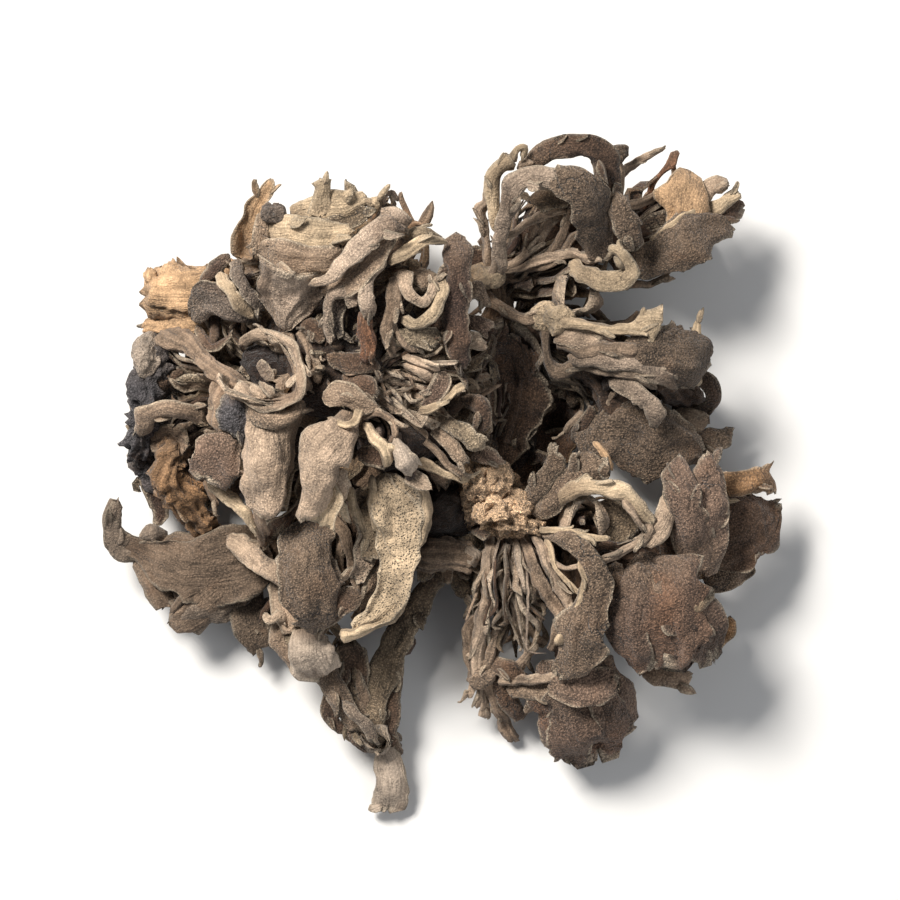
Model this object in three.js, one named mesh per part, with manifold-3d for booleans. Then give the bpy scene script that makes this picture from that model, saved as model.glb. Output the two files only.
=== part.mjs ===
// A dried maitake: one cluster of thin, curled fronds grown from one broken base.
// Millimetres, +Z up. The cluster lies on Z = 0, and its tail branch points along -Y.
import * as THREE from "three";
import Module from "manifold-3d";

const wasm = await Module();
wasm.setup();

// Driving sizes.
const MIDDLE = [-0.75, -5.15];  // the cluster's middle in the growth list, moved to X = Y = 0
const GAP = 0.3;                // air left between two neighbouring pieces
const BLADE_THICKNESS = 1.2;    // a frond with no thickness of its own
const THIN_EDGE = 0.75;         // a frond's rim, as a share of its thickness
const NARROW = 2.7;             // a sheet narrower than this has one cell across
const BROAD = 7;                // and one narrower than this has two, others three
const FINEST = 2.25;            // threads no thicker than this are left out of the solids
const POST_WIDTH = 2.2;         // the stem from a frond's foot down to where it grew
const STEM_SIDES = 5;
const WAVE = 0.35;              // how far a frond's rim ruffles up and down
const SIMPLIFY = 0.38;          // facets flatter than this are merged
const CLEAN = 0.02;             // and slivers left by a cut, down to this
const HAIR = 0.006;             // how far corners that meet by chance are spread

// How the cluster grew. Each entry is a name, a kind, a tone, its points and its own shape.
// A sheet's or stem's points are [x, y, z, width along its skin]; a lump has one centre and radii.
// curl is the bend across a sheet in degrees, from root to tip, edges down where it is positive.
const GROWTH = {
  "stalk_base": [
    ["broken_base", "lump", "crumb", [[5.5, -8, 13]], {"r": [5.5, 4.8, 11], "rough": 0.2}],
    ["crumb_side", "lump", "crumb", [[9.5, -11.5, 17]], {"r": [3.6, 3.4, 5.5], "rough": 0.25}],
    ["dark_base", "lump", "umber", [[-0.5, -9.5, 10]], {"r": [6.5, 5.5, 9.8], "rough": 0.18}],
    ["middle_plate", "sheet", "umber", [[4, -6, 12, 9], [6.5, 2, 10, 14], [8, 10, 10.5, 17],
      [9, 17, 13.5, 15], [9.5, 22, 18, 9]], {"curl": [-30, -85], "t": 1.4, "bulge": 2}],
    ["cup_floor", "sheet", "umber", [[6, -5, 7, 8], [13, 0, 5, 13], [17, 6, 5, 12], [19, 12, 8, 8]],
      {"curl": -50, "t": 1.3}],
    ["cup_ridge", "stem", "greige", [[5, 24.5, 16, 2.4], [8.5, 23, 19.5, 2], [12, 20.9, 21.5, 1.9],
      [15, 21, 22.5, 2.2]], {}],
    ["base_foot", "lump", "umber", [[7, 3, 4]], {"r": [8, 10, 5.5], "rough": 0.15}],
    ["upper_neck", "stem", "greige", [[7, 4, 8, 7], [8, 12, 9, 6], [8, 20, 11, 6], [8, 26, 13, 5]],
      {"flat": 0.7}],
    ["knot_neck", "lump", "cream", [[16, 21.3, 21.5]], {"r": [2.6, 2, 2.6], "rough": 0.15}],
    ["knot_post", "stem", "umber", [[8.6, 12, 8.6, 4.4], [14.5, 18, 13, 3.4], [16, 21, 20, 3]],
      {"flat": 0.8}],
    ["base_bridge", "stem", "umber", [[-14, 2, 13, 8], [-7, -5, 11, 8], [0, -9, 11, 8]], {"flat": 0.8}],
  ],
  "left_cluster": [
    ["core_low", "lump", "umber", [[-24, 8, 11]], {"r": [14, 13, 12.5], "rough": 0.15}],
    ["core_top", "lump", "umber", [[-16, 16, 20]], {"r": [13, 12, 14], "rough": 0.15}],
    ["core_back", "lump", "umber", [[-22, 28, 19]], {"r": [9, 6, 13], "rough": 0.15}],
    ["core_front", "lump", "umber", [[-8, 3, 17]], {"r": [8, 7, 12], "rough": 0.15}],
    ["scoop", "sheet", "silver", [[-26.2, 20.6, 30, 2.5], [-25.8, 23.5, 34, 9],
      [-25, 26.5, 37.5, 12.5], [-24.4, 28.8, 40, 13]], {"curl": [60, 95], "t": 1.2, "bulge": -1.2}],
    ["scoop_middle", "sheet", "greige", [[-29.5, 31.5, 32, 5], [-25, 30.2, 36, 5.5],
      [-20, 30, 37.5, 5], [-15, 31.4, 37, 3.5]], {"curl": 40, "roll": -25, "t": 1.2}],
    ["scoop_top", "sheet", "cream", [[-29, 35.2, 30, 4], [-25, 34.6, 35, 5], [-20, 34, 37.5, 4.6],
      [-14.5, 34, 37, 3.4]], {"curl": 60, "roll": -15, "t": 1.2}],
    ["crown_back", "sheet", "cream", [[-24.5, 36.5, 31, 4], [-20, 37.6, 35.5, 5.2],
      [-16, 38.3, 37, 4.4], [-12.6, 39.2, 36, 2]], {"curl": 30, "t": 1.1}],
    ["spout", "sheet", "cream", [[-20, 37, 36, 3.6], [-20.1, 39.4, 37.5, 2.3], [-20, 41, 38.3, 2.3],
      [-20.1, 42.4, 38.8, 3.4]], {"curl": 70, "t": 0.9}],
    ["crown_shadow", "sheet", "olive", [[-19.5, 34.8, 35, 2.5], [-16, 36, 36.5, 3.6],
      [-12.5, 37.8, 36.5, 3]], {"curl": -50, "t": 1}],
    ["long_fold", "sheet", "silver", [[-22, 25.6, 39.6, 1.2], [-19, 26.4, 41, 2],
      [-16.8, 29.2, 41.8, 2.8], [-13, 32.4, 42, 3.2], [-9.2, 34.8, 40.5, 3.6], [-6.2, 34.2, 37, 2.6]],
      {"curl": 110, "t": 1.2, "root": [-17, 28, 31], "from": 2}],
    ["long_fold_face", "sheet", "greige", [[-20.6, 24.2, 36, 4], [-16.5, 26.8, 38, 6.5],
      [-12.5, 30.4, 38.5, 6.5], [-9.6, 33.6, 37.5, 4.5]], {"curl": 50, "roll": 30, "t": 1.2}],
    ["crown_right", "sheet", "silver", [[-10.5, 36, 37.5, 3], [-8, 36.2, 38.5, 3.2],
      [-6, 34.2, 36.5, 2.6]], {"curl": 80, "t": 1}],
    ["crown_tuft", "stem", "cream", [[-12.6, 37, 34.5, 2], [-11.6, 38.8, 36, 2],
      [-11.2, 39.5, 36.4, 1.4]], {}],
    ["tuft_arch", "stem", "silver", [[-10.8, 38, 34, 1.4], [-10.4, 39.6, 36, 1.1],
      [-9.3, 40.4, 36.4, 1.1], [-8.3, 39.2, 35, 1]], {}],
    ["tuft_low", "sheet", "umber", [[-11, 37, 33, 2], [-9, 37.6, 34.4, 2.4], [-7.8, 38.4, 34, 1.4]],
      {"curl": 80, "t": 0.9, "root": [-17, 28, 25]}],
    ["golden_spike", "sheet", "gold", [[-32.3, 31.5, 25, 5], [-31.6, 34.6, 28, 6],
      [-30.2, 38, 30.5, 4.2], [-28.9, 41, 31.8, 2.2], [-28.3, 43.2, 32.4, 0.9]], {"curl": -95, "t": 1}],
    ["grey_knot", "lump", "ash", [[-27.4, 37.4, 32.5]], {"r": [2.1, 1.9, 2.4], "rough": 0.22}],
    ["knot_stem", "stem", "ash", [[-27.5, 38.5, 33, 1.6], [-26.6, 39.2, 33.4, 0.9]], {}],
    ["knot_skirt", "sheet", "greige", [[-28.6, 37.5, 32, 2], [-29.6, 33.8, 32.6, 2.4],
      [-30, 30, 32, 2.2]], {"curl": 60, "t": 1}],
    ["pale_block", "stem", "gold", [[-33, 26.4, 18, 7], [-38, 26.2, 18.5, 9], [-44, 25.4, 18, 9.4],
      [-49.6, 25, 16.5, 9.6]], {"flat": 0.62}],
    ["block_shelf", "stem", "gold", [[-36, 21, 19, 3.4], [-43, 20.2, 19.5, 3.6], [-49.8, 20, 16, 3]],
      {}],
    ["block_knob", "stem", "gold", [[-48, 27, 18, 2.6], [-48.6, 29.2, 19, 2]], {}],
    ["block_fold", "sheet", "plum", [[-35.3, 31.6, 25, 2.2], [-37, 28.8, 26, 2.2],
      [-39.8, 25.6, 24, 1.6]], {"curl": 100, "t": 1, "root": [-37, 27, 19], "from": 1}],
    ["grey_pad", "sheet", "ash", [[-41.6, 21.6, 22, 3.4], [-38, 23.8, 26.5, 6.4], [-34, 23, 28, 6],
      [-30, 21, 26, 3.4]], {"curl": 75, "t": 1.3, "root": [-33, 25, 20], "from": 1}],
    ["cream_strap", "sheet", "cream", [[-36.1, 28.5, 28, 2.1], [-35.2, 26, 30, 2.4],
      [-33.3, 23.4, 30.4, 2.3], [-31, 21.2, 28.5, 1.5]], {"curl": 70, "t": 1.1, "root": [-30, 24, 22],
      "from": 2}],
    ["ash_ridge", "sheet", "ash", [[-33.2, 30.6, 28, 2.6], [-33.4, 27.6, 31.6, 2.4],
      [-31.4, 24.6, 31.6, 2.2], [-29.4, 22.4, 29, 1.8]], {"curl": 120, "t": 1.1, "root": [-30, 26, 22],
      "from": 1}],
    ["fold_bits", "sheet", "umber", [[-40.4, 19.6, 21, 2.4], [-37.4, 17.8, 23, 3.6],
      [-35, 19.4, 24.4, 2.6]], {"curl": -60, "t": 1, "root": [-37, 24, 19], "from": 1}],
    ["pocket", "sheet", "bone", [[-27.6, 6.8, 21, 15], [-26.6, 8.2, 27, 22], [-25.6, 9.4, 32, 28],
      [-25.2, 9.8, 34.5, 30]], {"curl": [250, 300], "up": [0.75, -0.66, 0], "t": 1.2}],
    ["roll", "sheet", "bone", [[-28.2, 9, 30.5, 13], [-28, 5, 31.6, 12.5], [-28.4, -1, 31.6, 12],
      [-28.8, -6.5, 30.2, 11.5], [-29.8, -11.3, 26.5, 6]], {"curl": [200, 230], "t": 1.2}],
    ["pocket_chip", "lump", "cream", [[-30.4, 11.4, 24]], {"r": [2.2, 1.8, 2.4], "rough": 0.25}],
    ["diagonal_branch", "stem", "flesh", [[-47, 19.2, 18.5, 4], [-42.4, 17.8, 22, 3.8],
      [-38.2, 13.6, 25, 3.2], [-34.4, 10.2, 27.6, 3.2], [-31, 8.2, 28.6, 3]],
      {"flat": 0.7}],
    ["branch_down", "stem", "flesh", [[-35.5, 11, 26, 3.2], [-36.4, 7, 26.6, 3.8],
      [-37.4, 2.6, 26, 3.6]], {"flat": 0.6}],
    ["blue_pad", "sheet", "slate", [[-33.2, 9, 27.4, 4.4], [-33.8, 5.6, 29.4, 6],
      [-34.6, 1.6, 28, 5.6]], {"curl": 70, "t": 1.3}],
    ["brown_pad", "sheet", "rose", [[-35.4, 2.8, 27, 5.6], [-37.2, -1.4, 28.4, 7.8],
      [-38.2, -5.6, 25.6, 5]], {"curl": 80, "t": 1.3}],
    ["pad_flap", "sheet", "rose", [[-36.4, 0.4, 27.2, 3], [-34.4, -2, 27.6, 3.6],
      [-33.6, -4, 26.4, 2.4]], {"curl": 30, "t": 1}],
    ["cream_lip", "sheet", "cream", [[-38.6, -5.4, 21, 2.8], [-35.2, -7.8, 23, 3.4],
      [-32.4, -10.6, 23.4, 2.8], [-30.8, -12.2, 22, 1.4]],
      {"curl": 130, "t": 1.1, "root": [-30, -1, 14], "from": 1}],
    ["low_post", "stem", "flesh", [[-29.4, -6.5, 28, 3], [-29.8, -12, 21, 2.8],
      [-29.8, -15, 17.6, 2.4]], {}],
    ["finger", "sheet", "bone", [[-15.2, 5.2, 36, 4], [-17.4, 2.6, 38.2, 6.2],
      [-20.2, -0.6, 38.4, 7.6], [-21.2, -4.2, 37.4, 7], [-22, -8, 35.4, 6], [-23, -11.4, 32, 4.4]],
      {"curl": [110, 150], "t": 1.2, "root": [-16, 6, 28], "from": 1}],
    ["finger_cup", "sheet", "cream", [[-19.6, -4.4, 34.4, 3], [-19.4, -8, 33.2, 5],
      [-21.4, -12, 31, 5.4]], {"curl": -110, "t": 1.1}],
    ["finger_fold", "sheet", "bone", [[-17, -2.6, 35, 2], [-17.2, -5.6, 34, 2.6],
      [-17.4, -8.6, 32.4, 1.8]], {"curl": 90, "t": 1}],
    ["finger_rim", "stem", "cream", [[-19.2, 5, 36.4, 1.1], [-17, 3.8, 38.4, 1.2],
      [-14.8, 4.6, 38.6, 1.1], [-13.6, 6.4, 37, 1.1]], {}],
    ["diamond_plate", "sheet", "greige", [[-19.6, 9.2, 34.4, 1.6], [-16.6, 9, 36.8, 5],
      [-13.6, 7.4, 37.4, 4.6], [-11.4, 7.2, 36.4, 1.6]], {"curl": 25, "t": 1.1, "root": [-16, 10, 28],
      "from": 1}],
    ["diamond_back", "sheet", "umber", [[-16.8, 12, 33.4, 2], [-13.6, 10.4, 35.4, 3.6],
      [-10.8, 7.6, 35.4, 2.4]], {"curl": 45, "t": 1.1}],
    ["thin_bridge", "stem", "cream", [[-13.6, 4.2, 36.8, 1.7], [-12, 2, 37.2, 2], [-10, 0, 37, 2],
      [-9.2, -2.8, 35.6, 1.8]], {"flat": 0.6, "root": [-10, 4, 26], "from": 1}],
    ["arch", "stem", "flesh", [[-14, 5, 35, 1.2], [-11.4, 5.7, 36.6, 1.1], [-9, 4.4, 36.8, 1.3],
      [-8.2, 1.6, 36.6, 1.4]], {}],
    ["white_knob", "sheet", "chalk", [[-8.3, 1.6, 36, 1.6], [-7.4, -0.8, 37.4, 3], [-6.4, -3, 37, 3.8],
      [-5.9, -4.8, 35, 2.2]], {"curl": 110, "t": 1.3, "root": [-9, 3, 26]}],
    ["small_leaf", "sheet", "bone", [[-6.4, -4, 33, 1.8], [-4.6, -5.6, 33.8, 2.6],
      [-2.9, -6.6, 33.6, 0.9]], {"curl": 40, "t": 0.9, "root": [-6, -4, 35.4]}],
    ["inner_plate", "sheet", "umber", [[-14.6, 0, 31, 3], [-11.6, -0.8, 32, 4], [-9.2, -1.6, 31, 3]],
      {"curl": -30, "t": 1.1, "root": [-10, 2, 24], "from": 1}],
    ["strap_a", "sheet", "sage", [[-2, 5.6, 29, 2.4], [1, 3.4, 31, 2.6], [3.4, 1.2, 31.4, 2.4],
      [5, 0, 30, 1.6]], {"curl": 60, "t": 1.1, "root": [-5, 4, 23]}],
    ["strap_b", "sheet", "greige", [[-2.8, 4, 28.4, 2.2], [0.4, 0.6, 29.6, 2.2],
      [2.8, -2.2, 28.6, 1.8]], {"curl": 90, "t": 1.1, "root": [-5, 3, 23]}],
    ["strap_c", "stem", "greige", [[-4.4, 2.4, 27.4, 1.6], [-1.4, -1.2, 28.6, 1.6],
      [1.6, -3.6, 27.6, 1.3]], {}],
    ["strap_d", "stem", "cream", [[-5.4, -1.6, 27, 1.8], [-2.2, -3.5, 28, 1.6], [1, -4.4, 27.4, 1.5],
      [3, -4.2, 26.4, 1.4]], {}],
    ["base_leaf", "sheet", "rose", [[3, -1, 24, 1.6], [6, -1.6, 25.4, 2.6], [9.4, -2.6, 24.4, 0.9]],
      {"curl": 60, "t": 0.9, "root": [-2, 0, 20]}],
    ["curl_knob", "sheet", "umber", [[2, 8, 28.4, 2.4], [4.6, 6.6, 30.6, 3], [5.2, 4, 30, 2.4],
      [4, 2.6, 28.6, 1.6]], {"curl": 110, "t": 1, "root": [-3, 6, 22]}],
    ["pale_rod", "stem", "cream", [[-9.4, 29, 37.6, 1.8], [-6.2, 30.2, 38.8, 2.1],
      [-3.2, 32.2, 38.4, 1.7], [-0.8, 32.3, 36.4, 1.1]], {"flat": 0.7}],
    ["inner_loop", "sheet", "bone", [[-7.2, 28, 35, 3], [-6.7, 24.6, 37, 2.2], [-4.6, 22.9, 37.4, 1.5],
      [-2.6, 24, 36.8, 1.5], [-2.1, 27, 35.4, 1.5]], {"curl": 50, "t": 1}],
    ["outer_loop", "sheet", "cream", [[-8, 20.8, 35.6, 1.3], [-5.2, 19.8, 37, 1.7],
      [-2.5, 21.2, 37.2, 2.2], [-0.8, 24, 36.6, 2], [-1.4, 27.8, 35, 1.2]], {"curl": 80, "t": 1.1}],
    ["loop_back", "sheet", "greige", [[-5.8, 28, 34, 3], [-3.8, 26.2, 34.6, 3.4],
      [-2.8, 24.6, 34, 2.4]], {"curl": 40, "t": 1, "root": [-12, 21, 26]}],
    ["grey_column", "stem", "greige", [[-8.4, 27, 35.6, 2], [-9, 22.6, 36.6, 2.3],
      [-9.9, 18.6, 36.4, 2], [-8.4, 15.2, 34.6, 1.6]], {"root": [-11, 20, 28], "from": 1}],
    ["s_strap", "sheet", "silver", [[-9.8, 29.8, 38, 2], [-12, 27.6, 39.4, 2.3], [-13, 24.8, 40, 2.2],
      [-12.9, 22.6, 39.8, 3], [-11.6, 20.4, 38, 2.2]], {"curl": 100, "t": 1.1}],
    ["hook_arch", "sheet", "silver", [[-14.4, 22.4, 38, 2.4], [-16.2, 24.2, 39, 1.9],
      [-18.6, 23.4, 38.6, 1.7], [-19.5, 20.6, 37.2, 1.4], [-18.6, 17, 35, 1.4]],
      {"curl": 80, "t": 1, "root": [-17, 17, 30], "from": 4}],
    ["hook_inner", "sheet", "ash", [[-16.4, 23, 36, 2.4], [-18, 21.4, 35.6, 3], [-17.8, 18, 34, 2.4]],
      {"curl": -50, "t": 1}],
    ["rust_tube", "stem", "clay", [[-13, 21.8, 37.2, 3], [-13.3, 18, 37.4, 3.5],
      [-13, 13.8, 35.6, 3.4]], {}],
    ["dark_bar", "sheet", "umber", [[-19.2, 15.4, 33, 2], [-16, 14, 34.8, 3.2],
      [-12.6, 13.6, 35.2, 2.6], [-10.6, 12.6, 34, 1.6]], {"curl": 90, "t": 1.2}],
    ["fan_a", "stem", "bone", [[-7, 15, 33.4, 1.4], [-4.4, 13.4, 34.4, 1.5], [-2, 12.4, 33.6, 1.3]],
      {}],
    ["fan_b", "stem", "bone", [[-7, 13.4, 33, 1.4], [-4.4, 11.8, 34, 1.5], [-2.4, 10.6, 33, 1.3]], {}],
    ["fan_c", "sheet", "sage", [[-9.8, 17.6, 34, 2], [-6, 17.8, 35.4, 3.4], [-1.6, 18, 34, 2.6]],
      {"curl": 50, "t": 1}],
    ["fan_d", "stem", "greige", [[-9.4, 20, 35, 1.2], [-7, 17, 35.6, 1.3], [-5.2, 15.2, 34.6, 1.1]],
      {}],
    ["rust_cup", "sheet", "rust", [[-1.4, 12.2, 33, 2], [-2, 9.6, 34.2, 3], [-3.6, 7.6, 33.6, 2.6],
      [-5, 6.6, 32.6, 1.6]], {"curl": -70, "t": 1, "root": [-6, 8, 26], "from": 1}],
    ["cup_rim", "stem", "cream", [[-5.2, 6.4, 32.8, 1.3], [-2.8, 6.6, 34, 1.6], [-0.6, 8.4, 34.4, 1.5],
      [2, 10, 33, 1.8]], {}],
    ["pillar_a", "stem", "greige", [[-26.4, 19.6, 30, 2.4], [-24.6, 14.4, 31.4, 2.2],
      [-22.6, 9.6, 31, 2]], {}],
    ["pillar_b", "stem", "greige", [[-23.6, 19.6, 31, 1.6], [-22, 15, 32, 1.6],
      [-20.4, 11, 31.6, 1.3]], {}],
    ["pillar_leaf", "sheet", "umber", [[-24, 21.4, 30, 2], [-21.6, 19.4, 33, 2.6],
      [-19.4, 17, 33.6, 1.6]], {"curl": 60, "t": 1}],
    ["dark_strap", "sheet", "plum", [[0.6, 33.8, 33.6, 3.6], [1, 30.4, 35.6, 5.2],
      [1.3, 26, 35.8, 4.4], [0.6, 21, 34.8, 4], [0.9, 16, 33.8, 4.4], [2.6, 12.2, 31.6, 2]],
      {"curl": 70, "t": 1.3, "root": [-6, 18, 28], "from": 3}],
    ["strap_ear_a", "sheet", "bone", [[0.8, 17, 31, 2.2], [3.6, 16.9, 31.6, 2.8], [6.4, 16, 30, 1.4]],
      {"curl": 60, "t": 1, "root": [0.8, 17, 34]}],
    ["strap_ear_b", "sheet", "rose", [[2, 20.4, 28, 2.4], [5, 19.6, 29.4, 2.8], [8, 18.6, 28, 1.8]],
      {"curl": 80, "t": 1, "root": [0.6, 20, 34.6]}],
    ["strap_ear_c", "sheet", "greige", [[1.4, 24.4, 30, 2.4], [4.6, 25, 30, 3], [6.8, 22.4, 27, 1.8]],
      {"curl": 90, "t": 1, "root": [0.6, 23, 34.8]}],
    ["olive_hook", "stem", "sage", [[-7, 33.4, 34, 1.6], [-4.4, 33.9, 35, 1.6], [-1.6, 32.6, 34, 1.6]],
      {"root": [-16, 24, 26]}],
  ],
  "dark_lobe": [
    ["white_patch", "lump", "chalk", [[-49, 15.6, 18]], {"r": [2.7, 3.2, 4], "rough": 0.12}],
    ["crust", "stem", "slate", [[-45.5, 18.6, 15, 4.6], [-48, 13, 17, 6], [-48.4, 7.6, 17, 5.4],
      [-49.8, 3, 14, 4.4], [-50.4, -1.2, 9.5, 4.4]], {"flat": 1.1, "rough": 0.3}],
    ["crust_low", "stem", "slate", [[-50.4, -0.6, 9, 4], [-48.6, -3.4, 8, 3.6], [-46.4, -6.8, 7, 3]],
      {"flat": 1, "rough": 0.35}],
    ["crust_arch", "sheet", "flesh", [[-49.8, 2.4, 17, 2.6], [-48.4, 5.8, 20.6, 3.2],
      [-45, 6.4, 22, 3.4], [-41.4, 5, 22.4, 3.4], [-39, 4.2, 21.6, 2.6]], {"curl": 110, "t": 1.3}],
    ["crust_cup", "sheet", "flesh", [[-48.8, 1, 13, 4], [-45, 1.6, 14.4, 5.6], [-41.4, 0.6, 17, 5]],
      {"curl": -60, "t": 1.3}],
    ["tan_crumbs", "stem", "ochre", [[-43.4, 1.4, 16, 4], [-45.2, -3.4, 15, 5.6],
      [-43.2, -7.6, 13, 5.4], [-40.8, -11, 10.5, 4.4], [-38.6, -13.4, 8.5, 3]],
      {"flat": 0.9, "rough": 0.3}],
    ["red_rag", "sheet", "clay", [[-43, -10.8, 9.4, 2], [-40, -12.8, 9, 3.4], [-37.4, -13.6, 8, 2.4]],
      {"curl": 40, "t": 1}],
    ["claw", "stem", "flesh", [[-39.6, -5, 14, 1.4], [-38.6, -7.6, 14, 1], [-37.6, -9.4, 13, 0.8]],
      {"root": [-45, -4, 14.6]}],
    ["lobe_foot", "lump", "umber", [[-43, 4, 6.5]], {"r": [6, 8, 7.5], "rough": 0.2}],
    ["lobe_stalk", "stem", "umber", [[-44, 8, 8, 7], [-40, 7, 10, 7], [-37, 6, 12, 6]], {"flat": 0.8}],
  ],
  "left_lobe": [
    ["lobe_sheet", "sheet", "olive", [[-26, -15, 9, 6], [-31, -17.4, 8.5, 9], [-37, -18.2, 8.8, 10.5],
      [-44, -17.8, 8.8, 8.6], [-50.6, -17.6, 8, 3.4]], {"curl": [-30, 20], "t": 1.4}],
    ["lobe_finger", "sheet", "silver", [[-50, -17.6, 8.2, 2.6], [-53.8, -16.6, 9.4, 2.8],
      [-55.6, -13, 11, 2.9], [-55, -10, 12, 3.1], [-53.9, -7.7, 12, 1.6]], {"curl": 60, "t": 1.1}],
    ["lobe_ear", "sheet", "silver", [[-46.6, -15, 8.4, 2.4], [-48.6, -14.2, 11, 4],
      [-50.8, -15.2, 9.4, 2]], {"curl": 120, "t": 1}],
    ["lobe_flap", "sheet", "olive", [[-51.4, -18.2, 8, 1.8], [-48, -21.4, 9, 4],
      [-45.4, -25.8, 8.4, 3]], {"curl": 50, "t": 1.2}],
    ["lobe_pad", "sheet", "olive", [[-34.6, -24, 8, 4], [-38.6, -25.6, 10.4, 6.4],
      [-42.4, -27.2, 11, 7.6], [-45.4, -28, 8.4, 4]], {"curl": 110, "t": 1.3}],
    ["lobe_ridge", "stem", "flesh", [[-45.6, -26, 10.6, 1.4], [-43.4, -24, 11.4, 1.6],
      [-39, -23.4, 11, 1.4], [-34.6, -24, 9.8, 1.8]], {}],
    ["lobe_vein", "stem", "flesh", [[-44.2, -24, 9.4, 1.4], [-45.4, -20.6, 9.6, 1.4],
      [-48.6, -18.8, 9.2, 1.3]], {}],
    ["lobe_root", "sheet", "flesh", [[-33, -16.6, 9.4, 4], [-33.8, -20.4, 10.6, 3.6],
      [-34.6, -25.4, 9, 3.4]], {"curl": 60, "t": 1.3}],
    ["lobe_leaf", "sheet", "umber", [[-33, -21, 9, 4], [-32.8, -26.4, 8.6, 5], [-32, -30.4, 7.6, 5],
      [-33, -34.3, 5.4, 1.6]], {"curl": 40, "t": 1.2}],
    ["lobe_leaf_right", "sheet", "umber", [[-29.6, -23.6, 8.6, 4.4], [-29.4, -28, 7.6, 4.4],
      [-30.2, -32.6, 5.6, 2.8]], {"curl": 50, "t": 1.2}],
    ["lobe_strut", "stem", "umber", [[-19, -12, 8, 6], [-29, -14.6, 7, 6], [-37, -18, 6.4, 7],
      [-42, -21, 6, 4]], {"flat": 0.6}],
    ["lobe_heel", "stem", "umber", [[-38, -19, 6, 5], [-41, -22, 1.4, 4.4]], {}],
  ],
  "lower_fronds": [
    ["pad_stalk", "stem", "umber", [[-16, -8, 13.4, 8], [-18, -14, 15, 7], [-21, -20, 17, 6],
      [-21.4, -28, 12.4, 5]], {"flat": 0.8}],
    ["grain_pad", "sheet", "taupe", [[-22, -11.8, 20, 5], [-22.6, -16.4, 24.6, 9.6],
      [-22, -22, 25.2, 10.8], [-21, -26.4, 22.6, 8], [-21, -29.4, 19, 3.4]],
      {"curl": 75, "t": 1.3, "root": [-19, -17, 15], "from": 2}],
    ["pad_rim", "stem", "flesh", [[-25.6, -19.4, 23.4, 1], [-26.2, -22, 23, 1.1],
      [-24.4, -25.4, 21.4, 1.3], [-21.4, -28.8, 19.4, 1.2]], {}],
    ["left_branch", "sheet", "bone", [[-36, -14.6, 12.4, 2.6], [-32.4, -16.6, 15, 4.2],
      [-28.4, -19.4, 17.4, 3.6], [-25.6, -22, 18, 3]], {"curl": 60, "t": 1.3, "root": [-21, -20, 17],
      "from": 2}],
    ["under_plate", "sheet", "bone", [[-26, -21, 14, 5], [-26.4, -25, 14, 5], [-24, -29.6, 13, 4.4]],
      {"curl": 30, "t": 1.3, "root": [-21, -24, 14], "from": 1}],
    ["plate_spike", "sheet", "bone", [[-26.6, -26.8, 14.6, 2.2], [-28.6, -27.6, 14.6, 1.4],
      [-30, -26, 14, 0.8]], {"curl": 30, "t": 0.9}],
    ["chalk_flap", "sheet", "chalk", [[-21.8, -28.6, 16.4, 5.4], [-21.8, -31.8, 17.4, 8.6],
      [-21.4, -34.6, 15.8, 8.8], [-21.2, -36.8, 12.6, 6.4]],
      {"curl": 55, "t": 1.3, "root": [-21, -26, 13], "from": 1}],
    ["flap_strip", "sheet", "flesh", [[-26.8, -27.6, 13, 2.6], [-27.6, -31, 12, 2.6],
      [-25.8, -34.4, 11, 2.6], [-23, -36.8, 9.6, 2.2]], {"curl": 70, "t": 1.1}],
    ["crescent", "stem", "cream", [[-5, -5.6, 27, 1.6], [-4.1, -9.6, 27.4, 2.1],
      [-4.5, -13.6, 27, 2.2], [-6.3, -18, 25.8, 1.9], [-7.4, -22, 24.6, 1.9], [-9.6, -26, 23, 2.1],
      [-13, -28.7, 21.6, 2.3], [-17.6, -29.8, 20.6, 2]], {"flat": 0.8}],
    ["pore_sheet", "sheet", "cream", [[-10, -3.4, 28.6, 4], [-8.6, -8, 27.8, 8],
      [-7.4, -13, 26.6, 6.8], [-7.8, -18.4, 24.8, 3]],
      {"curl": -25, "t": 1.3, "root": [-11, -13, 15], "from": 2}],
    ["inner_sheet", "sheet", "olive", [[-9.6, -15.6, 21, 5], [-10.6, -20, 19.4, 7.6],
      [-13, -24.4, 18.4, 7.6], [-16, -27.8, 18, 5]],
      {"curl": -60, "roll": 35, "t": 1.2, "root": [-14, -19, 14], "from": 1}],
    ["pore_tube", "sheet", "cream", [[-13.2, -8.4, 25.8, 3.6], [-12.8, -13, 26, 4.4],
      [-12.2, -17.6, 24.8, 4]], {"curl": 90, "t": 1.1, "root": [-14, -14, 16], "from": 1}],
    ["tube_strap_left", "stem", "cream", [[-16.2, -5.2, 27, 1.4], [-15.2, -8.6, 27, 1.7],
      [-13.9, -13, 26.2, 1.5]], {}],
    ["tube_strap_right", "stem", "cream", [[-12.6, -3.6, 29, 1.4], [-12.1, -8, 28, 1.7],
      [-11.6, -13, 26.8, 1.5]], {}],
    ["side_stem_a", "stem", "greige", [[-19, -10.4, 21, 1.6], [-17, -14, 21.6, 1.5],
      [-15, -18, 21.4, 1.5], [-14, -22.6, 20.6, 1.5]], {"root": [-15, -20, 15], "from": 3}],
    ["side_stem_b", "stem", "greige", [[-17.6, -12, 19.6, 1.5], [-17.4, -17, 19.6, 1.7],
      [-16.4, -22, 19, 1.5]], {"root": [-18, -17, 15.5], "from": 1}],
    ["crumple", "sheet", "umber", [[-14, -22.2, 22, 2.2], [-16.6, -24.2, 23, 3.8],
      [-19.2, -26.6, 22, 3.2], [-21.4, -29.8, 19, 1]], {"curl": 70, "t": 1}],
    ["inner_back", "sheet", "umber", [[-11, -8, 18, 6], [-14, -16, 15, 9], [-17, -25, 12, 7]],
      {"curl": 40, "t": 1.4}],
    ["lower_foot", "stem", "umber", [[-15, -10, 11, 8], [-17, -18, 7, 8], [-20, -26, 0.9, 5]],
      {"flat": 0.7}],
  ],
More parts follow.
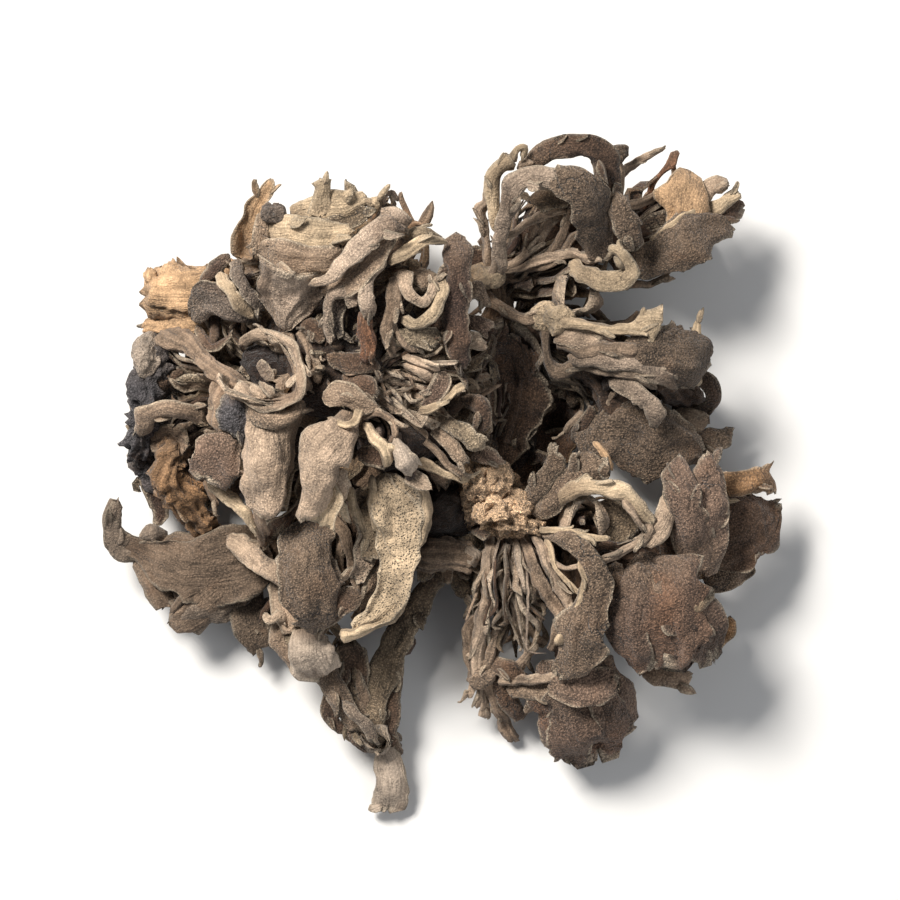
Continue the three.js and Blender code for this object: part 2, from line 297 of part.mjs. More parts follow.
  "tail_branch": [
    ["stub", "stem", "greige", [[-12, -14.6, 12, 4], [-5, -16.6, 15, 5.2], [-1, -16.2, 17, 5.4],
      [3, -17.2, 17, 4.2], [4.8, -17.5, 16.6, 2.6]], {"flat": 0.8, "root": [1.4, -18, 12],
      "from": 3}],
    ["stub_torn", "sheet", "chalk", [[2.6, -15.6, 18.2, 1.4], [4, -17.4, 18.4, 2.2],
      [4.2, -18.9, 17.6, 1.4]], {"curl": 40, "t": 0.9}],
    ["arch_leg", "sheet", "olive", [[1.6, -18, 12, 3.4], [-1.6, -20, 11, 4], [-5, -24, 9.4, 4.6],
      [-7.2, -29, 8.4, 4.4], [-9.4, -34, 8.6, 5.2], [-11.6, -39, 8.8, 4], [-12.4, -44, 8, 3.4],
      [-11.4, -48.6, 6.4, 3.4]], {"curl": 70, "t": 1.6}],
    ["right_leg", "sheet", "olive", [[0.4, -18.6, 12, 3], [2.2, -21.4, 11.6, 3.4],
      [2.9, -25, 11, 3.2]], {"curl": 60, "t": 1.5}],
    ["leg_edge", "sheet", "umber", [[-8.6, -34, 8, 3], [-9.6, -40, 7.6, 2.8], [-9.2, -46, 6.4, 2.4],
      [-9, -50.4, 4.6, 2.6]], {"curl": 60, "t": 1.2}],
    ["tail_left", "sheet", "greige", [[-21, -34.6, 10.4, 5], [-18.8, -38.4, 11, 4.6],
      [-16.8, -42, 10.4, 3.6], [-15, -46, 8.6, 2.6]], {"curl": 60, "t": 1.3}],
    ["tail_plate", "sheet", "umber", [[-15.6, -31.6, 9, 4.4], [-15, -36, 8.8, 4.6],
      [-13.8, -41.4, 8, 3]], {"curl": -20, "t": 1.3}],
    ["pale_strand", "sheet", "silver", [[-17.4, -41, 12, 1.6], [-15.6, -42.2, 14, 2],
      [-13.9, -45, 13.6, 2.4], [-12.6, -47.6, 11.6, 1.8]],
      {"curl": 90, "t": 1.1, "root": [-16.8, -41, 9.6]}],
    ["tail_curl", "sheet", "umber", [[-18.8, -40, 9.6, 3], [-20, -42.6, 9.4, 3],
      [-18.6, -44.8, 8.8, 2.8], [-16.4, -43.8, 8.6, 2]], {"curl": 60, "t": 1}],
    ["tail_under", "sheet", "rose", [[-16.4, -44, 8.6, 2.6], [-14.9, -47.2, 7.8, 2.6],
      [-12.2, -49.4, 6, 2.4]], {"curl": 90, "t": 1.1}],
    ["tail_ring", "sheet", "chalk", [[-10.2, -48.2, 3, 10.4], [-10.2, -48.2, 6, 10.4],
      [-10.4, -48.4, 9.6, 10.8]], {"curl": 315, "up": [0.7, -0.7, 0], "t": 0.9}],
    ["pale_tip", "sheet", "chalk", [[-10.6, -48.4, 5.6, 3.2], [-10.2, -52.2, 4.4, 4.4],
      [-9.6, -56.6, 3.2, 5.2], [-9.9, -60.2, 1.4, 4.8]], {"curl": 40, "t": 1.4}],
    ["tip_hook", "sheet", "chalk", [[-10.8, -58.4, 2.4, 1.8], [-12.6, -59.4, 2.2, 1.6]], {"t": 1}],
    ["tail_foot", "stem", "olive", [[-10.4, -40, 7, 3.4], [-10.6, -46, 3, 4], [-10, -51, 1.1, 3.6]],
      {"flat": 0.8}],
    ["leg_foot", "stem", "umber", [[-3, -21, 9.8, 4], [-6, -26, 6.6, 4.6], [-9.2, -33.6, 6, 5]],
      {"flat": 0.8}],
  ],
  "lower_right": [
    ["right_root", "stem", "umber", [[9, -11, 12, 8], [16, -12, 15, 7], [24, -14, 15, 6.4],
      [32, -18, 13, 6.4], [39, -20, 10, 6]], {"flat": 0.8}],
    ["leaf_foot", "stem", "umber", [[30, -18, 12, 6], [33, -26, 7, 6.4], [37, -33, 1.2, 5.4]],
      {"flat": 0.8}],
    ["low_root", "stem", "umber", [[22, -15, 13, 5.4], [20, -26, 13, 5.4], [20, -36, 10, 5.4],
      [22, -44, 4, 5.4]], {"flat": 0.8}],
    ["prong_left", "sheet", "taupe", [[11.8, -8.4, 20, 2.4], [14.4, -5.8, 22.6, 2.6],
      [16.5, -2.8, 24, 2.8], [18, 0.2, 24.2, 2]], {"curl": 90, "t": 1.2, "root": [13, -11.4, 14]}],
    ["prong_wide", "sheet", "taupe", [[13.6, -9.6, 20.6, 2.4], [17, -7.2, 22.6, 3.4],
      [20.6, -4.2, 24, 5], [24.2, -1.4, 24.4, 6]], {"curl": 60, "t": 1.4}],
    ["prong_end", "stem", "gold", [[22.6, 1.2, 24, 1.2], [24.6, -1.2, 24.6, 1.5],
      [26, -3.6, 23.6, 1.2]], {}],
    ["ring_strap", "sheet", "cream", [[15.6, -8.4, 21.4, 2.4], [20, -6, 25, 2.5],
      [24, -5.8, 26.6, 2.3], [27.6, -7.3, 26.8, 2.2], [30.2, -9.8, 26, 2.1], [32, -12.6, 24.8, 1.8]],
      {"curl": 90, "t": 1.1}],
    ["ring_rim", "stem", "bone", [[31.9, -12.2, 25, 1.6], [30.6, -15, 24.8, 1.5],
      [27.2, -16.8, 24.4, 1.4], [23.6, -17.3, 23.6, 1.4]], {}],
    ["ring_branch", "stem", "bone", [[27.3, -8.2, 26.6, 1.5], [29.2, -10.8, 26, 1.4],
      [30.2, -13.6, 25, 1.2]], {}],
    ["ring_sheet", "sheet", "olive", [[23.6, -8.8, 19.4, 4], [26.4, -11.6, 20, 6.4],
      [29, -15, 19.6, 4.4]], {"curl": -45, "t": 1.3}],
    ["end_roll", "sheet", "bone", [[21.2, -8.4, 14.6, 12], [21.2, -8.2, 19, 13],
      [21.2, -8, 23.4, 13.4]], {"curl": 300, "up": [0, 1, 0], "t": 1}],
    ["roll_heart", "stem", "umber", [[20.8, -10.8, 15, 2], [21, -10.6, 21.4, 1.8]], {}],
    ["pale_spike", "stem", "cream", [[14, -12.3, 21.4, 1.8], [19.6, -13, 24.6, 1.2],
      [24.9, -13.8, 25, 0.9]], {}],
    ["ring_under", "stem", "umber", [[17, -13.8, 20.6, 1.8], [24.4, -15, 22, 1.8],
      [28, -15.6, 22.6, 1.8]], {"root": [24, -14, 16], "from": 1}],
    ["long_strap", "sheet", "taupe", [[15, -12.9, 20.6, 2.6], [19, -14.3, 24.4, 2.8],
      [22.2, -16.8, 26, 3.4], [23.4, -20.6, 26.2, 4.2], [22.8, -24.6, 25.6, 5.8], [21, -29, 24.6, 7.8],
      [19.6, -33, 22.6, 7.2], [17.2, -36.6, 19.4, 2.8]], {"curl": [60, 75],
      "t": 1.3, "root": [21, -24, 13], "from": 4}],
    ["strap_rim", "stem", "cream", [[20.4, -16.8, 25.6, 1], [21.2, -20.8, 26, 1.1],
      [19.7, -25.6, 24.8, 1.1], [17, -30.6, 22.4, 1.1]], {}],
    ["big_leaf", "sheet", "rust", [[31, -17.6, 20, 7], [33.4, -21.4, 22.6, 15],
      [34.5, -26.6, 23.2, 18], [33.6, -31.6, 21.8, 16], [33, -35.2, 19, 11]], {"curl": [20, 55],
      "t": 1.5, "bulge": 1, "root": [33, -24, 9], "from": 2}],
    ["leaf_ridge", "sheet", "olive", [[36, -27.4, 23.4, 2], [39.4, -25, 24.4, 2.8],
      [42.6, -22.6, 22.6, 2]], {"curl": 90, "t": 1.1}],
    ["leaf_left", "sheet", "umber", [[26.6, -18.4, 21, 2.4], [27, -22.6, 22.6, 4],
      [27.6, -28, 22, 4.4], [28.4, -33.8, 19.4, 3]], {"curl": 70, "t": 1.2}],
    ["frond_left", "sheet", "rose", [[40.4, -19, 17, 4], [39, -13.6, 22, 5.8], [38, -8.4, 24.4, 5.8],
      [37.2, -3.8, 24, 5], [36.9, -0.6, 22, 2]], {"curl": [70, 90], "t": 1.3, "root": [38, -19.6, 11]}],
    ["frond_right", "sheet", "rose", [[41.6, -20, 15.4, 3.4], [42, -13.6, 20.6, 5],
      [42.2, -8.4, 23.4, 5.2], [41.8, -3.6, 23.2, 4.8], [41.2, 0, 21.2, 2]], {"curl": [80, 100],
      "t": 1.3}],
    ["frond_wing", "sheet", "bone", [[37, -8, 21.6, 3.4], [34.6, -11, 24, 3.4], [32.4, -13.8, 24.6, 3],
      [30.4, -16.4, 24.4, 2.2]], {"curl": 90, "t": 1.2}],
    ["frond_back", "sheet", "umber", [[35, -18, 17, 4], [36, -14, 18.4, 5], [38, -10, 19, 4]],
      {"curl": -30, "t": 1.3}],
    ["fan", "sheet", "umber", [[39.6, -15.4, 11, 8], [43.6, -14.4, 13, 12], [47.4, -12.8, 12.4, 13.4],
      [51, -11.2, 10.4, 9.6], [54.6, -8, 8, 2.4]], {"curl": [30, 60], "t": 1.4, "root": [39, -19, 10],
      "from": 1}],
    ["fan_low", "sheet", "taupe", [[41.4, -20.4, 10, 4.4], [44.4, -20, 11.4, 6.4],
      [47.4, -18.2, 9.8, 5.4], [50, -16.6, 8, 3]], {"curl": 45, "t": 1.3}],
    ["fan_top", "sheet", "ochre", [[42, -7, 12, 3], [44.4, -5.6, 14.4, 3.8], [47.6, -4.8, 14.4, 5],
      [50.8, -4.6, 12.6, 4.4], [53, -6.8, 9.8, 1.8]], {"curl": 85, "t": 1.2}],
    ["fan_spike", "stem", "cream", [[43, -7.8, 15, 1.4], [46.1, -7.9, 15.8, 0.9]], {}],
    ["tan_leaf", "sheet", "ochre", [[39.6, -33, 6.6, 2.8], [42.4, -30.8, 8, 4.4],
      [44.4, -28.6, 8, 4.2], [45.6, -26.2, 6.6, 2]], {"curl": 50, "t": 1.2}],
    ["rolled_flap", "sheet", "flesh", [[31.4, -35.2, 11, 2.4], [34.2, -36.6, 12, 3.2],
      [37, -37, 11.6, 3.2], [39.6, -36.8, 10, 1.8]], {"curl": 120, "t": 1.1}],
    ["flap_stalk", "stem", "umber", [[33, -29, 8, 4], [34.6, -35.6, 10, 3]], {}],
    ["leaf_stalk", "stem", "umber", [[36, -28, 7, 4], [41, -31.4, 6.6, 3]], {}],
    ["low_leaf", "sheet", "rust", [[18.6, -36.6, 15.4, 8], [21, -40.6, 15, 13], [22.8, -45, 12, 14.6],
      [24, -48.8, 8.4, 12.4], [24.4, -51.4, 5.6, 8]], {"curl": [20, 45], "t": 1.4, "bulge": 0.6}],
    ["low_ledge", "sheet", "rose", [[16.2, -37.2, 16.6, 3.4], [21.4, -38.4, 18.8, 6.4],
      [27, -36.8, 17.4, 3.4]], {"curl": 65, "t": 1.3}],
    ["stem_a", "stem", "greige", [[11, -12.6, 15.6, 2.4], [13, -19.6, 20.6, 1.9], [17, -26, 19.6, 1.9],
      [17.4, -28.8, 18.6, 1.8], [15.9, -31.8, 16.6, 1.6]], {}],
    ["stem_b", "stem", "bone", [[13.2, -13.6, 20.4, 1.8], [15, -18, 22, 1.6], [17, -21.8, 21.6, 1.6],
      [19.2, -26.8, 20, 1.5]], {}],
    ["stem_c", "stem", "cream", [[15, -14.4, 21.6, 1.2], [17.2, -19.8, 23, 1], [20.4, -23.6, 23.4, 1]],
      {}],
    ["stem_d", "stem", "bone", [[10.2, -13.6, 16.4, 2], [10.6, -23, 17.4, 1.9], [11, -29, 15.4, 1.8],
      [12, -32.6, 13.4, 1.7], [10.2, -35.4, 11.6, 1.7]], {}],
    ["stem_d_fork", "stem", "bone", [[11, -26, 16.6, 1.5], [14.2, -30.8, 15, 1.3]], {}],
    ["stem_e", "stem", "greige", [[12.2, -18.4, 19.6, 1.4], [13.5, -22.8, 19.6, 1.5],
      [11.6, -25.6, 17, 1.4]], {}],
    ["stem_f", "stem", "bone", [[8, -12, 14, 2.4], [6, -17.4, 19.6, 2.2], [6, -22.4, 18, 2.1],
      [5, -28, 14.6, 2.1], [4, -33, 12.6, 2.1], [4.6, -37, 11.6, 2.1]], {}],
    ["stem_g", "stem", "greige", [[4.4, -26.6, 14.6, 1.6], [3, -29, 12.6, 2], [3, -32.6, 11.8, 2],
      [4.2, -37, 11, 2]], {}],
    ["stem_h", "stem", "greige", [[9.2, -23.6, 15, 1.5], [7.6, -28, 13.8, 1.3], [6.2, -32, 12.8, 1.3],
      [5.2, -36.6, 11.6, 1.4]], {}],
    ["stem_plate", "sheet", "umber", [[8.8, -12.6, 14, 3.4], [8.8, -20, 15, 3.8],
      [8.6, -26.4, 13.2, 2.8]], {"curl": 50, "t": 1.3}],
    ["stem_cross", "stem", "bone", [[14, -16.4, 21.4, 1], [18.4, -18.8, 23, 1],
      [21.8, -17.6, 24.4, 1]], {}],
    ["root_knot", "lump", "greige", [[5, -37.4, 10.6]], {"r": [2.3, 2, 2.6], "rough": 0.2}],
    ["toe_a", "stem", "bone", [[4.6, -37, 10.8, 1.5], [2.1, -40.6, 8, 1.1]], {}],
    ["toe_b", "stem", "bone", [[4.8, -38, 10.2, 1.5], [3.8, -42, 6.4, 1.1]], {}],
    ["toe_c", "stem", "bone", [[5.1, -38.4, 9.8, 1.7], [5.1, -41, 7.4, 1.3], [5.1, -44, 4.6, 1.8]], {}],
    ["toe_d", "stem", "flesh", [[5.6, -37, 10.8, 2.4], [6.6, -40.4, 8.8, 2.3], [8.3, -43.8, 5.4, 2.3],
      [9.9, -48.6, 0.8, 2.4]], {}],
    ["toe_e", "sheet", "umber", [[6.6, -37, 10.4, 2.8], [9.5, -41, 9, 3.2], [12.4, -45, 6, 2.6]],
      {"curl": 80, "t": 1.2}],
    ["low_fold", "sheet", "umber", [[6, -34.4, 11.6, 3], [9, -35.8, 12.6, 4.2], [12.4, -38, 12, 3]],
      {"curl": 60, "t": 1.2}],
    ["low_strap_a", "stem", "bone", [[8, -38.4, 11, 1.7], [13, -37, 14.4, 1.6],
      [16.8, -36.2, 17, 1.5]], {}],
    ["low_strap_b", "sheet", "greige", [[9.6, -39.2, 10.4, 2.6], [15, -38.6, 13.6, 2.8],
      [18.4, -38, 15.4, 2.8]], {"curl": 70, "t": 1.2}],
    ["flap_tip", "sheet", "flesh", [[12.6, -43, 8.4, 1.8], [14.5, -40, 11.6, 3.2],
      [16.8, -37.8, 14.8, 3.2]], {"curl": 50, "t": 1.2}],
  ],
  "middle_right": [
    ["spray_knot", "lump", "cream", [[17.6, 20.4, 23.4]], {"r": [2.5, 2.3, 2.3], "rough": 0.18}],
    ["arc_stem", "stem", "cream", [[17.4, 20.8, 24, 2.6], [19.5, 19.9, 25.8, 2.1],
      [22.5, 19, 26.8, 1.9], [25.5, 18.8, 27.2, 1.8], [28.5, 19.5, 27.4, 1.9], [31, 20.2, 27.2, 2.4]],
      {}],
    ["arc_frill", "sheet", "cream", [[29.2, 19.6, 27, 2.2], [31.4, 20.4, 27.6, 4.4],
      [33.8, 20, 26.6, 6]], {"curl": 80, "t": 1.1}],
    ["frill_tip", "stem", "cream", [[31, 20.6, 27.2, 1.4], [30.4, 23.2, 28, 1.1]], {}],
    ["wedge_sheet", "sheet", "bone", [[17.2, 19, 23.4, 3.4], [20, 17.5, 25, 3.8], [25, 16.6, 25.8, 2]],
      {"curl": 50, "t": 1.2}],
    ["main_strap", "stem", "greige", [[18, 17.4, 22.6, 2.4], [22, 15.5, 25.2, 2.1],
      [26, 15.8, 26.6, 2.4], [30.4, 16.4, 26.4, 2.8]], {"flat": 0.7}],
    ["brown_cap", "sheet", "taupe", [[28, 16.2, 25.4, 3.4], [32, 16.2, 26, 5.8], [36, 15.4, 24.8, 9],
      [39.6, 14.8, 21.6, 10], [42.4, 14.4, 17, 6.6]], {"curl": [60, 90], "t": 1.4}],
    ["cap_tooth_a", "stem", "taupe", [[36, 17, 23.8, 2.2], [37.3, 20, 23.4, 1.1]], {}],
    ["cap_tooth_b", "stem", "cream", [[38.8, 17.4, 21.8, 2.2], [40.1, 20.6, 21.4, 1]], {}],
    ["cap_under", "sheet", "cream", [[33.6, 13.4, 22.6, 3], [37, 12.2, 21, 4], [41, 11.6, 17.6, 3]],
      {"curl": 40, "roll": 40, "t": 1.2}],
    ["ridged_strap", "sheet", "silver", [[19.6, 14.4, 23.4, 2.4], [24.6, 14.2, 26.2, 3],
      [29.4, 14, 26.8, 3.2], [33, 12.6, 25.6, 3.2], [36.4, 9.8, 22.8, 1.6]], {"curl": 110, "t": 1.1}],
    ["strap_fork", "stem", "silver", [[32, 14, 25.6, 2], [35.4, 11.9, 24.4, 1.3]], {}],
    ["lower_strap", "stem", "bone", [[20.4, 13.4, 22, 1.8], [26.6, 12.4, 25, 1.5], [30, 12, 25.4, 1.5],
      [32.4, 10.4, 24.4, 1.3]], {}],
    ["tan_strap", "sheet", "ochre", [[26.4, 11.8, 23, 2.2], [30, 9.8, 25.2, 3.2],
      [32.3, 7.8, 25.6, 3.6], [33.4, 5.4, 24, 3.2], [32.8, 3.2, 20.4, 2.4]],
      {"curl": 80, "t": 1.2, "root": [25, 10, 17]}],
    ["loop_stem", "stem", "greige", [[15.6, 19.8, 22, 2.2], [15.3, 16, 20.6, 2], [16.4, 13.6, 20, 1.9],
      [18.4, 12.6, 20.4, 1.9], [20.4, 13.2, 22, 1.9]], {}],
    ["dome_stalk", "stem", "umber", [[20, 15, 19, 4.6], [25, 10, 16.4, 5.4], [30, 4, 14, 6.4],
      [34, -1, 11, 5]], {"flat": 0.8}],
    ["cap_stalk", "stem", "umber", [[18, 19, 20, 5], [25, 15.6, 21, 4.6], [33, 14.4, 20, 5],
      [39, 12.4, 14, 5]], {"flat": 0.8}],
    ["outer_foot", "stem", "umber", [[34, 13, 18, 5.4], [38, 9.4, 9, 5.6], [40, 7, 1, 5.2]],
      {"flat": 0.9}],
    ["inner_foot", "stem", "umber", [[26, 7, 14, 5.4], [25, 3.4, 7, 5], [24, 1.4, 0.8, 4.6]],
      {"flat": 0.9}],
    ["grain_dome", "sheet", "taupe", [[21.2, 2.7, 13, 3.4], [24.4, 2.5, 16, 7.4], [28.6, 2, 18, 11],
      [33, 1, 18.6, 11.4], [37.6, 0.8, 16.8, 9], [41, 0, 13, 3.6]], {"curl": [70, 90], "t": 1.4}],
    ["side_fold", "sheet", "umber", [[40.2, 11.8, 15, 2.4], [42.8, 10.3, 15, 2.8],
      [43.3, 8.4, 13.6, 2.6], [42, 6.7, 11.4, 2.2], [40, 5.8, 9.4, 1.8]], {"curl": 90, "t": 1.2}],
    ["side_leaf_a", "sheet", "bone", [[36.6, 5.4, 9.6, 3], [40, 4.5, 11, 3.8], [42.8, 4, 9.8, 2.6]],
      {"curl": 50, "t": 1.2}],
    ["side_leaf_b", "sheet", "taupe", [[37.6, 1, 9.6, 4], [41, 1, 10, 4.4], [43.8, 1.9, 9.6, 4.2],
      [46.6, 4, 8, 1.4]], {"curl": 50, "t": 1.2}],
    ["leaf_post", "stem", "umber", [[38, 8, 7, 4], [39, 3, 8.6, 3.6]], {}],
    ["crumple_a", "sheet", "umber", [[20.2, 1, 12, 1.8], [21.5, 4.5, 15, 2.4], [23.4, 7.6, 16.6, 2.2]],
      {"curl": 80, "t": 1.1}],
    ["twig_a", "stem", "bone", [[21.4, 6.4, 14.6, 1.4], [18.2, 2.6, 12, 1.1]], {}],
    ["twig_b", "stem", "bone", [[24.2, 5.4, 15.4, 1.4], [27.2, 9.6, 18.6, 1.2]], {}],
    ["fork_a", "stem", "greige", [[19, 20, 20, 1.7], [22.5, 20.6, 16, 1.4], [25.6, 19.9, 14.4, 1.3]],
      {}],
    ["fork_b", "stem", "greige", [[22.6, 23.9, 13.4, 1.3], [25.8, 19.8, 14.4, 1.5]], {}],
    ["fork_c", "stem", "greige", [[25, 20, 14.4, 1.7], [28.5, 20.8, 14, 1.6], [30.4, 22.4, 13, 1.3]],
      {}],
  ],
  "upper_right": [
    ["spray_root", "lump", "cream", [[5.6, 27.4, 17.6]], {"r": [2.8, 2.4, 4.4], "rough": 0.15}],
    ["spray_core", "stem", "umber", [[6, 27.4, 14.6, 6], [13, 32, 14, 6.4], [21, 34.6, 15, 6],
      [29, 34, 14.6, 6], [38, 35.6, 14, 6]], {"flat": 0.8}],
    ["core_foot_a", "stem", "umber", [[22, 34, 13, 5], [24.6, 37.4, 7, 5], [26, 40, 0.8, 5]],
      {"flat": 0.9}],
    ["core_foot_b", "stem", "umber", [[35, 35, 13, 5.4], [39, 34.8, 7, 5.4], [41, 34, 0.8, 5.2]],
      {"flat": 0.9}],
    ["cap_strap", "sheet", "silver", [[6.6, 26.6, 18.6, 2.4], [8, 30, 23, 2.2], [8.4, 34, 27, 2.4],
      [8.9, 38, 30, 2.6], [10.4, 41.6, 32, 3], [13, 43, 32.6, 2.8], [17.4, 42.8, 32.2, 3.2]],
      {"curl": 110, "t": 1.1}],
    ["cap", "sheet", "taupe", [[15.6, 43, 31.8, 3], [20, 41.5, 31.8, 5.6], [22.4, 38.5, 30.2, 7],
      [23.1, 34.5, 27.4, 6], [23.8, 29.6, 23.6, 3.4]], {"curl": [70, 100], "t": 1.3}],
    ["cap_tooth", "stem", "taupe", [[21, 38.2, 29.4, 1.8], [19.3, 37.1, 28.4, 1]], {}],
    ["cream_band", "sheet", "cream", [[8.4, 33.4, 25, 1.8], [7, 38.4, 27.8, 2.1], [7.2, 42, 29.6, 2.1],
      [8.8, 44.4, 30.6, 2.4], [10.8, 45.2, 30.4, 2.8]], {"curl": 80, "t": 1.1}],
    ["hook", "stem", "cream", [[9.8, 45, 29.8, 1.6], [10.8, 46.9, 30.4, 1.3], [12.2, 47.3, 30.4, 1.2],
      [12.5, 45.6, 29.6, 1.2]], {}],
    ["hook_arch_tie", "stem", "bone", [[11, 44.4, 29.8, 1.6], [14, 45, 28.4, 1.6]], {}],
    ["left_loop", "stem", "bone", [[6, 28.4, 18.6, 1.8], [5.7, 32, 20.4, 1.6], [5, 35.5, 22, 1.5],
      [4.8, 38, 23.6, 1.5], [6, 39.4, 25.4, 1.4], [7.4, 41.8, 28.4, 1.4]], {}],
    ["strand_a", "sheet", "umber", [[4.6, 26.4, 16.6, 3], [4.3, 29.6, 18.6, 3.2],
      [4.3, 33.4, 20, 2.4]], {"curl": 60, "t": 1.2}],
    ["strand_b", "stem", "bone", [[5.6, 27.4, 20, 1.8], [7, 29.6, 22.4, 1.5], [7.8, 32.6, 25, 1.4]],
      {}],
    ["big_arch", "sheet", "umber", [[12.6, 44, 27, 2.4], [15.4, 46.6, 29.2, 3.2],
      [18.4, 47.8, 30.6, 4], [21.6, 47.8, 30.8, 5], [24, 45.8, 29.6, 5.2], [24.9, 42.6, 28, 4.4],
      [24.8, 39, 24.8, 3.6]], {"curl": 90, "t": 1.3}],
    ["inner_leaf", "sheet", "olive", [[19, 40.2, 27, 2.8], [15, 40, 25.4, 3.8], [12.8, 39.8, 24, 1.6]],
      {"curl": 60, "t": 1.2, "root": [20.4, 41, 31]}],
    ["s_cap", "sheet", "taupe", [[25.8, 41, 26.6, 2.2], [26.8, 37.8, 28.6, 3.8], [28, 35.4, 28.2, 3.6],
      [29.3, 33.4, 27, 3.4], [29, 30.6, 24.4, 3]], {"curl": 100, "t": 1.3}],
    ["cream_hook", "sheet", "cream", [[18.6, 29.6, 21.6, 2.4], [21.3, 28.5, 25, 3],
      [24, 27.4, 27, 3.2], [27, 27.3, 28, 3], [28.9, 28.9, 28.4, 2.6], [28.2, 30.7, 28.6, 1.9],
      [26.6, 31.8, 28.4, 1.5], [25.3, 31.2, 27.6, 1.1]], {"curl": 85, "t": 1.2}],
    ["spiral", "sheet", "bone", [[20.6, 23.4, 14.6, 12.6], [20.6, 23.2, 18.6, 14],
      [20.6, 23.1, 22.6, 14.4]], {"curl": 325, "up": [0.05, -1, 0], "t": 1}],
    ["spiral_tie", "stem", "umber", [[18, 30, 14, 3], [19.6, 27.4, 16.6, 2.6]], {}],
    ["thin_a", "stem", "bone", [[8, 28.6, 16.6, 1.9], [13.4, 33, 19.6, 1.7], [17.6, 37.6, 22.6, 1.6],
      [20.4, 39.6, 26, 1.5]], {}],
    ["thin_b", "stem", "greige", [[8.6, 29, 16, 1.6], [12, 32, 18.6, 1.5], [14.2, 36.2, 22, 1.4]], {}],
    ["thin_c", "stem", "bone", [[8, 28, 16.6, 1.7], [14, 30.5, 19.6, 1.7], [19, 31.3, 22.4, 1.7],
      [23.2, 31, 24.6, 1.7]], {}],
    ["thin_d", "stem", "greige", [[11.4, 29.4, 16.6, 1.5], [17, 30.8, 20.6, 1.5],
      [19.8, 34.2, 24, 1.4], [22, 35.6, 27, 1.3]], {}],
    ["thin_e", "stem", "bone", [[8.6, 34, 24.6, 1.8], [13.8, 36.8, 23.4, 1.7], [18.4, 38.6, 25, 1.7]],
      {}],
    ["thin_f", "stem", "greige", [[15.4, 31, 19.6, 1.5], [18, 34, 22.8, 1.4], [19.4, 38.8, 26, 1.4]],
      {}],
    ["top_knob", "lump", "taupe", [[27.4, 47.2, 19]], {"r": [1.7, 1.6, 1.8], "rough": 0.15}],
    ["top_stem", "stem", "bone", [[26.6, 38.6, 13.4, 2.6], [26.9, 43, 17, 1.9], [27.3, 47, 19, 1.7]],
      {"root": [27, 34.5, 14.6]}],
    ["top_twig", "stem", "bone", [[26.9, 43.4, 16.8, 1.6], [29.2, 45.4, 15.4, 1.4],
      [31.4, 46.7, 15.6, 1.3], [34.8, 48.2, 16, 1.1]], {}],
    ["brown_twig", "stem", "clay", [[36.7, 47.8, 17, 1.5], [36.2, 45.8, 17, 1.8],
      [34.8, 44.2, 16.6, 1.2], [33, 42, 16.2, 1.2], [30.8, 39.2, 14.4, 1.6]],
      {"root": [30, 35.6, 14.6], "from": 4}],
    ["orange_plate", "sheet", "gold", [[39, 44.6, 16.2, 3], [38.2, 41.6, 18, 7],
      [37.4, 38.8, 18.4, 9.4], [35.4, 35, 17, 4.4]], {"curl": 30, "t": 1.8}],
    ["big_cap", "sheet", "taupe", [[28.2, 29.6, 15.6, 3], [32, 30.4, 18, 5], [35.4, 32.2, 20, 8],
      [39, 34.6, 20.6, 8.6], [42.6, 35.9, 18.6, 6], [45.8, 35, 15.6, 2]], {"curl": [60, 80], "t": 1.4}],
    ["cap_rim", "stem", "cream", [[31.6, 33.2, 18, 1.1], [35.8, 36.4, 20, 1.2],
      [40.6, 38.4, 18.8, 1.2]], {}],
    ["roll_tip_a", "sheet", "bone", [[39.8, 39.6, 15.4, 2.6], [42.6, 43, 16.6, 3],
      [45.2, 42.8, 16, 2.4]], {"curl": 100, "t": 1.1}],
    ["roll_tip_b", "sheet", "cream", [[41, 38, 15.4, 3], [44.8, 40.2, 16.2, 2.6], [46.9, 42, 16, 2]],
      {"curl": 90, "t": 1.1}],
    ["tip_lobe", "sheet", "umber", [[41, 37, 14.6, 3.4], [45, 38.8, 14.8, 4.2], [48.2, 39.3, 13.2, 3]],
      {"curl": 60, "t": 1.2, "root": [38, 35.6, 14]}],
    ["thin_bar", "stem", "bone", [[26.6, 39.5, 17.6, 1.4], [33.6, 40.3, 16.6, 1.3],
      [36.6, 40.6, 17, 1.4]], {}],
    ["low_sheet", "sheet", "umber", [[27, 38.6, 8.6, 4.4], [31, 38, 9.4, 5.6], [34.6, 35.4, 10, 5]],
      {"curl": 30, "t": 1.3}],
    ["low_twig", "stem", "bone", [[27.6, 33, 14, 2], [28.6, 27, 8, 1.8], [31.4, 26.8, 6, 1.7],
      [35.6, 28.6, 5, 1.5]], {}],
  ],
};

const TONES = {
  ash: [0x6f675f, 0.9], bone: [0xb9a794, 0.85], chalk: [0xe2d9cb, 0.85], clay: [0x8a5a40, 0.9],
  cream: [0xdccbb0, 0.85], crumb: [0xcdb795, 0.95], flesh: [0xa58c7d, 0.85], gold: [0xd6b07a, 0.8],
  greige: [0x9c8b7a, 0.85], ochre: [0xb08a58, 0.9], olive: [0x857a66, 0.9], plum: [0x4f403b, 0.8],
  rose: [0x8f7468, 0.85], rust: [0x8a6248, 0.9], sage: [0x8c8672, 0.9], silver: [0xb4a798, 0.8],
  slate: [0x43454a, 0.9], taupe: [0x7a6554, 0.9], umber: [0x574739, 0.9],
};

const PIECE_TONES = {
  left_cluster: "bone", dark_lobe: "slate", left_lobe: "olive", lower_fronds: "taupe",
  tail_branch: "greige", lower_right: "rose", middle_right: "ochre", upper_right: "taupe",
  stalk_base: "crumb",
};

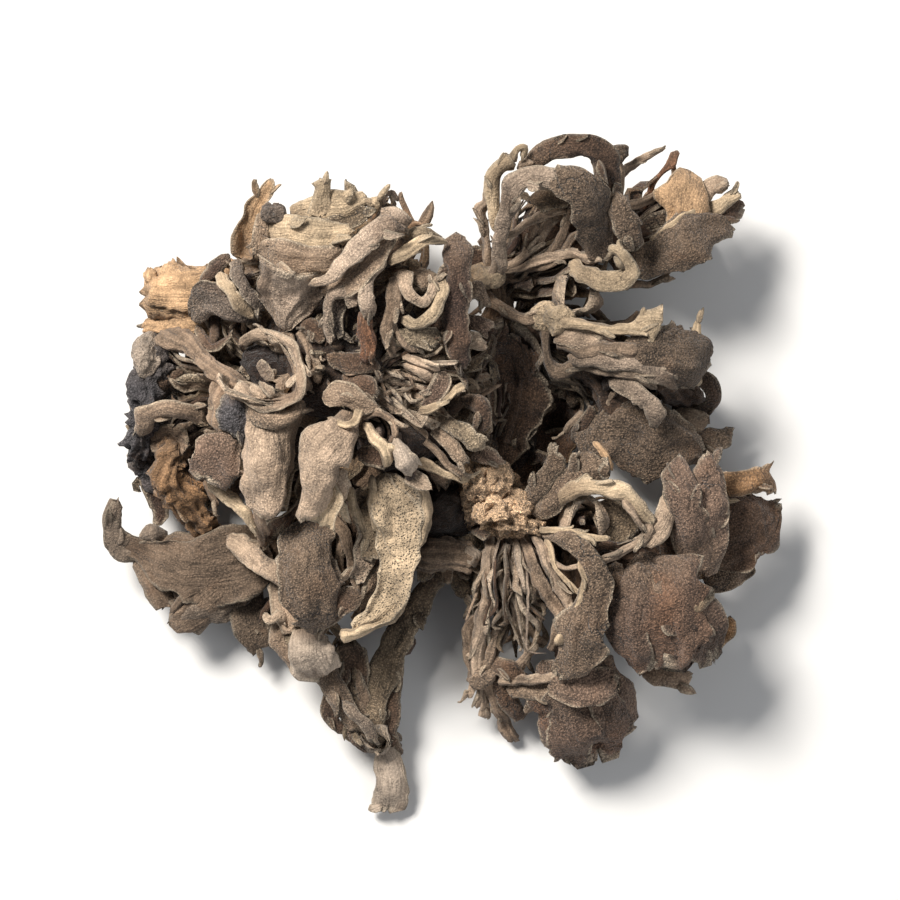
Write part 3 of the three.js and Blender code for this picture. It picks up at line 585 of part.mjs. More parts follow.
// A repeatable draw between -1 and 1 from a name and a number.
function draw(name, index) {
  let value = index * 374761 + 1013;
  for (const letter of name) {
    value = (value * 31 + letter.charCodeAt(0)) % 2147483647;
  }
  value = (value * 48271) % 2147483647;
  value = (value * 48271) % 2147483647;
  return (value / 2147483647) * 2 - 1;
}

// Points and widths along a smooth line through the given ones.
function along(points) {
  const line = new THREE.CatmullRomCurve3(points.map((p) => new THREE.Vector3(p[0], p[1], p[2])));
  line.curveType = "centripetal";
  const count = points.length - 1;
  const rows = [];
  for (let i = 0; i <= count; i += 1) {
    const place = (i / count) * (points.length - 1);
    const first = Math.min(Math.floor(place), points.length - 2);
    const share = place - first;
    const eased = share * share * (3 - 2 * share);
    rows.push({
      at: line.getPoint(i / count),
      forward: line.getTangent(i / count),
      width: points[first][3] * (1 - eased) + points[first + 1][3] * eased,
      share: i / count,
    });
  }
  return rows;
}

// A steady frame along the line: up stays square to the line and turns as little as it can.
function frames(rows, upStart) {
  let up = new THREE.Vector3(...upStart);
  for (const row of rows) {
    up = up.clone().addScaledVector(row.forward, -up.dot(row.forward));
    if (up.length() < 0.05) {
      up = new THREE.Vector3(0, 1, 0);
      up.addScaledVector(row.forward, -up.dot(row.forward));
    }
    up.normalize();
    row.up = up;
    row.side = new THREE.Vector3().crossVectors(row.forward, up);
  }
}

function solid(corners, triangles) {
  const mesh = new wasm.Mesh({
    numProp: 3,
    vertProperties: new Float32Array(corners.flatMap((c) => [c.x, c.y, c.z])),
    triVerts: new Uint32Array(triangles.flat()),
  });
  const made = new wasm.Manifold(mesh);
  return made.volume() > 0 ? made : null;
}

// A closed tube over rings of corners, with a fan at each end.
function skin(rings) {
  const corners = rings.flat();
  const sides = rings[0].length;
  const triangles = [];
  for (let i = 0; i < rings.length - 1; i += 1) {
    for (let j = 0; j < sides; j += 1) {
      const a = i * sides + j;
      const b = i * sides + ((j + 1) % sides);
      triangles.push([b, a, b + sides], [b + sides, a, a + sides]);
    }
  }
  for (const [ring, turned] of [[0, false], [rings.length - 1, true]]) {
    const middle = new THREE.Vector3();
    rings[ring].forEach((c) => middle.addScaledVector(c, 1 / sides));
    corners.push(middle);
    for (let j = 0; j < sides; j += 1) {
      const a = ring * sides + j;
      const b = ring * sides + ((j + 1) % sides);
      triangles.push(turned ? [b, a, corners.length - 1] : [a, b, corners.length - 1]);
    }
  }
  return solid(corners, triangles);
}

// A curled blade. Both faces are split into triangles alike.
function sheet(name, points, shape, extra) {
  const rows = along(points);
  const roll = THREE.MathUtils.degToRad(shape.roll ?? 0);
  frames(rows, shape.up ?? [0, 0, 1]);
  const curls = Array.isArray(shape.curl) ? shape.curl : [shape.curl ?? 0, shape.curl ?? 0];
  const widest = Math.max(...points.map((p) => p[3]));
  const bent = Math.max(Math.abs(curls[0]), Math.abs(curls[1]));
  const cells = bent > 180 ? 5 : widest < NARROW ? 1 : widest < BROAD ? 2 : 3;
  const thick = (shape.t ?? BLADE_THICKNESS) + 2 * extra;
  const faces = rows.map((row, i) => {
    const up = row.up.clone().applyAxisAngle(row.forward, roll);
    const side = row.side.clone().applyAxisAngle(row.forward, roll);
    const width = row.width + 2 * extra;
    const bend = THREE.MathUtils.degToRad(curls[0] + (curls[1] - curls[0]) * row.share);
    const radius = Math.abs(bend) > 0.01 ? row.width / bend : 1e5;
    const across = [];
    for (let j = 0; j <= cells; j += 1) {
      const v = (j / cells) * 2 - 1;
      const turn = ((v * width) / 2) / radius;
      const ruffle = WAVE * v * v * draw(name, i * 11 + (v > 0 ? 5 : 0)) * Math.min(1, row.width / 5);
      const lift = radius * (Math.cos(turn) - 1) + ruffle;
      const bulge = (shape.bulge ?? 0) * (1 - v * v) * Math.sin(Math.PI * row.share);
      const outward = up.clone().multiplyScalar(Math.cos(turn)).addScaledVector(side, Math.sin(turn));
      const middle = row.at.clone().addScaledVector(side, radius * Math.sin(turn));
      middle.addScaledVector(up, lift + bulge);
      const half = (thick / 2) * (1 - (1 - THIN_EDGE) * v * v);
      across.push([middle.clone().addScaledVector(outward, half), middle.addScaledVector(outward, -half)]);
    }
    return across;
  });
  if (extra > 0) {
    for (const [i, sign] of [[0, -1], [rows.length - 1, 1]]) {
      faces[i].flat().forEach((corner) => corner.addScaledVector(rows[i].forward, sign * extra));
    }
  }
  const corners = faces.flat(2);
  const index = (i, j, k) => (i * (cells + 1) + j) * 2 + k;
  const triangles = [];
  for (let i = 0; i < rows.length - 1; i += 1) {
    for (let j = 0; j < cells; j += 1) {
      const top = [index(i, j, 0), index(i, j + 1, 0), index(i + 1, j + 1, 0), index(i + 1, j, 0)];
      const low = top.map((n) => n + 1);
      triangles.push([top[0], top[1], top[2]], [top[0], top[2], top[3]]);
      triangles.push([low[0], low[2], low[1]], [low[0], low[3], low[2]]);
    }
    for (const [j, turned] of [[0, true], [cells, false]]) {
      const [a, b, c, d] = [index(i, j, 0), index(i + 1, j, 0), index(i + 1, j, 1), index(i, j, 1)];
      triangles.push(turned ? [a, b, c] : [a, c, b], turned ? [a, c, d] : [a, d, c]);
    }
  }
  for (const [i, turned] of [[0, false], [rows.length - 1, true]]) {
    for (let j = 0; j < cells; j += 1) {
      const [a, b, c, d] = [index(i, j, 0), index(i, j + 1, 0), index(i, j + 1, 1), index(i, j, 1)];
      triangles.push(turned ? [a, b, c] : [a, c, b], turned ? [a, c, d] : [a, d, c]);
    }
  }
  return solid(corners, triangles);
}

// A round or flattened stem.
function stem(name, points, shape, extra, sides = STEM_SIDES) {
  const rows = along(points);
  frames(rows, [0, 0, 1]);
  const flat = shape.flat ?? 0.85;
  const rings = rows.map((row, i) => {
    const ring = [];
    const end = i === 0 ? -1 : i === rows.length - 1 ? 1 : 0;
    for (let j = 0; j < sides; j += 1) {
      const turn = (j / sides) * Math.PI * 2;
      const rough = 1 + (shape.rough ?? 0.06) * draw(name, i * sides + j);
      const wide = (row.width / 2) * rough + extra;
      const high = ((row.width * flat) / 2) * rough + extra;
      const corner = row.at.clone().addScaledVector(row.side, wide * Math.cos(turn));
      corner.addScaledVector(row.up, high * Math.sin(turn));
      ring.push(corner.addScaledVector(row.forward, end * extra));
    }
    return ring;
  });
  return skin(rings);
}

// A rough rounded lump.
function lump(name, points, shape, extra) {
  const ball = new THREE.IcosahedronGeometry(1, 1);
  const places = ball.getAttribute("position");
  const found = new Map();
  const corners = [];
  const triangles = [];
  const [x, y, z] = points[0];
  for (let i = 0; i < places.count; i += 1) {
    const point = new THREE.Vector3().fromBufferAttribute(places, i);
    const key = point.toArray().map((value) => Math.round(value * 100)).join(" ");
    if (!found.has(key)) {
      found.set(key, corners.length);
      const rough = 1 + shape.rough * draw(name, corners.length);
      corners.push(new THREE.Vector3(
        x + point.x * (shape.r[0] * rough + extra),
        y + point.y * (shape.r[1] * rough + extra),
        z + point.z * (shape.r[2] * rough + extra),
      ));
    }
    if (i % 3 === 0) triangles.push([]);
    triangles[triangles.length - 1].push(found.get(key));
  }
  return solid(corners, triangles);
}

const MAKERS = { sheet, stem, lump };

// The hidden stem from a frond's foot, or from the point of it that is named, down to where it grew.
function post(name, points, shape, extra) {
  const foot = points[shape.from ?? 0];
  const end = [shape.root[0] - MIDDLE[0], shape.root[1] - MIDDLE[1], shape.root[2]];
  const top = [foot[0] + 0.05, foot[1] + 0.03, foot[2] - 0.1, POST_WIDTH];
  return stem(name, [top, [...end, POST_WIDTH]], {}, extra, 3);
}

function grow(piece, extra) {
  const thick = GROWTH[piece].filter(([, kind, , points]) => (
    kind === "lump" || Math.max(...points.map((p) => p[3])) > FINEST
  ));
  const parts = thick.map(([name, kind, , points, shape]) => {
    const moved = points.map((p) => [p[0] - MIDDLE[0], p[1] - MIDDLE[1], ...p.slice(2)]);
    const made = MAKERS[kind](name, moved, shape, extra);
    if (!made) throw new Error(`${piece} ${name} is inside out`);
    return shape.root ? made.add(post(name, moved, shape, extra)) : made;
  });
  return wasm.Manifold.union(parts);
}

// Corners that meet by chance are moved a hair apart, so that no two are welded into one.
function spread(body) {
  let count = 0;
  return body.warp((corner) => {
    count += 1;
    corner[0] += HAIR * Math.sin(count * 12.9);
    corner[1] += HAIR * Math.sin(count * 7.3 + 1);
  });
}

// Each piece gives way, with a little air, to the ones grown before it, and is cut flat at Z = 0.
const group = new THREE.Group();
let taken = wasm.Manifold.union([]);
let placed = wasm.Manifold.union([]);
for (const piece of Object.keys(PIECE_TONES)) {
  let body = grow(piece, 0).subtract(taken).simplify(SIMPLIFY);
  body = body.subtract(placed).trimByPlane([0, 0, 1], 0);
  const scraps = body.decompose().sort((a, b) => b.volume() - a.volume());
  const kept = spread(scraps[0].simplify(CLEAN));
  taken = taken.add(grow(piece, GAP));
  placed = placed.add(kept);
  const mesh = kept.getMesh();
  const geometry = new THREE.BufferGeometry();
  geometry.setAttribute("position", new THREE.BufferAttribute(mesh.vertProperties, 3));
  geometry.setIndex(new THREE.BufferAttribute(mesh.triVerts, 1));
  geometry.computeVertexNormals();
  const [colour, roughness] = TONES[PIECE_TONES[piece]];
  const material = new THREE.MeshStandardMaterial({ color: colour, roughness, metalness: 0 });
  const node = new THREE.Mesh(geometry, material);
  node.name = piece;
  group.add(node);
}

export default group;
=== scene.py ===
"""A dried maitake, its fronds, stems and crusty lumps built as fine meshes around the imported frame."""

import math

import bpy
import numpy as np
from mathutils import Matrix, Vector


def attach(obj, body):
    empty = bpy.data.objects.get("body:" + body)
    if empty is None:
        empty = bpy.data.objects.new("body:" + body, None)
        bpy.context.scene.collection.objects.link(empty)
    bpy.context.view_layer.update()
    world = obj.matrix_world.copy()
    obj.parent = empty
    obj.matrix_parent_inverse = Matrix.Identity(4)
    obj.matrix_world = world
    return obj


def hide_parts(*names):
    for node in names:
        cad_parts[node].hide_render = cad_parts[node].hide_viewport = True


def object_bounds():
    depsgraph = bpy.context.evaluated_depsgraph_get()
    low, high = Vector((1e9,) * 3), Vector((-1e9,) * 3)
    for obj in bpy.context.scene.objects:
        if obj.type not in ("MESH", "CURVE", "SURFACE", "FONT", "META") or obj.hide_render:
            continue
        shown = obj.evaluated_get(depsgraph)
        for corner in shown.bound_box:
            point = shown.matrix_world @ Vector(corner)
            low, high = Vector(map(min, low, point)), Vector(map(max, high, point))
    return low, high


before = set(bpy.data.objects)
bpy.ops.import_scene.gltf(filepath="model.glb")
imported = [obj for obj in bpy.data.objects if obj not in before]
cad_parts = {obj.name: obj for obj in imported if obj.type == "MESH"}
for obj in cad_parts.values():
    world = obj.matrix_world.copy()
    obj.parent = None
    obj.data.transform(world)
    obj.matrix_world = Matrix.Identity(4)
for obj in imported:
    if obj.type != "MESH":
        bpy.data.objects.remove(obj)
CAD_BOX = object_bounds()

# Driving sizes, in millimetres. The growth list below is the frame's own but for a few small fronds, and its middle
# is moved to X = Y = 0.
MM = 0.001
MIDDLE = (-0.75, -5.15)
BLADE_THICKNESS = 1.2
THINNER = 0.7              # the looks are this much of the solids' thickness
CELL = 0.55                # length of a mesh cell along a frond
CELL_ACROSS = 0.45         # and across it
COARSE = 2.4               # small crowded fronds have cells this many times longer and wider
FRINGE_COARSE = 2.2        # and so have the torn strips along a frond
RIM_BULGE = 0.2            # how far a frond's rim stands out, as a share of its thickness
RUFFLE = 1.1               # height of the waves along a frond's rims
FOLD = 0.42                # depth of the dried folds that run along a frond
CRINKLE = 0.2              # depth of its small crinkles
WARPS = ((7.0, 0.9), (2.7, 0.42), (1.2, 0.14))  # the shared crumpling: sizes and reaches
FLOOR_GAP = 0.02           # the least height of anything
EDGE_BAND = 3.0            # points in this band inside the solids' box are pressed back into it
PRESS_SLACK = 0.6          # how far past that box the hardest pressed point may come
MAP_REACH = 60.0           # half the side of the height map, and the side of its cells
MAP_CELL = 1.5
PAINTED_SHADE_LOSS = (0.42, 0.52, 0.62)  # painted shade: how much red, green and blue the deepest points lose
PAINTED_SHADE_START = 2.0           # the painted shade starts this far below the skin of the cluster
PAINTED_SHADE_RANGE = 15            # and is darkest this much further down
SPLITS = {"left_cluster": 3, "lower_right": 2}  # pieces that are too fine for one mesh
POST_WIDTH = 2.2           # width of the stems that carry raised fronds
ROUND_ROOT, ROUND_TIP = 0.22, 0.1  # share of a blade's width over which its ends are rounded
SEED_LIMIT = 2147483647
FRAME_WIDTH = 144.0        # width of the view, at the height below
FRAME_HEIGHT = 22.0
LENS = 180.0
SENSOR = 36.0
# Each light is its name, place, size, power and colour. Places are in metres.
LIGHTS = (
    ("key", (-0.35, 0.4, 0.65), 0.25, 12.0, (1.0, 0.965, 0.92)),
    ("fill", (0.5, -0.25, 0.6), 0.6, 1.6, (0.94, 0.97, 1.0)),
)
ROOM_COLOUR = (0.9, 0.93, 1.0, 1)
ROOM_STRENGTH = 0.2
FLOOR_SIZE = 3
FLOOR_DROP = 0.0001
FLOOR_COLOUR = (0.78, 0.77, 0.75, 1)
# How often each texture repeats in a metre.
REPEATS = {"fine": 3400, "speck": 2300, "mottle": 330, "broad": 90, "pores": 2400, "fuzz": 2900, "seams": 150,
           "cracked": 70, "rust": 160, "crumbs": 1100, "wander": 500}
RUST_TINT = (0.24, 0.12, 0.06, 1)

# How the cluster grew. Each entry is a name, a kind, a tone, its points and its own shape.
# A sheet's or stem's points are [x, y, z, width along its skin]; a lump has one centre and radii.
# curl is the bend across a sheet in degrees, from root to tip, edges down where it is positive.
GROWTH = {
  "stalk_base": [
    ["broken_base", "lump", "crumb", [[5.5, -8, 13]], {"r": [5.5, 4.8, 11], "rough": 0.2}],
    ["crumb_side", "lump", "crumb", [[9.5, -11.5, 17]], {"r": [3.6, 3.4, 5.5], "rough": 0.25}],
    # a dark lump under the broken base, its darkness painted shade
    ["dark_base", "lump", "umber", [[-0.5, -9.5, 10]], {"r": [6.5, 5.5, 9.8], "rough": 0.18}],
    ["middle_plate", "sheet", "umber", [[4, -6, 12, 9], [6.5, 2, 10, 14], [8, 10, 10.5, 17],
      [9, 17, 13.5, 15], [9.5, 22, 18, 9]], {"curl": [-30, -85], "t": 1.4, "bulge": 2}],
    ["cup_floor", "sheet", "umber", [[6, -5, 7, 8], [13, 0, 5, 13], [17, 6, 5, 12], [19, 12, 8, 8]],
      {"curl": -50, "t": 1.3}],
    ["cup_ridge", "stem", "greige", [[5, 24.5, 16, 2.4], [8.5, 23, 19.5, 2], [12, 20.9, 21.5, 1.9],
      [15, 21, 22.5, 2.2]], {}],
    ["base_foot", "lump", "umber", [[7, 3, 4]], {"r": [8, 10, 5.5], "rough": 0.15}],
    ["upper_neck", "stem", "greige", [[7, 4, 8, 7], [8, 12, 9, 6], [8, 20, 11, 6], [8, 26, 13, 5]],
      {"flat": 0.7}],
    ["knot_neck", "lump", "cream", [[16, 21.3, 21.5]], {"r": [2.6, 2, 2.6], "rough": 0.15}],
    ["knot_post", "stem", "umber", [[8.6, 12, 8.6, 4.4], [14.5, 18, 13, 3.4], [16, 21, 20, 3]],
      {"flat": 0.8}],
    ["base_bridge", "stem", "umber", [[-14, 2, 13, 8], [-7, -5, 11, 8], [0, -9, 11, 8]], {"flat": 0.8}],
  ],
  "left_cluster": [
    # the core lumps are dark umber, darkened further as painted shade
    ["core_low", "lump", "umber", [[-24, 8, 11]], {"r": [14, 13, 12.5], "rough": 0.15}],
    ["core_top", "lump", "umber", [[-16, 16, 20]], {"r": [13, 12, 14], "rough": 0.15}],
    ["core_back", "lump", "umber", [[-22, 28, 19]], {"r": [9, 6, 13], "rough": 0.15}],
    ["core_front", "lump", "umber", [[-8, 3, 17]], {"r": [8, 7, 12], "rough": 0.15}],
    ["scoop", "sheet", "silver", [[-26.2, 20.6, 30, 2.5], [-25.8, 23.5, 34, 9],
      [-25, 26.5, 37.5, 12.5], [-24.4, 28.8, 40, 13]], {"curl": [60, 95], "t": 1.2, "bulge": -1.2}],
    ["scoop_middle", "sheet", "greige", [[-29.5, 31.5, 32, 5], [-25, 30.2, 36, 5.5],
      [-20, 30, 37.5, 5], [-15, 31.4, 37, 3.5]], {"curl": 40, "roll": -25, "t": 1.2}],
    ["scoop_top", "sheet", "cream", [[-29, 35.2, 30, 4], [-25, 34.6, 35, 5], [-20, 34, 37.5, 4.6],
      [-14.5, 34, 37, 3.4]], {"curl": 60, "roll": -15, "t": 1.2}],
    ["crown_back", "sheet", "cream", [[-24.5, 36.5, 31, 4], [-20, 37.6, 35.5, 5.2],
      [-16, 38.3, 37, 4.4], [-12.6, 39.2, 36, 2]], {"curl": 30, "t": 1.1}],
    ["spout", "sheet", "cream", [[-20, 37, 36, 3.6], [-20.1, 39.4, 37.5, 2.3], [-20, 41, 38.3, 2.3],
      [-20.1, 42.4, 38.8, 3.4]], {"curl": 70, "t": 0.9}],
    ["crown_shadow", "sheet", "olive", [[-19.5, 34.8, 35, 2.5], [-16, 36, 36.5, 3.6],
      [-12.5, 37.8, 36.5, 3]], {"curl": -50, "t": 1}],
    ["long_fold", "sheet", "silver", [[-22, 25.6, 39.6, 1.2], [-19, 26.4, 41, 2],
      [-16.8, 29.2, 41.8, 2.8], [-13, 32.4, 42, 3.2], [-9.2, 34.8, 40.5, 3.6], [-6.2, 34.2, 37, 2.6]],
      {"curl": 110, "t": 1.2, "root": [-17, 28, 31], "from": 2}],
    ["long_fold_face", "sheet", "greige", [[-20.6, 24.2, 36, 4], [-16.5, 26.8, 38, 6.5],
      [-12.5, 30.4, 38.5, 6.5], [-9.6, 33.6, 37.5, 4.5]], {"curl": 50, "roll": 30, "t": 1.2}],
    ["crown_right", "sheet", "silver", [[-10.5, 36, 37.5, 3], [-8, 36.2, 38.5, 3.2],
      [-6, 34.2, 36.5, 2.6]], {"curl": 80, "t": 1}],
    ["crown_tuft", "stem", "cream", [[-12.6, 37, 34.5, 2], [-11.6, 38.8, 36, 2],
      [-11.2, 39.5, 36.4, 1.4]], {}],
    ["tuft_arch", "stem", "silver", [[-10.8, 38, 34, 1.4], [-10.4, 39.6, 36, 1.1],
      [-9.3, 40.4, 36.4, 1.1], [-8.3, 39.2, 35, 1]], {}],
    ["tuft_low", "sheet", "umber", [[-11, 37, 33, 2], [-9, 37.6, 34.4, 2.4], [-7.8, 38.4, 34, 1.4]],
      {"curl": 80, "t": 0.9, "root": [-17, 28, 25]}],
    ["golden_spike", "sheet", "gold", [[-32.3, 31.5, 25, 5], [-31.6, 34.6, 28, 6],
      [-30.2, 38, 30.5, 4.2], [-28.9, 41, 31.8, 2.2], [-28.3, 43.2, 32.4, 0.9]], {"curl": -95, "t": 1}],
    ["grey_knot", "lump", "ash", [[-27.4, 37.4, 32.5]], {"r": [2.1, 1.9, 2.4], "rough": 0.22}],
    ["knot_stem", "stem", "ash", [[-27.5, 38.5, 33, 1.6], [-26.6, 39.2, 33.4, 0.9]], {}],
    ["knot_skirt", "sheet", "greige", [[-28.6, 37.5, 32, 2], [-29.6, 33.8, 32.6, 2.4],
      [-30, 30, 32, 2.2]], {"curl": 60, "t": 1}],
    ["pale_block", "stem", "gold", [[-33, 26.4, 18, 7], [-38, 26.2, 18.5, 9], [-44, 25.4, 18, 9.4],
      [-49.6, 25, 16.5, 9.6]], {"flat": 0.62, "ridges": 5}],
    ["block_shelf", "stem", "gold", [[-36, 21, 19, 3.4], [-43, 20.2, 19.5, 3.6], [-49.8, 20, 16, 3]],
      {}],
    ["block_knob", "stem", "gold", [[-48, 27, 18, 2.6], [-48.6, 29.2, 19, 2]], {}],
    ["block_fold", "sheet", "plum", [[-35.3, 31.6, 25, 2.2], [-37, 28.8, 26, 2.2],
      [-39.8, 25.6, 24, 1.6]], {"curl": 100, "t": 1, "root": [-37, 27, 19], "from": 1}],
    ["grey_pad", "sheet", "ash", [[-41.6, 21.6, 22, 3.4], [-38, 23.8, 26.5, 6.4], [-34, 23, 28, 6],
      [-30, 21, 26, 3.4]], {"curl": 75, "t": 1.3, "root": [-33, 25, 20], "from": 1}],
    ["cream_strap", "sheet", "cream", [[-36.1, 28.5, 28, 2.1], [-35.2, 26, 30, 2.4],
      [-33.3, 23.4, 30.4, 2.3], [-31, 21.2, 28.5, 1.5]], {"curl": 70, "t": 1.1, "root": [-30, 24, 22],
      "from": 2}],
    ["ash_ridge", "sheet", "ash", [[-33.2, 30.6, 28, 2.6], [-33.4, 27.6, 31.6, 2.4],
      [-31.4, 24.6, 31.6, 2.2], [-29.4, 22.4, 29, 1.8]], {"curl": 120, "t": 1.1, "root": [-30, 26, 22],
      "from": 1}],
    ["fold_bits", "sheet", "umber", [[-41, 20.2, 21, 1.6], [-37.6, 17.4, 23.4, 3],
      [-34, 19.6, 24.8, 1.4]], {"curl": 120, "roll": 40, "t": 1, "root": [-37, 24, 19], "from": 1}],
    ["pocket", "sheet", "bone", [[-27.6, 6.8, 21, 15], [-26.6, 8.2, 27, 22], [-25.6, 9.4, 32, 28],
      [-25.2, 9.8, 34.5, 30]], {"curl": [250, 300], "up": [0.75, -0.66, 0], "t": 1.2}],
    ["roll", "sheet", "bone", [[-28.2, 9, 30.5, 13], [-28, 5, 31.6, 12.5], [-28.4, -1, 31.6, 12],
      [-28.8, -6.5, 30.2, 11.5], [-29.8, -11.3, 26.5, 6]], {"curl": [200, 230], "t": 1.2}],
    ["pocket_chip", "lump", "cream", [[-30.4, 11.4, 24]], {"r": [2.2, 1.8, 2.4], "rough": 0.25}],
    ["diagonal_branch", "stem", "flesh", [[-47, 19.2, 18.5, 4], [-42.4, 17.8, 22, 3.8],
      [-38.2, 13.6, 25, 3.2], [-34.4, 10.2, 27.6, 3.2], [-31, 8.2, 28.6, 3]],
      {"flat": 0.7, "ridges": 3}],
    ["branch_down", "stem", "flesh", [[-35.5, 11, 26, 3.2], [-36.4, 7, 26.6, 3.8],
      [-37.4, 2.6, 26, 3.6]], {"flat": 0.6}],
    ["blue_pad", "sheet", "slate", [[-33.2, 9, 27.4, 4.4], [-33.8, 5.6, 29.4, 6],
      [-34.6, 1.6, 28, 5.6]], {"curl": 70, "t": 1.3}],
    ["brown_pad", "sheet", "rose", [[-34.2, 2.6, 27, 4], [-36.6, -1, 28.4, 7.8],
      [-39, -5.8, 25.6, 6.4]], {"curl": 80, "t": 1.3}],
    ["pad_flap", "sheet", "rose", [[-36.4, 0.4, 27.2, 3], [-34.4, -2, 27.6, 3.6],
      [-33.6, -4, 26.4, 2.4]], {"curl": 30, "t": 1}],
    ["cream_lip", "sheet", "cream", [[-38.6, -5.4, 21, 2.8], [-35.2, -7.8, 23, 3.4],
      [-32.4, -10.6, 23.4, 2.8], [-30.8, -12.2, 22, 1.4]],
      {"curl": 130, "t": 1.1, "root": [-30, -1, 14], "from": 1}],
    ["low_post", "stem", "flesh", [[-29.4, -6.5, 28, 3], [-29.8, -12, 21, 2.8],
      [-29.8, -15, 17.6, 2.4]], {}],
    ["finger", "sheet", "bone", [[-15.2, 5.2, 36, 4], [-17.4, 2.6, 38.2, 6.2],
      [-20.2, -0.6, 38.4, 7.6], [-21.2, -4.2, 37.4, 7], [-22, -8, 35.4, 6], [-23, -11.4, 32, 4.4]],
      {"curl": [110, 150], "t": 1.2, "root": [-16, 6, 28], "from": 1}],
    ["finger_cup", "sheet", "cream", [[-19.6, -4.4, 34.4, 3], [-19.4, -8, 33.2, 5],
      [-21.4, -12, 31, 5.4]], {"curl": -110, "t": 1.1}],
    ["finger_fold", "sheet", "bone", [[-17, -2.6, 35, 2], [-17.2, -5.6, 34, 2.6],
      [-17.4, -8.6, 32.4, 1.8]], {"curl": 90, "t": 1}],
    ["finger_rim", "stem", "cream", [[-19.2, 5, 36.4, 1.1], [-17, 3.8, 38.4, 1.2],
      [-14.8, 4.6, 38.6, 1.1], [-13.6, 6.4, 37, 1.1]], {}],
    ["diamond_plate", "sheet", "greige", [[-20.2, 8.6, 34.4, 2.2], [-16.8, 9, 36.8, 5],
      [-13.2, 7.2, 37.4, 3.4], [-10.6, 6.8, 36.4, 0.8]], {"curl": 25, "t": 1.1, "root": [-16, 10, 28],
      "from": 1}],
    ["diamond_back", "sheet", "umber", [[-16.8, 12, 33.4, 2], [-13.6, 10.4, 35.4, 3.6],
      [-10.8, 7.6, 35.4, 2]], {"curl": 130, "t": 1.1}],
    ["thin_bridge", "stem", "cream", [[-13.6, 4.2, 36.8, 1.7], [-12, 2, 37.2, 2], [-10, 0, 37, 2],
      [-9.2, -2.8, 35.6, 1.8]], {"flat": 0.6, "root": [-10, 4, 26], "from": 1}],
    ["arch", "stem", "flesh", [[-14, 5, 35, 1.2], [-11.4, 5.7, 36.6, 1.1], [-9, 4.4, 36.8, 1.3],
      [-8.2, 1.6, 36.6, 1.4]], {}],
    ["white_knob", "sheet", "chalk", [[-8.3, 1.6, 36, 1.6], [-7.4, -0.8, 37.4, 3], [-6.4, -3, 37, 3.8],
      [-5.9, -4.8, 35, 2.2]], {"curl": 110, "t": 1.3, "root": [-9, 3, 26]}],
    ["small_leaf", "sheet", "bone", [[-6.4, -4, 33, 1.8], [-4.6, -5.6, 33.8, 2.6],
      [-2.9, -6.6, 33.6, 0.9]], {"curl": 40, "t": 0.9, "root": [-6, -4, 35.4]}],
    ["inner_plate", "sheet", "umber", [[-14.6, 0, 31, 3], [-11.6, -0.8, 32, 4], [-9.2, -1.6, 31, 3]],
      {"curl": -30, "t": 1.1, "root": [-10, 2, 24], "from": 1}],
    ["strap_a", "sheet", "sage", [[-2, 5.6, 29, 2.4], [1, 3.4, 31, 2.6], [3.4, 1.2, 31.4, 2.4],
      [5, 0, 30, 1.6]], {"curl": 60, "t": 1.1, "root": [-5, 4, 23]}],
    ["strap_b", "sheet", "greige", [[-2.8, 4, 28.4, 2.2], [0.4, 0.6, 29.6, 2.2],
      [2.8, -2.2, 28.6, 1.8]], {"curl": 90, "t": 1.1, "root": [-5, 3, 23]}],
    ["strap_c", "stem", "greige", [[-4.4, 2.4, 27.4, 1.6], [-1.4, -1.2, 28.6, 1.6],
      [1.6, -3.6, 27.6, 1.3]], {}],
    ["strap_d", "stem", "cream", [[-5.4, -1.6, 27, 1.8], [-2.2, -3.5, 28, 1.6], [1, -4.4, 27.4, 1.5],
      [3, -4.2, 26.4, 1.4]], {}],
    ["base_leaf", "sheet", "rose", [[3, -1, 24, 1.6], [6, -1.6, 25.4, 2.6], [9.4, -2.6, 24.4, 0.9]],
      {"curl": 60, "t": 0.9, "root": [-2, 0, 20]}],
    ["curl_knob", "sheet", "umber", [[2, 8, 28.4, 2.4], [4.6, 6.6, 30.6, 3], [5.2, 4, 30, 2.4],
      [4, 2.6, 28.6, 1.6]], {"curl": 110, "t": 1, "root": [-3, 6, 22]}],
    ["pale_rod", "stem", "cream", [[-9.4, 29, 37.6, 1.8], [-6.2, 30.2, 38.8, 2.1],
      [-3.2, 32.2, 38.4, 1.7], [-0.8, 32.3, 36.4, 1.1]], {"flat": 0.7}],
    ["inner_loop", "sheet", "bone", [[-7.2, 28, 35, 3], [-6.7, 24.6, 37, 2.2], [-4.6, 22.9, 37.4, 1.5],
      [-2.6, 24, 36.8, 1.5], [-2.1, 27, 35.4, 1.5]], {"curl": 50, "t": 1}],
    ["outer_loop", "sheet", "cream", [[-8, 20.8, 35.6, 1.3], [-5.2, 19.8, 37, 1.7],
      [-2.5, 21.2, 37.2, 2.2], [-0.8, 24, 36.6, 2], [-1.4, 27.8, 35, 1.2]], {"curl": 80, "t": 1.1}],
    ["loop_back", "sheet", "greige", [[-5.8, 28, 34, 3], [-3.8, 26.2, 34.6, 3.4],
      [-2.8, 24.6, 34, 2.4]], {"curl": 40, "t": 1, "root": [-12, 21, 26]}],
    ["grey_column", "stem", "greige", [[-8.4, 27, 35.6, 2], [-9, 22.6, 36.6, 2.3],
      [-9.9, 18.6, 36.4, 2], [-8.4, 15.2, 34.6, 1.6]], {"ridges": 3, "root": [-11, 20, 28], "from": 1}],
    ["s_strap", "sheet", "silver", [[-9.8, 29.8, 38, 2], [-12, 27.6, 39.4, 2.3], [-13, 24.8, 40, 2.2],
      [-12.9, 22.6, 39.8, 3], [-11.6, 20.4, 38, 2.2]], {"curl": 100, "t": 1.1}],
    ["hook_arch", "sheet", "silver", [[-14.4, 22.4, 38, 2.4], [-16.2, 24.2, 39, 1.9],
      [-18.6, 23.4, 38.6, 1.7], [-19.5, 20.6, 37.2, 1.4], [-18.6, 17, 35, 1.4]],
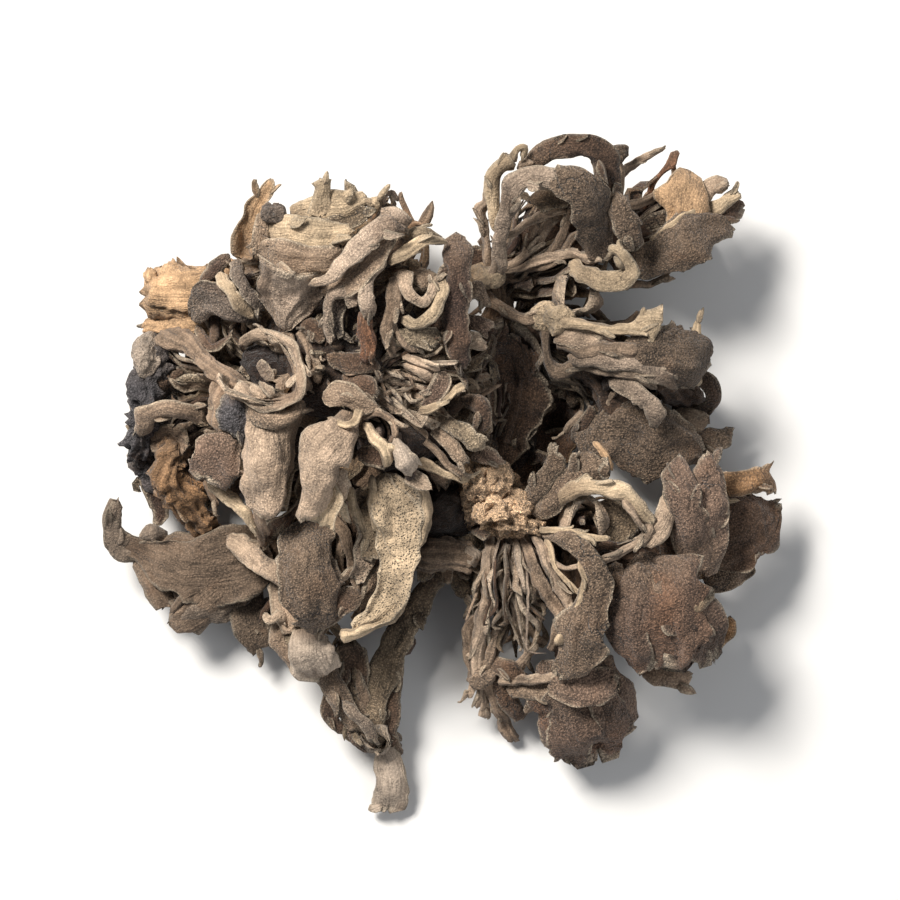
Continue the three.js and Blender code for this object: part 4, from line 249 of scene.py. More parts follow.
      {"curl": 80, "t": 1, "root": [-17, 17, 30], "from": 4}],
    ["hook_inner", "sheet", "ash", [[-16.4, 23, 36, 2.4], [-18, 21.4, 35.6, 3], [-17.8, 18, 34, 2.4]],
      {"curl": -50, "t": 1}],
    ["rust_tube", "stem", "clay", [[-13, 21.8, 37.2, 3], [-13.3, 18, 37.4, 3.5],
      [-13, 13.8, 35.6, 3.4]], {}],
    ["dark_bar", "sheet", "umber", [[-19.2, 15.4, 33, 2], [-16, 14, 34.8, 3.2],
      [-12.6, 13.6, 35.2, 2.6], [-10.6, 12.6, 34, 1.6]], {"curl": 90, "t": 1.2}],
    ["fan_a", "stem", "bone", [[-7, 15, 33.4, 1.4], [-4.4, 13.4, 34.4, 1.5], [-2, 12.4, 33.6, 1.3]],
      {}],
    ["fan_b", "stem", "bone", [[-7, 13.4, 33, 1.4], [-4.4, 11.8, 34, 1.5], [-2.4, 10.6, 33, 1.3]], {}],
    ["fan_c", "sheet", "sage", [[-9.8, 17.6, 34, 2], [-6, 17.8, 35.4, 3.4], [-1.6, 18, 34, 2.6]],
      {"curl": 50, "t": 1}],
    ["fan_d", "stem", "greige", [[-9.4, 20, 35, 1.2], [-7, 17, 35.6, 1.3], [-5.2, 15.2, 34.6, 1.1]],
      {}],
    ["rust_cup", "sheet", "rust", [[-1.4, 12.2, 33, 2], [-2, 9.6, 34.2, 3], [-3.6, 7.6, 33.6, 2.6],
      [-5, 6.6, 32.6, 1.6]], {"curl": -70, "t": 1, "root": [-6, 8, 26], "from": 1}],
    ["cup_rim", "stem", "cream", [[-5.2, 6.4, 32.8, 1.3], [-2.8, 6.6, 34, 1.6], [-0.6, 8.4, 34.4, 1.5],
      [2, 10, 33, 1.8]], {}],
    ["pillar_a", "stem", "greige", [[-26.4, 19.6, 30, 2.4], [-24.6, 14.4, 31.4, 2.2],
      [-22.6, 9.6, 31, 2]], {}],
    ["pillar_b", "stem", "greige", [[-23.6, 19.6, 31, 1.6], [-22, 15, 32, 1.6],
      [-20.4, 11, 31.6, 1.3]], {}],
    ["pillar_leaf", "sheet", "umber", [[-24, 21.4, 30, 2], [-21.6, 19.4, 33, 2.6],
      [-19.4, 17, 33.6, 1.2]], {"curl": 140, "t": 1}],
    ["dark_strap", "sheet", "plum", [[0.6, 33.8, 33.6, 3.6], [1, 30.4, 35.6, 5.2],
      [1.3, 26, 35.8, 4.4], [0.6, 21, 34.8, 4], [0.9, 16, 33.8, 4.4], [2.6, 12.2, 31.6, 2]],
      {"curl": 70, "t": 1.3, "root": [-6, 18, 28], "from": 3}],
    ["strap_ear_a", "sheet", "bone", [[0.8, 17, 31, 2.2], [3.6, 16.9, 31.6, 2.8], [6.4, 16, 30, 1.4]],
      {"curl": 60, "t": 1, "root": [0.8, 17, 34]}],
    ["strap_ear_b", "sheet", "rose", [[2, 20.4, 28, 2.4], [5, 19.6, 29.4, 2.8], [8, 18.6, 28, 1.8]],
      {"curl": 80, "t": 1, "root": [0.6, 20, 34.6]}],
    ["strap_ear_c", "sheet", "greige", [[1.4, 24.4, 30, 2.4], [4.6, 25, 30, 3], [6.8, 22.4, 27, 1.8]],
      {"curl": 90, "t": 1, "root": [0.6, 23, 34.8]}],
    ["olive_hook", "stem", "sage", [[-7, 33.4, 34, 1.6], [-4.4, 33.9, 35, 1.6], [-1.6, 32.6, 34, 1.6]],
      {"root": [-16, 24, 26]}],
  ],
  "dark_lobe": [
    ["white_patch", "lump", "chalk", [[-49, 15.6, 18]], {"r": [2.7, 3.2, 4], "rough": 0.12}],
    ["crust", "stem", "slate", [[-45.5, 18.6, 15, 4.6], [-48, 13, 17, 6], [-48.4, 7.6, 17, 5.4],
      [-49.8, 3, 14, 4.4], [-50.4, -1.2, 9.5, 4.4]], {"flat": 1.1, "rough": 0.3}],
    ["crust_low", "stem", "slate", [[-50.4, -0.6, 9, 4], [-48.6, -3.4, 8, 3.6], [-46.4, -6.8, 7, 3]],
      {"flat": 1, "rough": 0.35}],
    ["crust_arch", "sheet", "flesh", [[-49.8, 2.4, 17, 2.6], [-48.4, 5.8, 20.6, 3.2],
      [-45, 6.4, 22, 3.4], [-41.4, 5, 22.4, 3.4], [-39, 4.2, 21.6, 2.6]], {"curl": 110, "t": 1.3}],
    ["crust_cup", "sheet", "flesh", [[-48.8, 1, 13, 4], [-45, 1.6, 14.4, 5.6], [-41.4, 0.6, 17, 5]],
      {"curl": -60, "t": 1.3}],
    ["tan_crumbs", "stem", "ochre", [[-43.4, 1.4, 16, 4], [-45.2, -3.4, 15, 5.6],
      [-43.2, -7.6, 13, 5.4], [-40.8, -11, 10.5, 4.4], [-38.6, -13.4, 8.5, 3]],
      {"flat": 0.9, "rough": 0.3}],
    ["red_rag", "sheet", "clay", [[-43, -10.8, 9.4, 2], [-40, -12.8, 9, 3.4], [-37.4, -13.6, 8, 2.4]],
      {"curl": 40, "t": 1}],
    ["claw", "stem", "flesh", [[-39.6, -5, 14, 1.4], [-38.6, -7.6, 14, 1], [-37.6, -9.4, 13, 0.8]],
      {"root": [-45, -4, 14.6]}],
    ["lobe_foot", "lump", "umber", [[-43, 4, 6.5]], {"r": [6, 8, 7.5], "rough": 0.2}],
    ["lobe_stalk", "stem", "umber", [[-44, 8, 8, 7], [-40, 7, 10, 7], [-37, 6, 12, 6]], {"flat": 0.8}],
  ],
  "left_lobe": [
    ["lobe_sheet", "sheet", "flesh", [[-26, -15, 9, 6], [-31, -17.4, 8.5, 9], [-37, -18.2, 8.8, 10.5],
      [-44, -17.8, 8.8, 8.6], [-50.6, -17.6, 8, 3.4]], {"curl": [-30, 20], "t": 1.4}],
    ["lobe_finger", "sheet", "silver", [[-50, -17.6, 8.2, 2.6], [-53.8, -16.6, 9.4, 2.8],
      [-55.6, -13, 11, 2.9], [-55, -10, 12, 3.1], [-53.9, -7.7, 12, 1.6]], {"curl": 60, "t": 1.1}],
    ["lobe_ear", "sheet", "silver", [[-46.6, -15, 8.4, 2.4], [-48.6, -14.2, 11, 4],
      [-50.8, -15.2, 9.4, 2]], {"curl": 120, "t": 1}],
    ["lobe_flap", "sheet", "flesh", [[-51.4, -18.2, 8, 1.8], [-48, -21.4, 9, 4],
      [-45.4, -25.8, 8.4, 3]], {"curl": 50, "t": 1.2}],
    ["lobe_pad", "sheet", "silver", [[-34.6, -24, 8, 4], [-38.6, -25.6, 10.4, 6.4],
      [-42.4, -27.2, 11, 7.6], [-45.4, -28, 8.4, 4]], {"curl": 110, "t": 1.3}],
    ["lobe_ridge", "stem", "flesh", [[-45.6, -26, 10.6, 1.4], [-43.4, -24, 11.4, 1.6],
      [-39, -23.4, 11, 1.4], [-34.6, -24, 9.8, 1.8]], {}],
    ["lobe_vein", "stem", "flesh", [[-44.2, -24, 9.4, 1.4], [-45.4, -20.6, 9.6, 1.4],
      [-48.6, -18.8, 9.2, 1.3]], {}],
    ["lobe_root", "sheet", "flesh", [[-33, -16.6, 9.4, 4], [-33.8, -20.4, 10.6, 3.6],
      [-34.6, -25.4, 9, 3.4]], {"curl": 60, "t": 1.3}],
    ["lobe_leaf", "sheet", "greige", [[-33, -21, 9, 4], [-32.8, -26.4, 8.6, 5], [-32, -30.4, 7.6, 5],
      [-33, -34.3, 5.4, 1.6]], {"curl": 40, "t": 1.2}],
    ["lobe_leaf_right", "sheet", "umber", [[-29.6, -23.6, 8.6, 4.4], [-29.4, -28, 7.6, 4.4],
      [-30.2, -32.6, 5.6, 2.8]], {"curl": 50, "t": 1.2}],
    ["lobe_strut", "stem", "umber", [[-19, -12, 8, 6], [-29, -14.6, 7, 6], [-37, -18, 6.4, 7],
      [-42, -21, 6, 4]], {"flat": 0.6}],
    ["lobe_heel", "stem", "umber", [[-38, -19, 6, 5], [-41, -22, 1.4, 4.4]], {}],
  ],
  "lower_fronds": [
    ["pad_stalk", "stem", "umber", [[-16, -8, 13.4, 8], [-18, -14, 15, 7], [-21, -20, 17, 6],
      [-21.4, -28, 12.4, 5]], {"flat": 0.8}],
    ["grain_pad", "sheet", "taupe", [[-22, -11.8, 20, 5], [-22.6, -16.4, 24.6, 9.6],
      [-22, -22, 25.2, 10.8], [-21, -26.4, 22.6, 8], [-21, -29.4, 19, 3.4]],
      {"curl": 75, "t": 1.3, "root": [-19, -17, 15], "from": 2}],
    ["pad_rim", "stem", "flesh", [[-25.6, -19.4, 23.4, 1], [-26.2, -22, 23, 1.1],
      [-24.4, -25.4, 21.4, 1.3], [-21.4, -28.8, 19.4, 1.2]], {}],
    ["left_branch", "sheet", "bone", [[-36, -14.6, 12.4, 2.6], [-32.4, -16.6, 15, 4.2],
      [-28.4, -19.4, 17.4, 3.6], [-25.6, -22, 18, 3]], {"curl": 60, "t": 1.3, "root": [-21, -20, 17],
      "from": 2}],
    ["under_plate", "sheet", "bone", [[-26, -21, 14, 5], [-26.4, -25, 14, 5], [-24, -29.6, 13, 4.4]],
      {"curl": 30, "t": 1.3, "root": [-21, -24, 14], "from": 1}],
    ["plate_spike", "sheet", "bone", [[-26.6, -26.8, 14.6, 2.2], [-28.6, -27.6, 14.6, 1.4],
      [-30, -26, 14, 0.8]], {"curl": 30, "t": 0.9}],
    ["chalk_flap", "sheet", "chalk", [[-21.8, -28.6, 16.4, 5.4], [-21.8, -31.8, 17.4, 8.6],
      [-21.4, -34.6, 15.8, 8.8], [-21.2, -36.8, 12.6, 6.4]],
      {"curl": 55, "t": 1.3, "root": [-21, -26, 13], "from": 1}],
    ["flap_strip", "sheet", "flesh", [[-26.8, -27.6, 13, 2.6], [-27.6, -31, 12, 2.6],
      [-25.8, -34.4, 11, 2.6], [-23, -36.8, 9.6, 2.2]], {"curl": 70, "t": 1.1}],
    ["crescent", "stem", "cream", [[-5, -5.6, 27, 1.6], [-4.1, -9.6, 27.4, 2.1],
      [-4.5, -13.6, 27, 2.2], [-6.3, -18, 25.8, 1.9], [-7.4, -22, 24.6, 1.9], [-9.6, -26, 23, 2.1],
      [-13, -28.7, 21.6, 2.3], [-17.6, -29.8, 20.6, 2]], {"flat": 0.8}],
    ["pore_sheet", "sheet", "cream", [[-10, -3.4, 28.6, 4], [-8.6, -8, 27.8, 8],
      [-7.4, -13, 26.6, 6.8], [-7.8, -18.4, 24.8, 3]],
      {"curl": -25, "t": 1.3, "pores": 1, "root": [-11, -13, 15], "from": 2}],
    ["inner_sheet", "sheet", "greige", [[-9.6, -15.6, 21, 5], [-10.6, -20, 19.4, 7.6],
      [-13, -24.4, 18.4, 7.6], [-16, -27.8, 18, 5]],
      {"curl": -60, "roll": 35, "t": 1.2, "pores": 1, "root": [-14, -19, 14], "from": 1}],
    ["pore_tube", "sheet", "cream", [[-13.2, -8.4, 25.8, 3.6], [-12.8, -13, 26, 4.4],
      [-12.2, -17.6, 24.8, 4]], {"curl": 90, "t": 1.1, "pores": 1, "root": [-14, -14, 16], "from": 1}],
    ["tube_strap_left", "stem", "cream", [[-16.2, -5.2, 27, 1.4], [-15.2, -8.6, 27, 1.7],
      [-13.9, -13, 26.2, 1.5]], {}],
    ["tube_strap_right", "stem", "cream", [[-12.6, -3.6, 29, 1.4], [-12.1, -8, 28, 1.7],
      [-11.6, -13, 26.8, 1.5]], {}],
    ["side_stem_a", "stem", "greige", [[-19, -10.4, 21, 1.6], [-17, -14, 21.6, 1.5],
      [-15, -18, 21.4, 1.5], [-14, -22.6, 20.6, 1.5]], {"root": [-15, -20, 15], "from": 3}],
    ["side_stem_b", "stem", "greige", [[-17.6, -12, 19.6, 1.5], [-17.4, -17, 19.6, 1.7],
      [-16.4, -22, 19, 1.5]], {"root": [-18, -17, 15.5], "from": 1}],
    ["crumple", "sheet", "umber", [[-14, -22.2, 22, 2.2], [-16.6, -24.2, 23, 3.8],
      [-19.2, -26.6, 22, 3.2], [-21.4, -29.8, 19, 1]], {"curl": 70, "t": 1}],
    ["inner_back", "sheet", "umber", [[-11, -8, 18, 6], [-14, -16, 15, 9], [-17, -25, 12, 7]],
      {"curl": 40, "t": 1.4}],
    ["lower_foot", "stem", "umber", [[-15, -10, 11, 8], [-17, -18, 7, 8], [-20, -26, 0.9, 5]],
      {"flat": 0.7}],
  ],
  "tail_branch": [
    ["stub", "stem", "greige", [[-12, -14.6, 12, 4], [-5, -16.6, 15, 5.2], [-1, -16.2, 17, 5.4],
      [3, -17.2, 17, 4.2], [4.8, -17.5, 16.6, 2.6]], {"flat": 0.8, "ridges": 3, "root": [1.4, -18, 12],
      "from": 3}],
    ["stub_torn", "sheet", "chalk", [[2.6, -15.6, 18.2, 1.4], [4, -17.4, 18.4, 2.2],
      [4.2, -18.9, 17.6, 1.4]], {"curl": 40, "t": 0.9}],
    ["arch_leg", "sheet", "olive", [[1.6, -18, 12, 3.4], [-1.6, -20, 11, 4], [-5, -24, 9.4, 4.6],
      [-7.2, -29, 8.4, 4.4], [-9.4, -34, 8.6, 5.2], [-11.6, -39, 8.8, 4], [-12.4, -44, 8, 3.4],
      [-11.4, -48.6, 6.4, 3.4]], {"curl": 70, "t": 1.6}],
    ["right_leg", "sheet", "olive", [[0.4, -18.6, 12, 3], [2.2, -21.4, 11.6, 3.4],
      [2.9, -25, 11, 3.2]], {"curl": 60, "t": 1.5}],
    ["leg_edge", "sheet", "umber", [[-8.6, -34, 8, 3], [-9.6, -40, 7.6, 2.8], [-9.2, -46, 6.4, 2.4],
      [-9, -50.4, 4.6, 2.6]], {"curl": 60, "t": 1.2}],
    ["tail_left", "sheet", "greige", [[-21, -34.6, 10.4, 5], [-18.8, -38.4, 11, 4.6],
      [-16.8, -42, 10.4, 3.6], [-15, -46, 8.6, 2.6]], {"curl": 60, "t": 1.3}],
    ["tail_plate", "sheet", "umber", [[-15.6, -31.6, 9, 4.4], [-15, -36, 8.8, 4.6],
      [-13.8, -41.4, 8, 3]], {"curl": -20, "t": 1.3}],
    ["pale_strand", "sheet", "silver", [[-17.4, -41, 12, 1.6], [-15.6, -42.2, 14, 2],
      [-13.9, -45, 13.6, 2.4], [-12.6, -47.6, 11.6, 1.8]],
      {"curl": 90, "t": 1.1, "root": [-16.8, -41, 9.6]}],
    ["tail_curl", "sheet", "umber", [[-18.8, -40, 9.6, 3], [-20, -42.6, 9.4, 3],
      [-18.6, -44.8, 8.8, 2.8], [-16.4, -43.8, 8.6, 2]], {"curl": 60, "t": 1}],
    ["tail_under", "sheet", "rose", [[-16.4, -44, 8.6, 2.6], [-14.9, -47.2, 7.8, 2.6],
      [-12.2, -49.4, 6, 2.4]], {"curl": 90, "t": 1.1}],
    ["tail_ring", "sheet", "chalk", [[-10.2, -48.2, 3, 10.4], [-10.2, -48.2, 6, 10.4],
      [-10.4, -48.4, 9.6, 10.8]], {"curl": 315, "up": [0.7, -0.7, 0], "t": 0.9}],
    ["pale_tip", "sheet", "chalk", [[-10.6, -48.4, 5.6, 3.2], [-10.2, -52.2, 4.4, 4.4],
      [-9.6, -56.6, 3.2, 5.2], [-9.9, -60.2, 1.4, 4.8]], {"curl": 40, "t": 1.4}],
    ["tip_hook", "sheet", "chalk", [[-10.8, -58.4, 2.4, 1.8], [-12.6, -59.4, 2.2, 1.6]], {"t": 1}],
    ["tail_foot", "stem", "olive", [[-10.4, -40, 7, 3.4], [-10.6, -46, 3, 4], [-10, -51, 1.1, 3.6]],
      {"flat": 0.8}],
    ["leg_foot", "stem", "umber", [[-3, -21, 9.8, 4], [-6, -26, 6.6, 4.6], [-9.2, -33.6, 6, 5]],
      {"flat": 0.8}],
  ],
  "lower_right": [
    ["right_root", "stem", "umber", [[9, -11, 12, 8], [16, -12, 15, 7], [24, -14, 15, 6.4],
      [32, -18, 13, 6.4], [39, -20, 10, 6]], {"flat": 0.8}],
    ["leaf_foot", "stem", "umber", [[30, -18, 12, 6], [33, -26, 7, 6.4], [37, -33, 1.2, 5.4]],
      {"flat": 0.8}],
    ["low_root", "stem", "umber", [[22, -15, 13, 5.4], [20, -26, 13, 5.4], [20, -36, 10, 5.4],
      [22, -44, 4, 5.4]], {"flat": 0.8}],
    ["prong_left", "sheet", "taupe", [[11.8, -8.4, 20, 2.4], [14.4, -5.8, 22.6, 2.6],
      [16.5, -2.8, 24, 2.8], [18, 0.2, 24.2, 2]], {"curl": 90, "t": 1.2, "root": [13, -11.4, 14]}],
    ["prong_wide", "sheet", "taupe", [[13.6, -9.6, 20.6, 2.4], [17, -7.2, 22.6, 3.4],
      [20.6, -4.2, 24, 5], [24.2, -1.4, 24.4, 6]], {"curl": 60, "t": 1.4}],
    ["prong_end", "stem", "gold", [[22.6, 1.2, 24, 1.2], [24.6, -1.2, 24.6, 1.5],
      [26, -3.6, 23.6, 1.2]], {}],
    ["ring_strap", "sheet", "cream", [[15.6, -8.4, 21.4, 2.4], [20, -6, 25, 2.5],
      [24, -5.8, 26.6, 2.3], [27.6, -7.3, 26.8, 2.2], [30.2, -9.8, 26, 2.1], [32, -12.6, 24.8, 1.8]],
      {"curl": 90, "t": 1.1}],
    ["ring_rim", "stem", "bone", [[31.9, -12.2, 25, 1.6], [30.6, -15, 24.8, 1.5],
      [27.2, -16.8, 24.4, 1.4], [23.6, -17.3, 23.6, 1.4]], {}],
    ["ring_branch", "stem", "bone", [[27.3, -8.2, 26.6, 1.5], [29.2, -10.8, 26, 1.4],
      [30.2, -13.6, 25, 1.2]], {}],
    ["ring_sheet", "sheet", "olive", [[23.6, -8.8, 19.4, 4], [26.4, -11.6, 20, 6.4],
      [29, -15, 19.6, 4.4]], {"curl": -45, "t": 1.3}],
    ["end_roll", "sheet", "bone", [[21.2, -8.4, 14.6, 12], [21.2, -8.2, 19, 13],
      [21.2, -8, 23.4, 13.4]], {"curl": 300, "up": [0, 1, 0], "t": 1}],
    ["roll_heart", "stem", "umber", [[20.8, -10.8, 15, 2], [21, -10.6, 21.4, 1.8]], {}],
    ["pale_spike", "stem", "cream", [[14, -12.3, 21.4, 1.8], [19.6, -13, 24.6, 1.2],
      [24.9, -13.8, 25, 0.9]], {}],
    ["ring_under", "stem", "umber", [[17, -13.8, 20.6, 1.8], [24.4, -15, 22, 1.8],
      [28, -15.6, 22.6, 1.8]], {"root": [24, -14, 16], "from": 1}],
    ["long_strap", "sheet", "taupe", [[15, -12.9, 20.6, 2.6], [19, -14.3, 24.4, 2.8],
      [22.2, -16.8, 26, 3.4], [23.4, -20.6, 26.2, 4.2], [22.8, -24.6, 25.6, 5.8], [21, -29, 24.6, 7.8],
      [19.6, -33, 22.6, 7.2], [17.2, -36.6, 19.4, 2.8]], {"curl": [60, 75],
      "t": 1.3, "root": [21, -24, 13], "from": 4}],
    ["strap_rim", "stem", "cream", [[20.4, -16.8, 25.6, 1], [21.2, -20.8, 26, 1.1],
      [19.7, -25.6, 24.8, 1.1], [17, -30.6, 22.4, 1.1]], {}],
    ["big_leaf", "sheet", "rust", [[31, -17.6, 20, 7], [33.4, -21.4, 22.6, 15],
      [34.5, -26.6, 23.2, 18], [33.6, -31.6, 21.8, 16], [33, -35.2, 19, 11]], {"curl": [20, 55],
      "t": 1.5, "bulge": 1, "root": [33, -24, 9], "from": 2}],
    ["leaf_ridge", "sheet", "olive", [[36, -27.4, 23.4, 2], [39.4, -25, 24.4, 2.8],
      [42.6, -22.6, 22.6, 2]], {"curl": 90, "t": 1.1}],
    ["leaf_left", "sheet", "umber", [[26.6, -18.4, 21, 2.4], [27, -22.6, 22.6, 4],
      [27.6, -28, 22, 4.4], [28.4, -33.8, 19.4, 3]], {"curl": 70, "t": 1.2}],
    ["frond_left", "sheet", "rose", [[40.4, -19, 17, 4], [39, -13.6, 22, 5.8], [38, -8.4, 24.4, 5.8],
      [37.2, -3.8, 24, 5], [36.9, -0.6, 22, 2]], {"curl": [70, 90], "t": 1.3, "root": [38, -19.6, 11]}],
    ["frond_right", "sheet", "rose", [[41.6, -20, 15.4, 3.4], [42, -13.6, 20.6, 5],
      [42.2, -8.4, 23.4, 5.2], [41.8, -3.6, 23.2, 4.8], [41.2, 0, 21.2, 2]], {"curl": [80, 100],
      "t": 1.3}],
    ["frond_wing", "sheet", "bone", [[37, -8, 21.6, 3.4], [34.6, -11, 24, 3.4], [32.4, -13.8, 24.6, 3],
      [30.4, -16.4, 24.4, 2.2]], {"curl": 90, "t": 1.2}],
    ["frond_back", "sheet", "umber", [[35, -18, 17, 4], [36, -14, 18.4, 5], [38, -10, 19, 4]],
      {"curl": -30, "t": 1.3}],
    ["fan", "sheet", "umber", [[39.6, -15.4, 11, 8], [43.6, -14.4, 13, 12], [47.4, -12.8, 12.4, 13.4],
      [51, -11.2, 10.4, 9.6], [54.6, -8, 8, 2.4]], {"curl": [30, 60], "t": 1.4, "root": [39, -19, 10],
      "from": 1}],
    ["fan_low", "sheet", "taupe", [[41.4, -20.4, 10, 4.4], [44.4, -20, 11.4, 6.4],
      [47.4, -18.2, 9.8, 5.4], [50, -16.6, 8, 3]], {"curl": 45, "t": 1.3}],
    ["fan_top", "sheet", "ochre", [[42, -7, 12, 3], [44.4, -5.6, 14.4, 3.8], [47.6, -4.8, 14.4, 5],
      [50.8, -4.6, 12.6, 4.4], [53, -6.8, 9.8, 1.8]], {"curl": 85, "t": 1.2}],
    ["fan_spike", "stem", "cream", [[43, -7.8, 15, 1.4], [46.1, -7.9, 15.8, 0.9]], {}],
    ["tan_leaf", "sheet", "ochre", [[39.6, -33, 6.6, 2.8], [42.4, -30.8, 8, 4.4],
      [44.4, -28.6, 8, 4.2], [45.6, -26.2, 6.6, 2]], {"curl": 50, "t": 1.2}],
    ["rolled_flap", "sheet", "flesh", [[31.4, -35.2, 11, 2.4], [34.2, -36.6, 12, 3.2],
      [37, -37, 11.6, 3.2], [39.6, -36.8, 10, 1.8]], {"curl": 120, "t": 1.1}],
    ["flap_stalk", "stem", "umber", [[33, -29, 8, 4], [34.6, -35.6, 10, 3]], {}],
    ["leaf_stalk", "stem", "umber", [[36, -28, 7, 4], [41, -31.4, 6.6, 3]], {}],
    ["low_leaf", "sheet", "rust", [[18.6, -36.6, 15.4, 8], [21, -40.6, 15, 13], [22.8, -45, 12, 14.6],
      [24, -48.8, 8.4, 12.4], [24.4, -51.4, 5.6, 8]], {"curl": [20, 45], "t": 1.4, "bulge": 0.6}],
    ["low_ledge", "sheet", "rose", [[16.2, -37.2, 16.6, 3.4], [21.4, -38.4, 18.8, 6.4],
      [27, -36.8, 17.4, 3.4]], {"curl": 65, "t": 1.3}],
    ["stem_a", "stem", "greige", [[11, -12.6, 15.6, 2.4], [13, -19.6, 20.6, 1.9], [17, -26, 19.6, 1.9],
      [17.4, -28.8, 18.6, 1.8], [15.9, -31.8, 16.6, 1.6]], {}],
    ["stem_b", "stem", "bone", [[13.2, -13.6, 20.4, 1.8], [15, -18, 22, 1.6], [17, -21.8, 21.6, 1.6],
      [19.2, -26.8, 20, 1.5]], {}],
    ["stem_c", "stem", "cream", [[15, -14.4, 21.6, 1.2], [17.2, -19.8, 23, 1], [20.4, -23.6, 23.4, 1]],
      {}],
    ["stem_d", "stem", "bone", [[10.2, -13.6, 16.4, 2], [10.6, -23, 17.4, 1.9], [11, -29, 15.4, 1.8],
      [12, -32.6, 13.4, 1.7], [10.2, -35.4, 11.6, 1.7]], {}],
    ["stem_d_fork", "stem", "bone", [[11, -26, 16.6, 1.5], [14.2, -30.8, 15, 1.3]], {}],
    ["stem_e", "stem", "greige", [[12.2, -18.4, 19.6, 1.4], [13.5, -22.8, 19.6, 1.5],
      [11.6, -25.6, 17, 1.4]], {}],
    ["stem_f", "stem", "bone", [[8, -12, 14, 2.4], [6, -17.4, 19.6, 2.2], [6, -22.4, 18, 2.1],
      [5, -28, 14.6, 2.1], [4, -33, 12.6, 2.1], [4.6, -37, 11.6, 2.1]], {}],
    ["stem_g", "stem", "greige", [[4.4, -26.6, 14.6, 1.6], [3, -29, 12.6, 2], [3, -32.6, 11.8, 2],
      [4.2, -37, 11, 2]], {}],
    ["stem_h", "stem", "greige", [[9.2, -23.6, 15, 1.5], [7.6, -28, 13.8, 1.3], [6.2, -32, 12.8, 1.3],
      [5.2, -36.6, 11.6, 1.4]], {}],
    ["stem_plate", "sheet", "umber", [[8.8, -12.6, 14, 3.4], [8.8, -20, 15, 3.8],
      [8.6, -26.4, 13.2, 2.8]], {"curl": 50, "t": 1.3}],
    ["stem_cross", "stem", "bone", [[14, -16.4, 21.4, 1], [18.4, -18.8, 23, 1],
      [21.8, -17.6, 24.4, 1]], {}],
    ["root_knot", "lump", "greige", [[5, -37.4, 10.6]], {"r": [2.3, 2, 2.6], "rough": 0.2}],
    ["toe_a", "stem", "bone", [[4.6, -37, 10.8, 1.5], [2.1, -40.6, 8, 1.1]], {}],
    ["toe_b", "stem", "bone", [[4.8, -38, 10.2, 1.5], [3.8, -42, 6.4, 1.1]], {}],
    ["toe_c", "stem", "bone", [[5.1, -38.4, 9.8, 1.7], [5.1, -41, 7.4, 1.3], [5.1, -44, 4.6, 1.8]], {}],
    ["toe_d", "stem", "flesh", [[5.6, -37, 10.8, 2.4], [6.6, -40.4, 8.8, 2.3], [8.3, -43.8, 5.4, 2.3],
      [9.9, -48.6, 0.8, 2.4]], {}],
    ["toe_e", "sheet", "umber", [[6.6, -37, 10.4, 2.8], [9.5, -41, 9, 3.2], [12.4, -45, 6, 2.6]],
      {"curl": 80, "t": 1.2}],
    ["low_fold", "sheet", "umber", [[6, -34.4, 11.6, 3], [9, -35.8, 12.6, 4.2], [12.4, -38, 12, 3]],
      {"curl": 60, "t": 1.2}],
    ["low_strap_a", "stem", "bone", [[8, -38.4, 11, 1.7], [13, -37, 14.4, 1.6],
      [16.8, -36.2, 17, 1.5]], {}],
    ["low_strap_b", "sheet", "greige", [[9.6, -39.2, 10.4, 2.6], [15, -38.6, 13.6, 2.8],
      [18.4, -38, 15.4, 2.8]], {"curl": 70, "t": 1.2}],
    ["flap_tip", "sheet", "flesh", [[12.6, -43, 8.4, 1.8], [14.5, -40, 11.6, 3.2],
      [16.8, -37.8, 14.8, 3.2]], {"curl": 50, "t": 1.2}],
  ],
  "middle_right": [
    ["spray_knot", "lump", "cream", [[17.6, 20.4, 23.4]], {"r": [2.5, 2.3, 2.3], "rough": 0.18}],
    ["arc_stem", "stem", "cream", [[17.4, 20.8, 24, 2.6], [19.5, 19.9, 25.8, 2.1],
      [22.5, 19, 26.8, 1.9], [25.5, 18.8, 27.2, 1.8], [28.5, 19.5, 27.4, 1.9], [31, 20.2, 27.2, 2.4]],
      {}],
    ["arc_frill", "sheet", "cream", [[29.2, 19.6, 27, 2.2], [31.4, 20.4, 27.6, 4.4],
      [33.8, 20, 26.6, 6]], {"curl": 80, "t": 1.1}],
    ["frill_tip", "stem", "cream", [[31, 20.6, 27.2, 1.4], [30.4, 23.2, 28, 1.1]], {}],
    ["wedge_sheet", "sheet", "bone", [[17.2, 19, 23.4, 3.4], [20, 17.5, 25, 3.8], [25, 16.6, 25.8, 2]],
      {"curl": 50, "t": 1.2}],
    ["main_strap", "stem", "greige", [[18, 17.4, 22.6, 2.4], [22, 15.5, 25.2, 2.1],
      [26, 15.8, 26.6, 2.4], [30.4, 16.4, 26.4, 2.8]], {"flat": 0.7}],
    ["brown_cap", "sheet", "taupe", [[28, 16.2, 25.4, 3.4], [32, 16.2, 26, 5.8], [36, 15.4, 24.8, 9],
      [39.6, 14.8, 21.6, 10], [42.4, 14.4, 17, 6.6]], {"curl": [60, 90], "t": 1.4}],
    ["cap_tooth_a", "stem", "taupe", [[36, 17, 23.8, 2.2], [37.3, 20, 23.4, 1.1]], {}],
    ["cap_tooth_b", "stem", "cream", [[38.8, 17.4, 21.8, 2.2], [40.1, 20.6, 21.4, 1]], {}],
    ["cap_under", "sheet", "cream", [[33.6, 13.4, 22.6, 3], [37, 12.2, 21, 4], [41, 11.6, 17.6, 3]],
      {"curl": 40, "roll": 40, "t": 1.2}],
    ["ridged_strap", "sheet", "silver", [[19.6, 14.4, 23.4, 2.4], [24.6, 14.2, 26.2, 3],
      [29.4, 14, 26.8, 3.2], [33, 12.6, 25.6, 3.2], [36.4, 9.8, 22.8, 1.6]], {"curl": 110, "t": 1.1}],
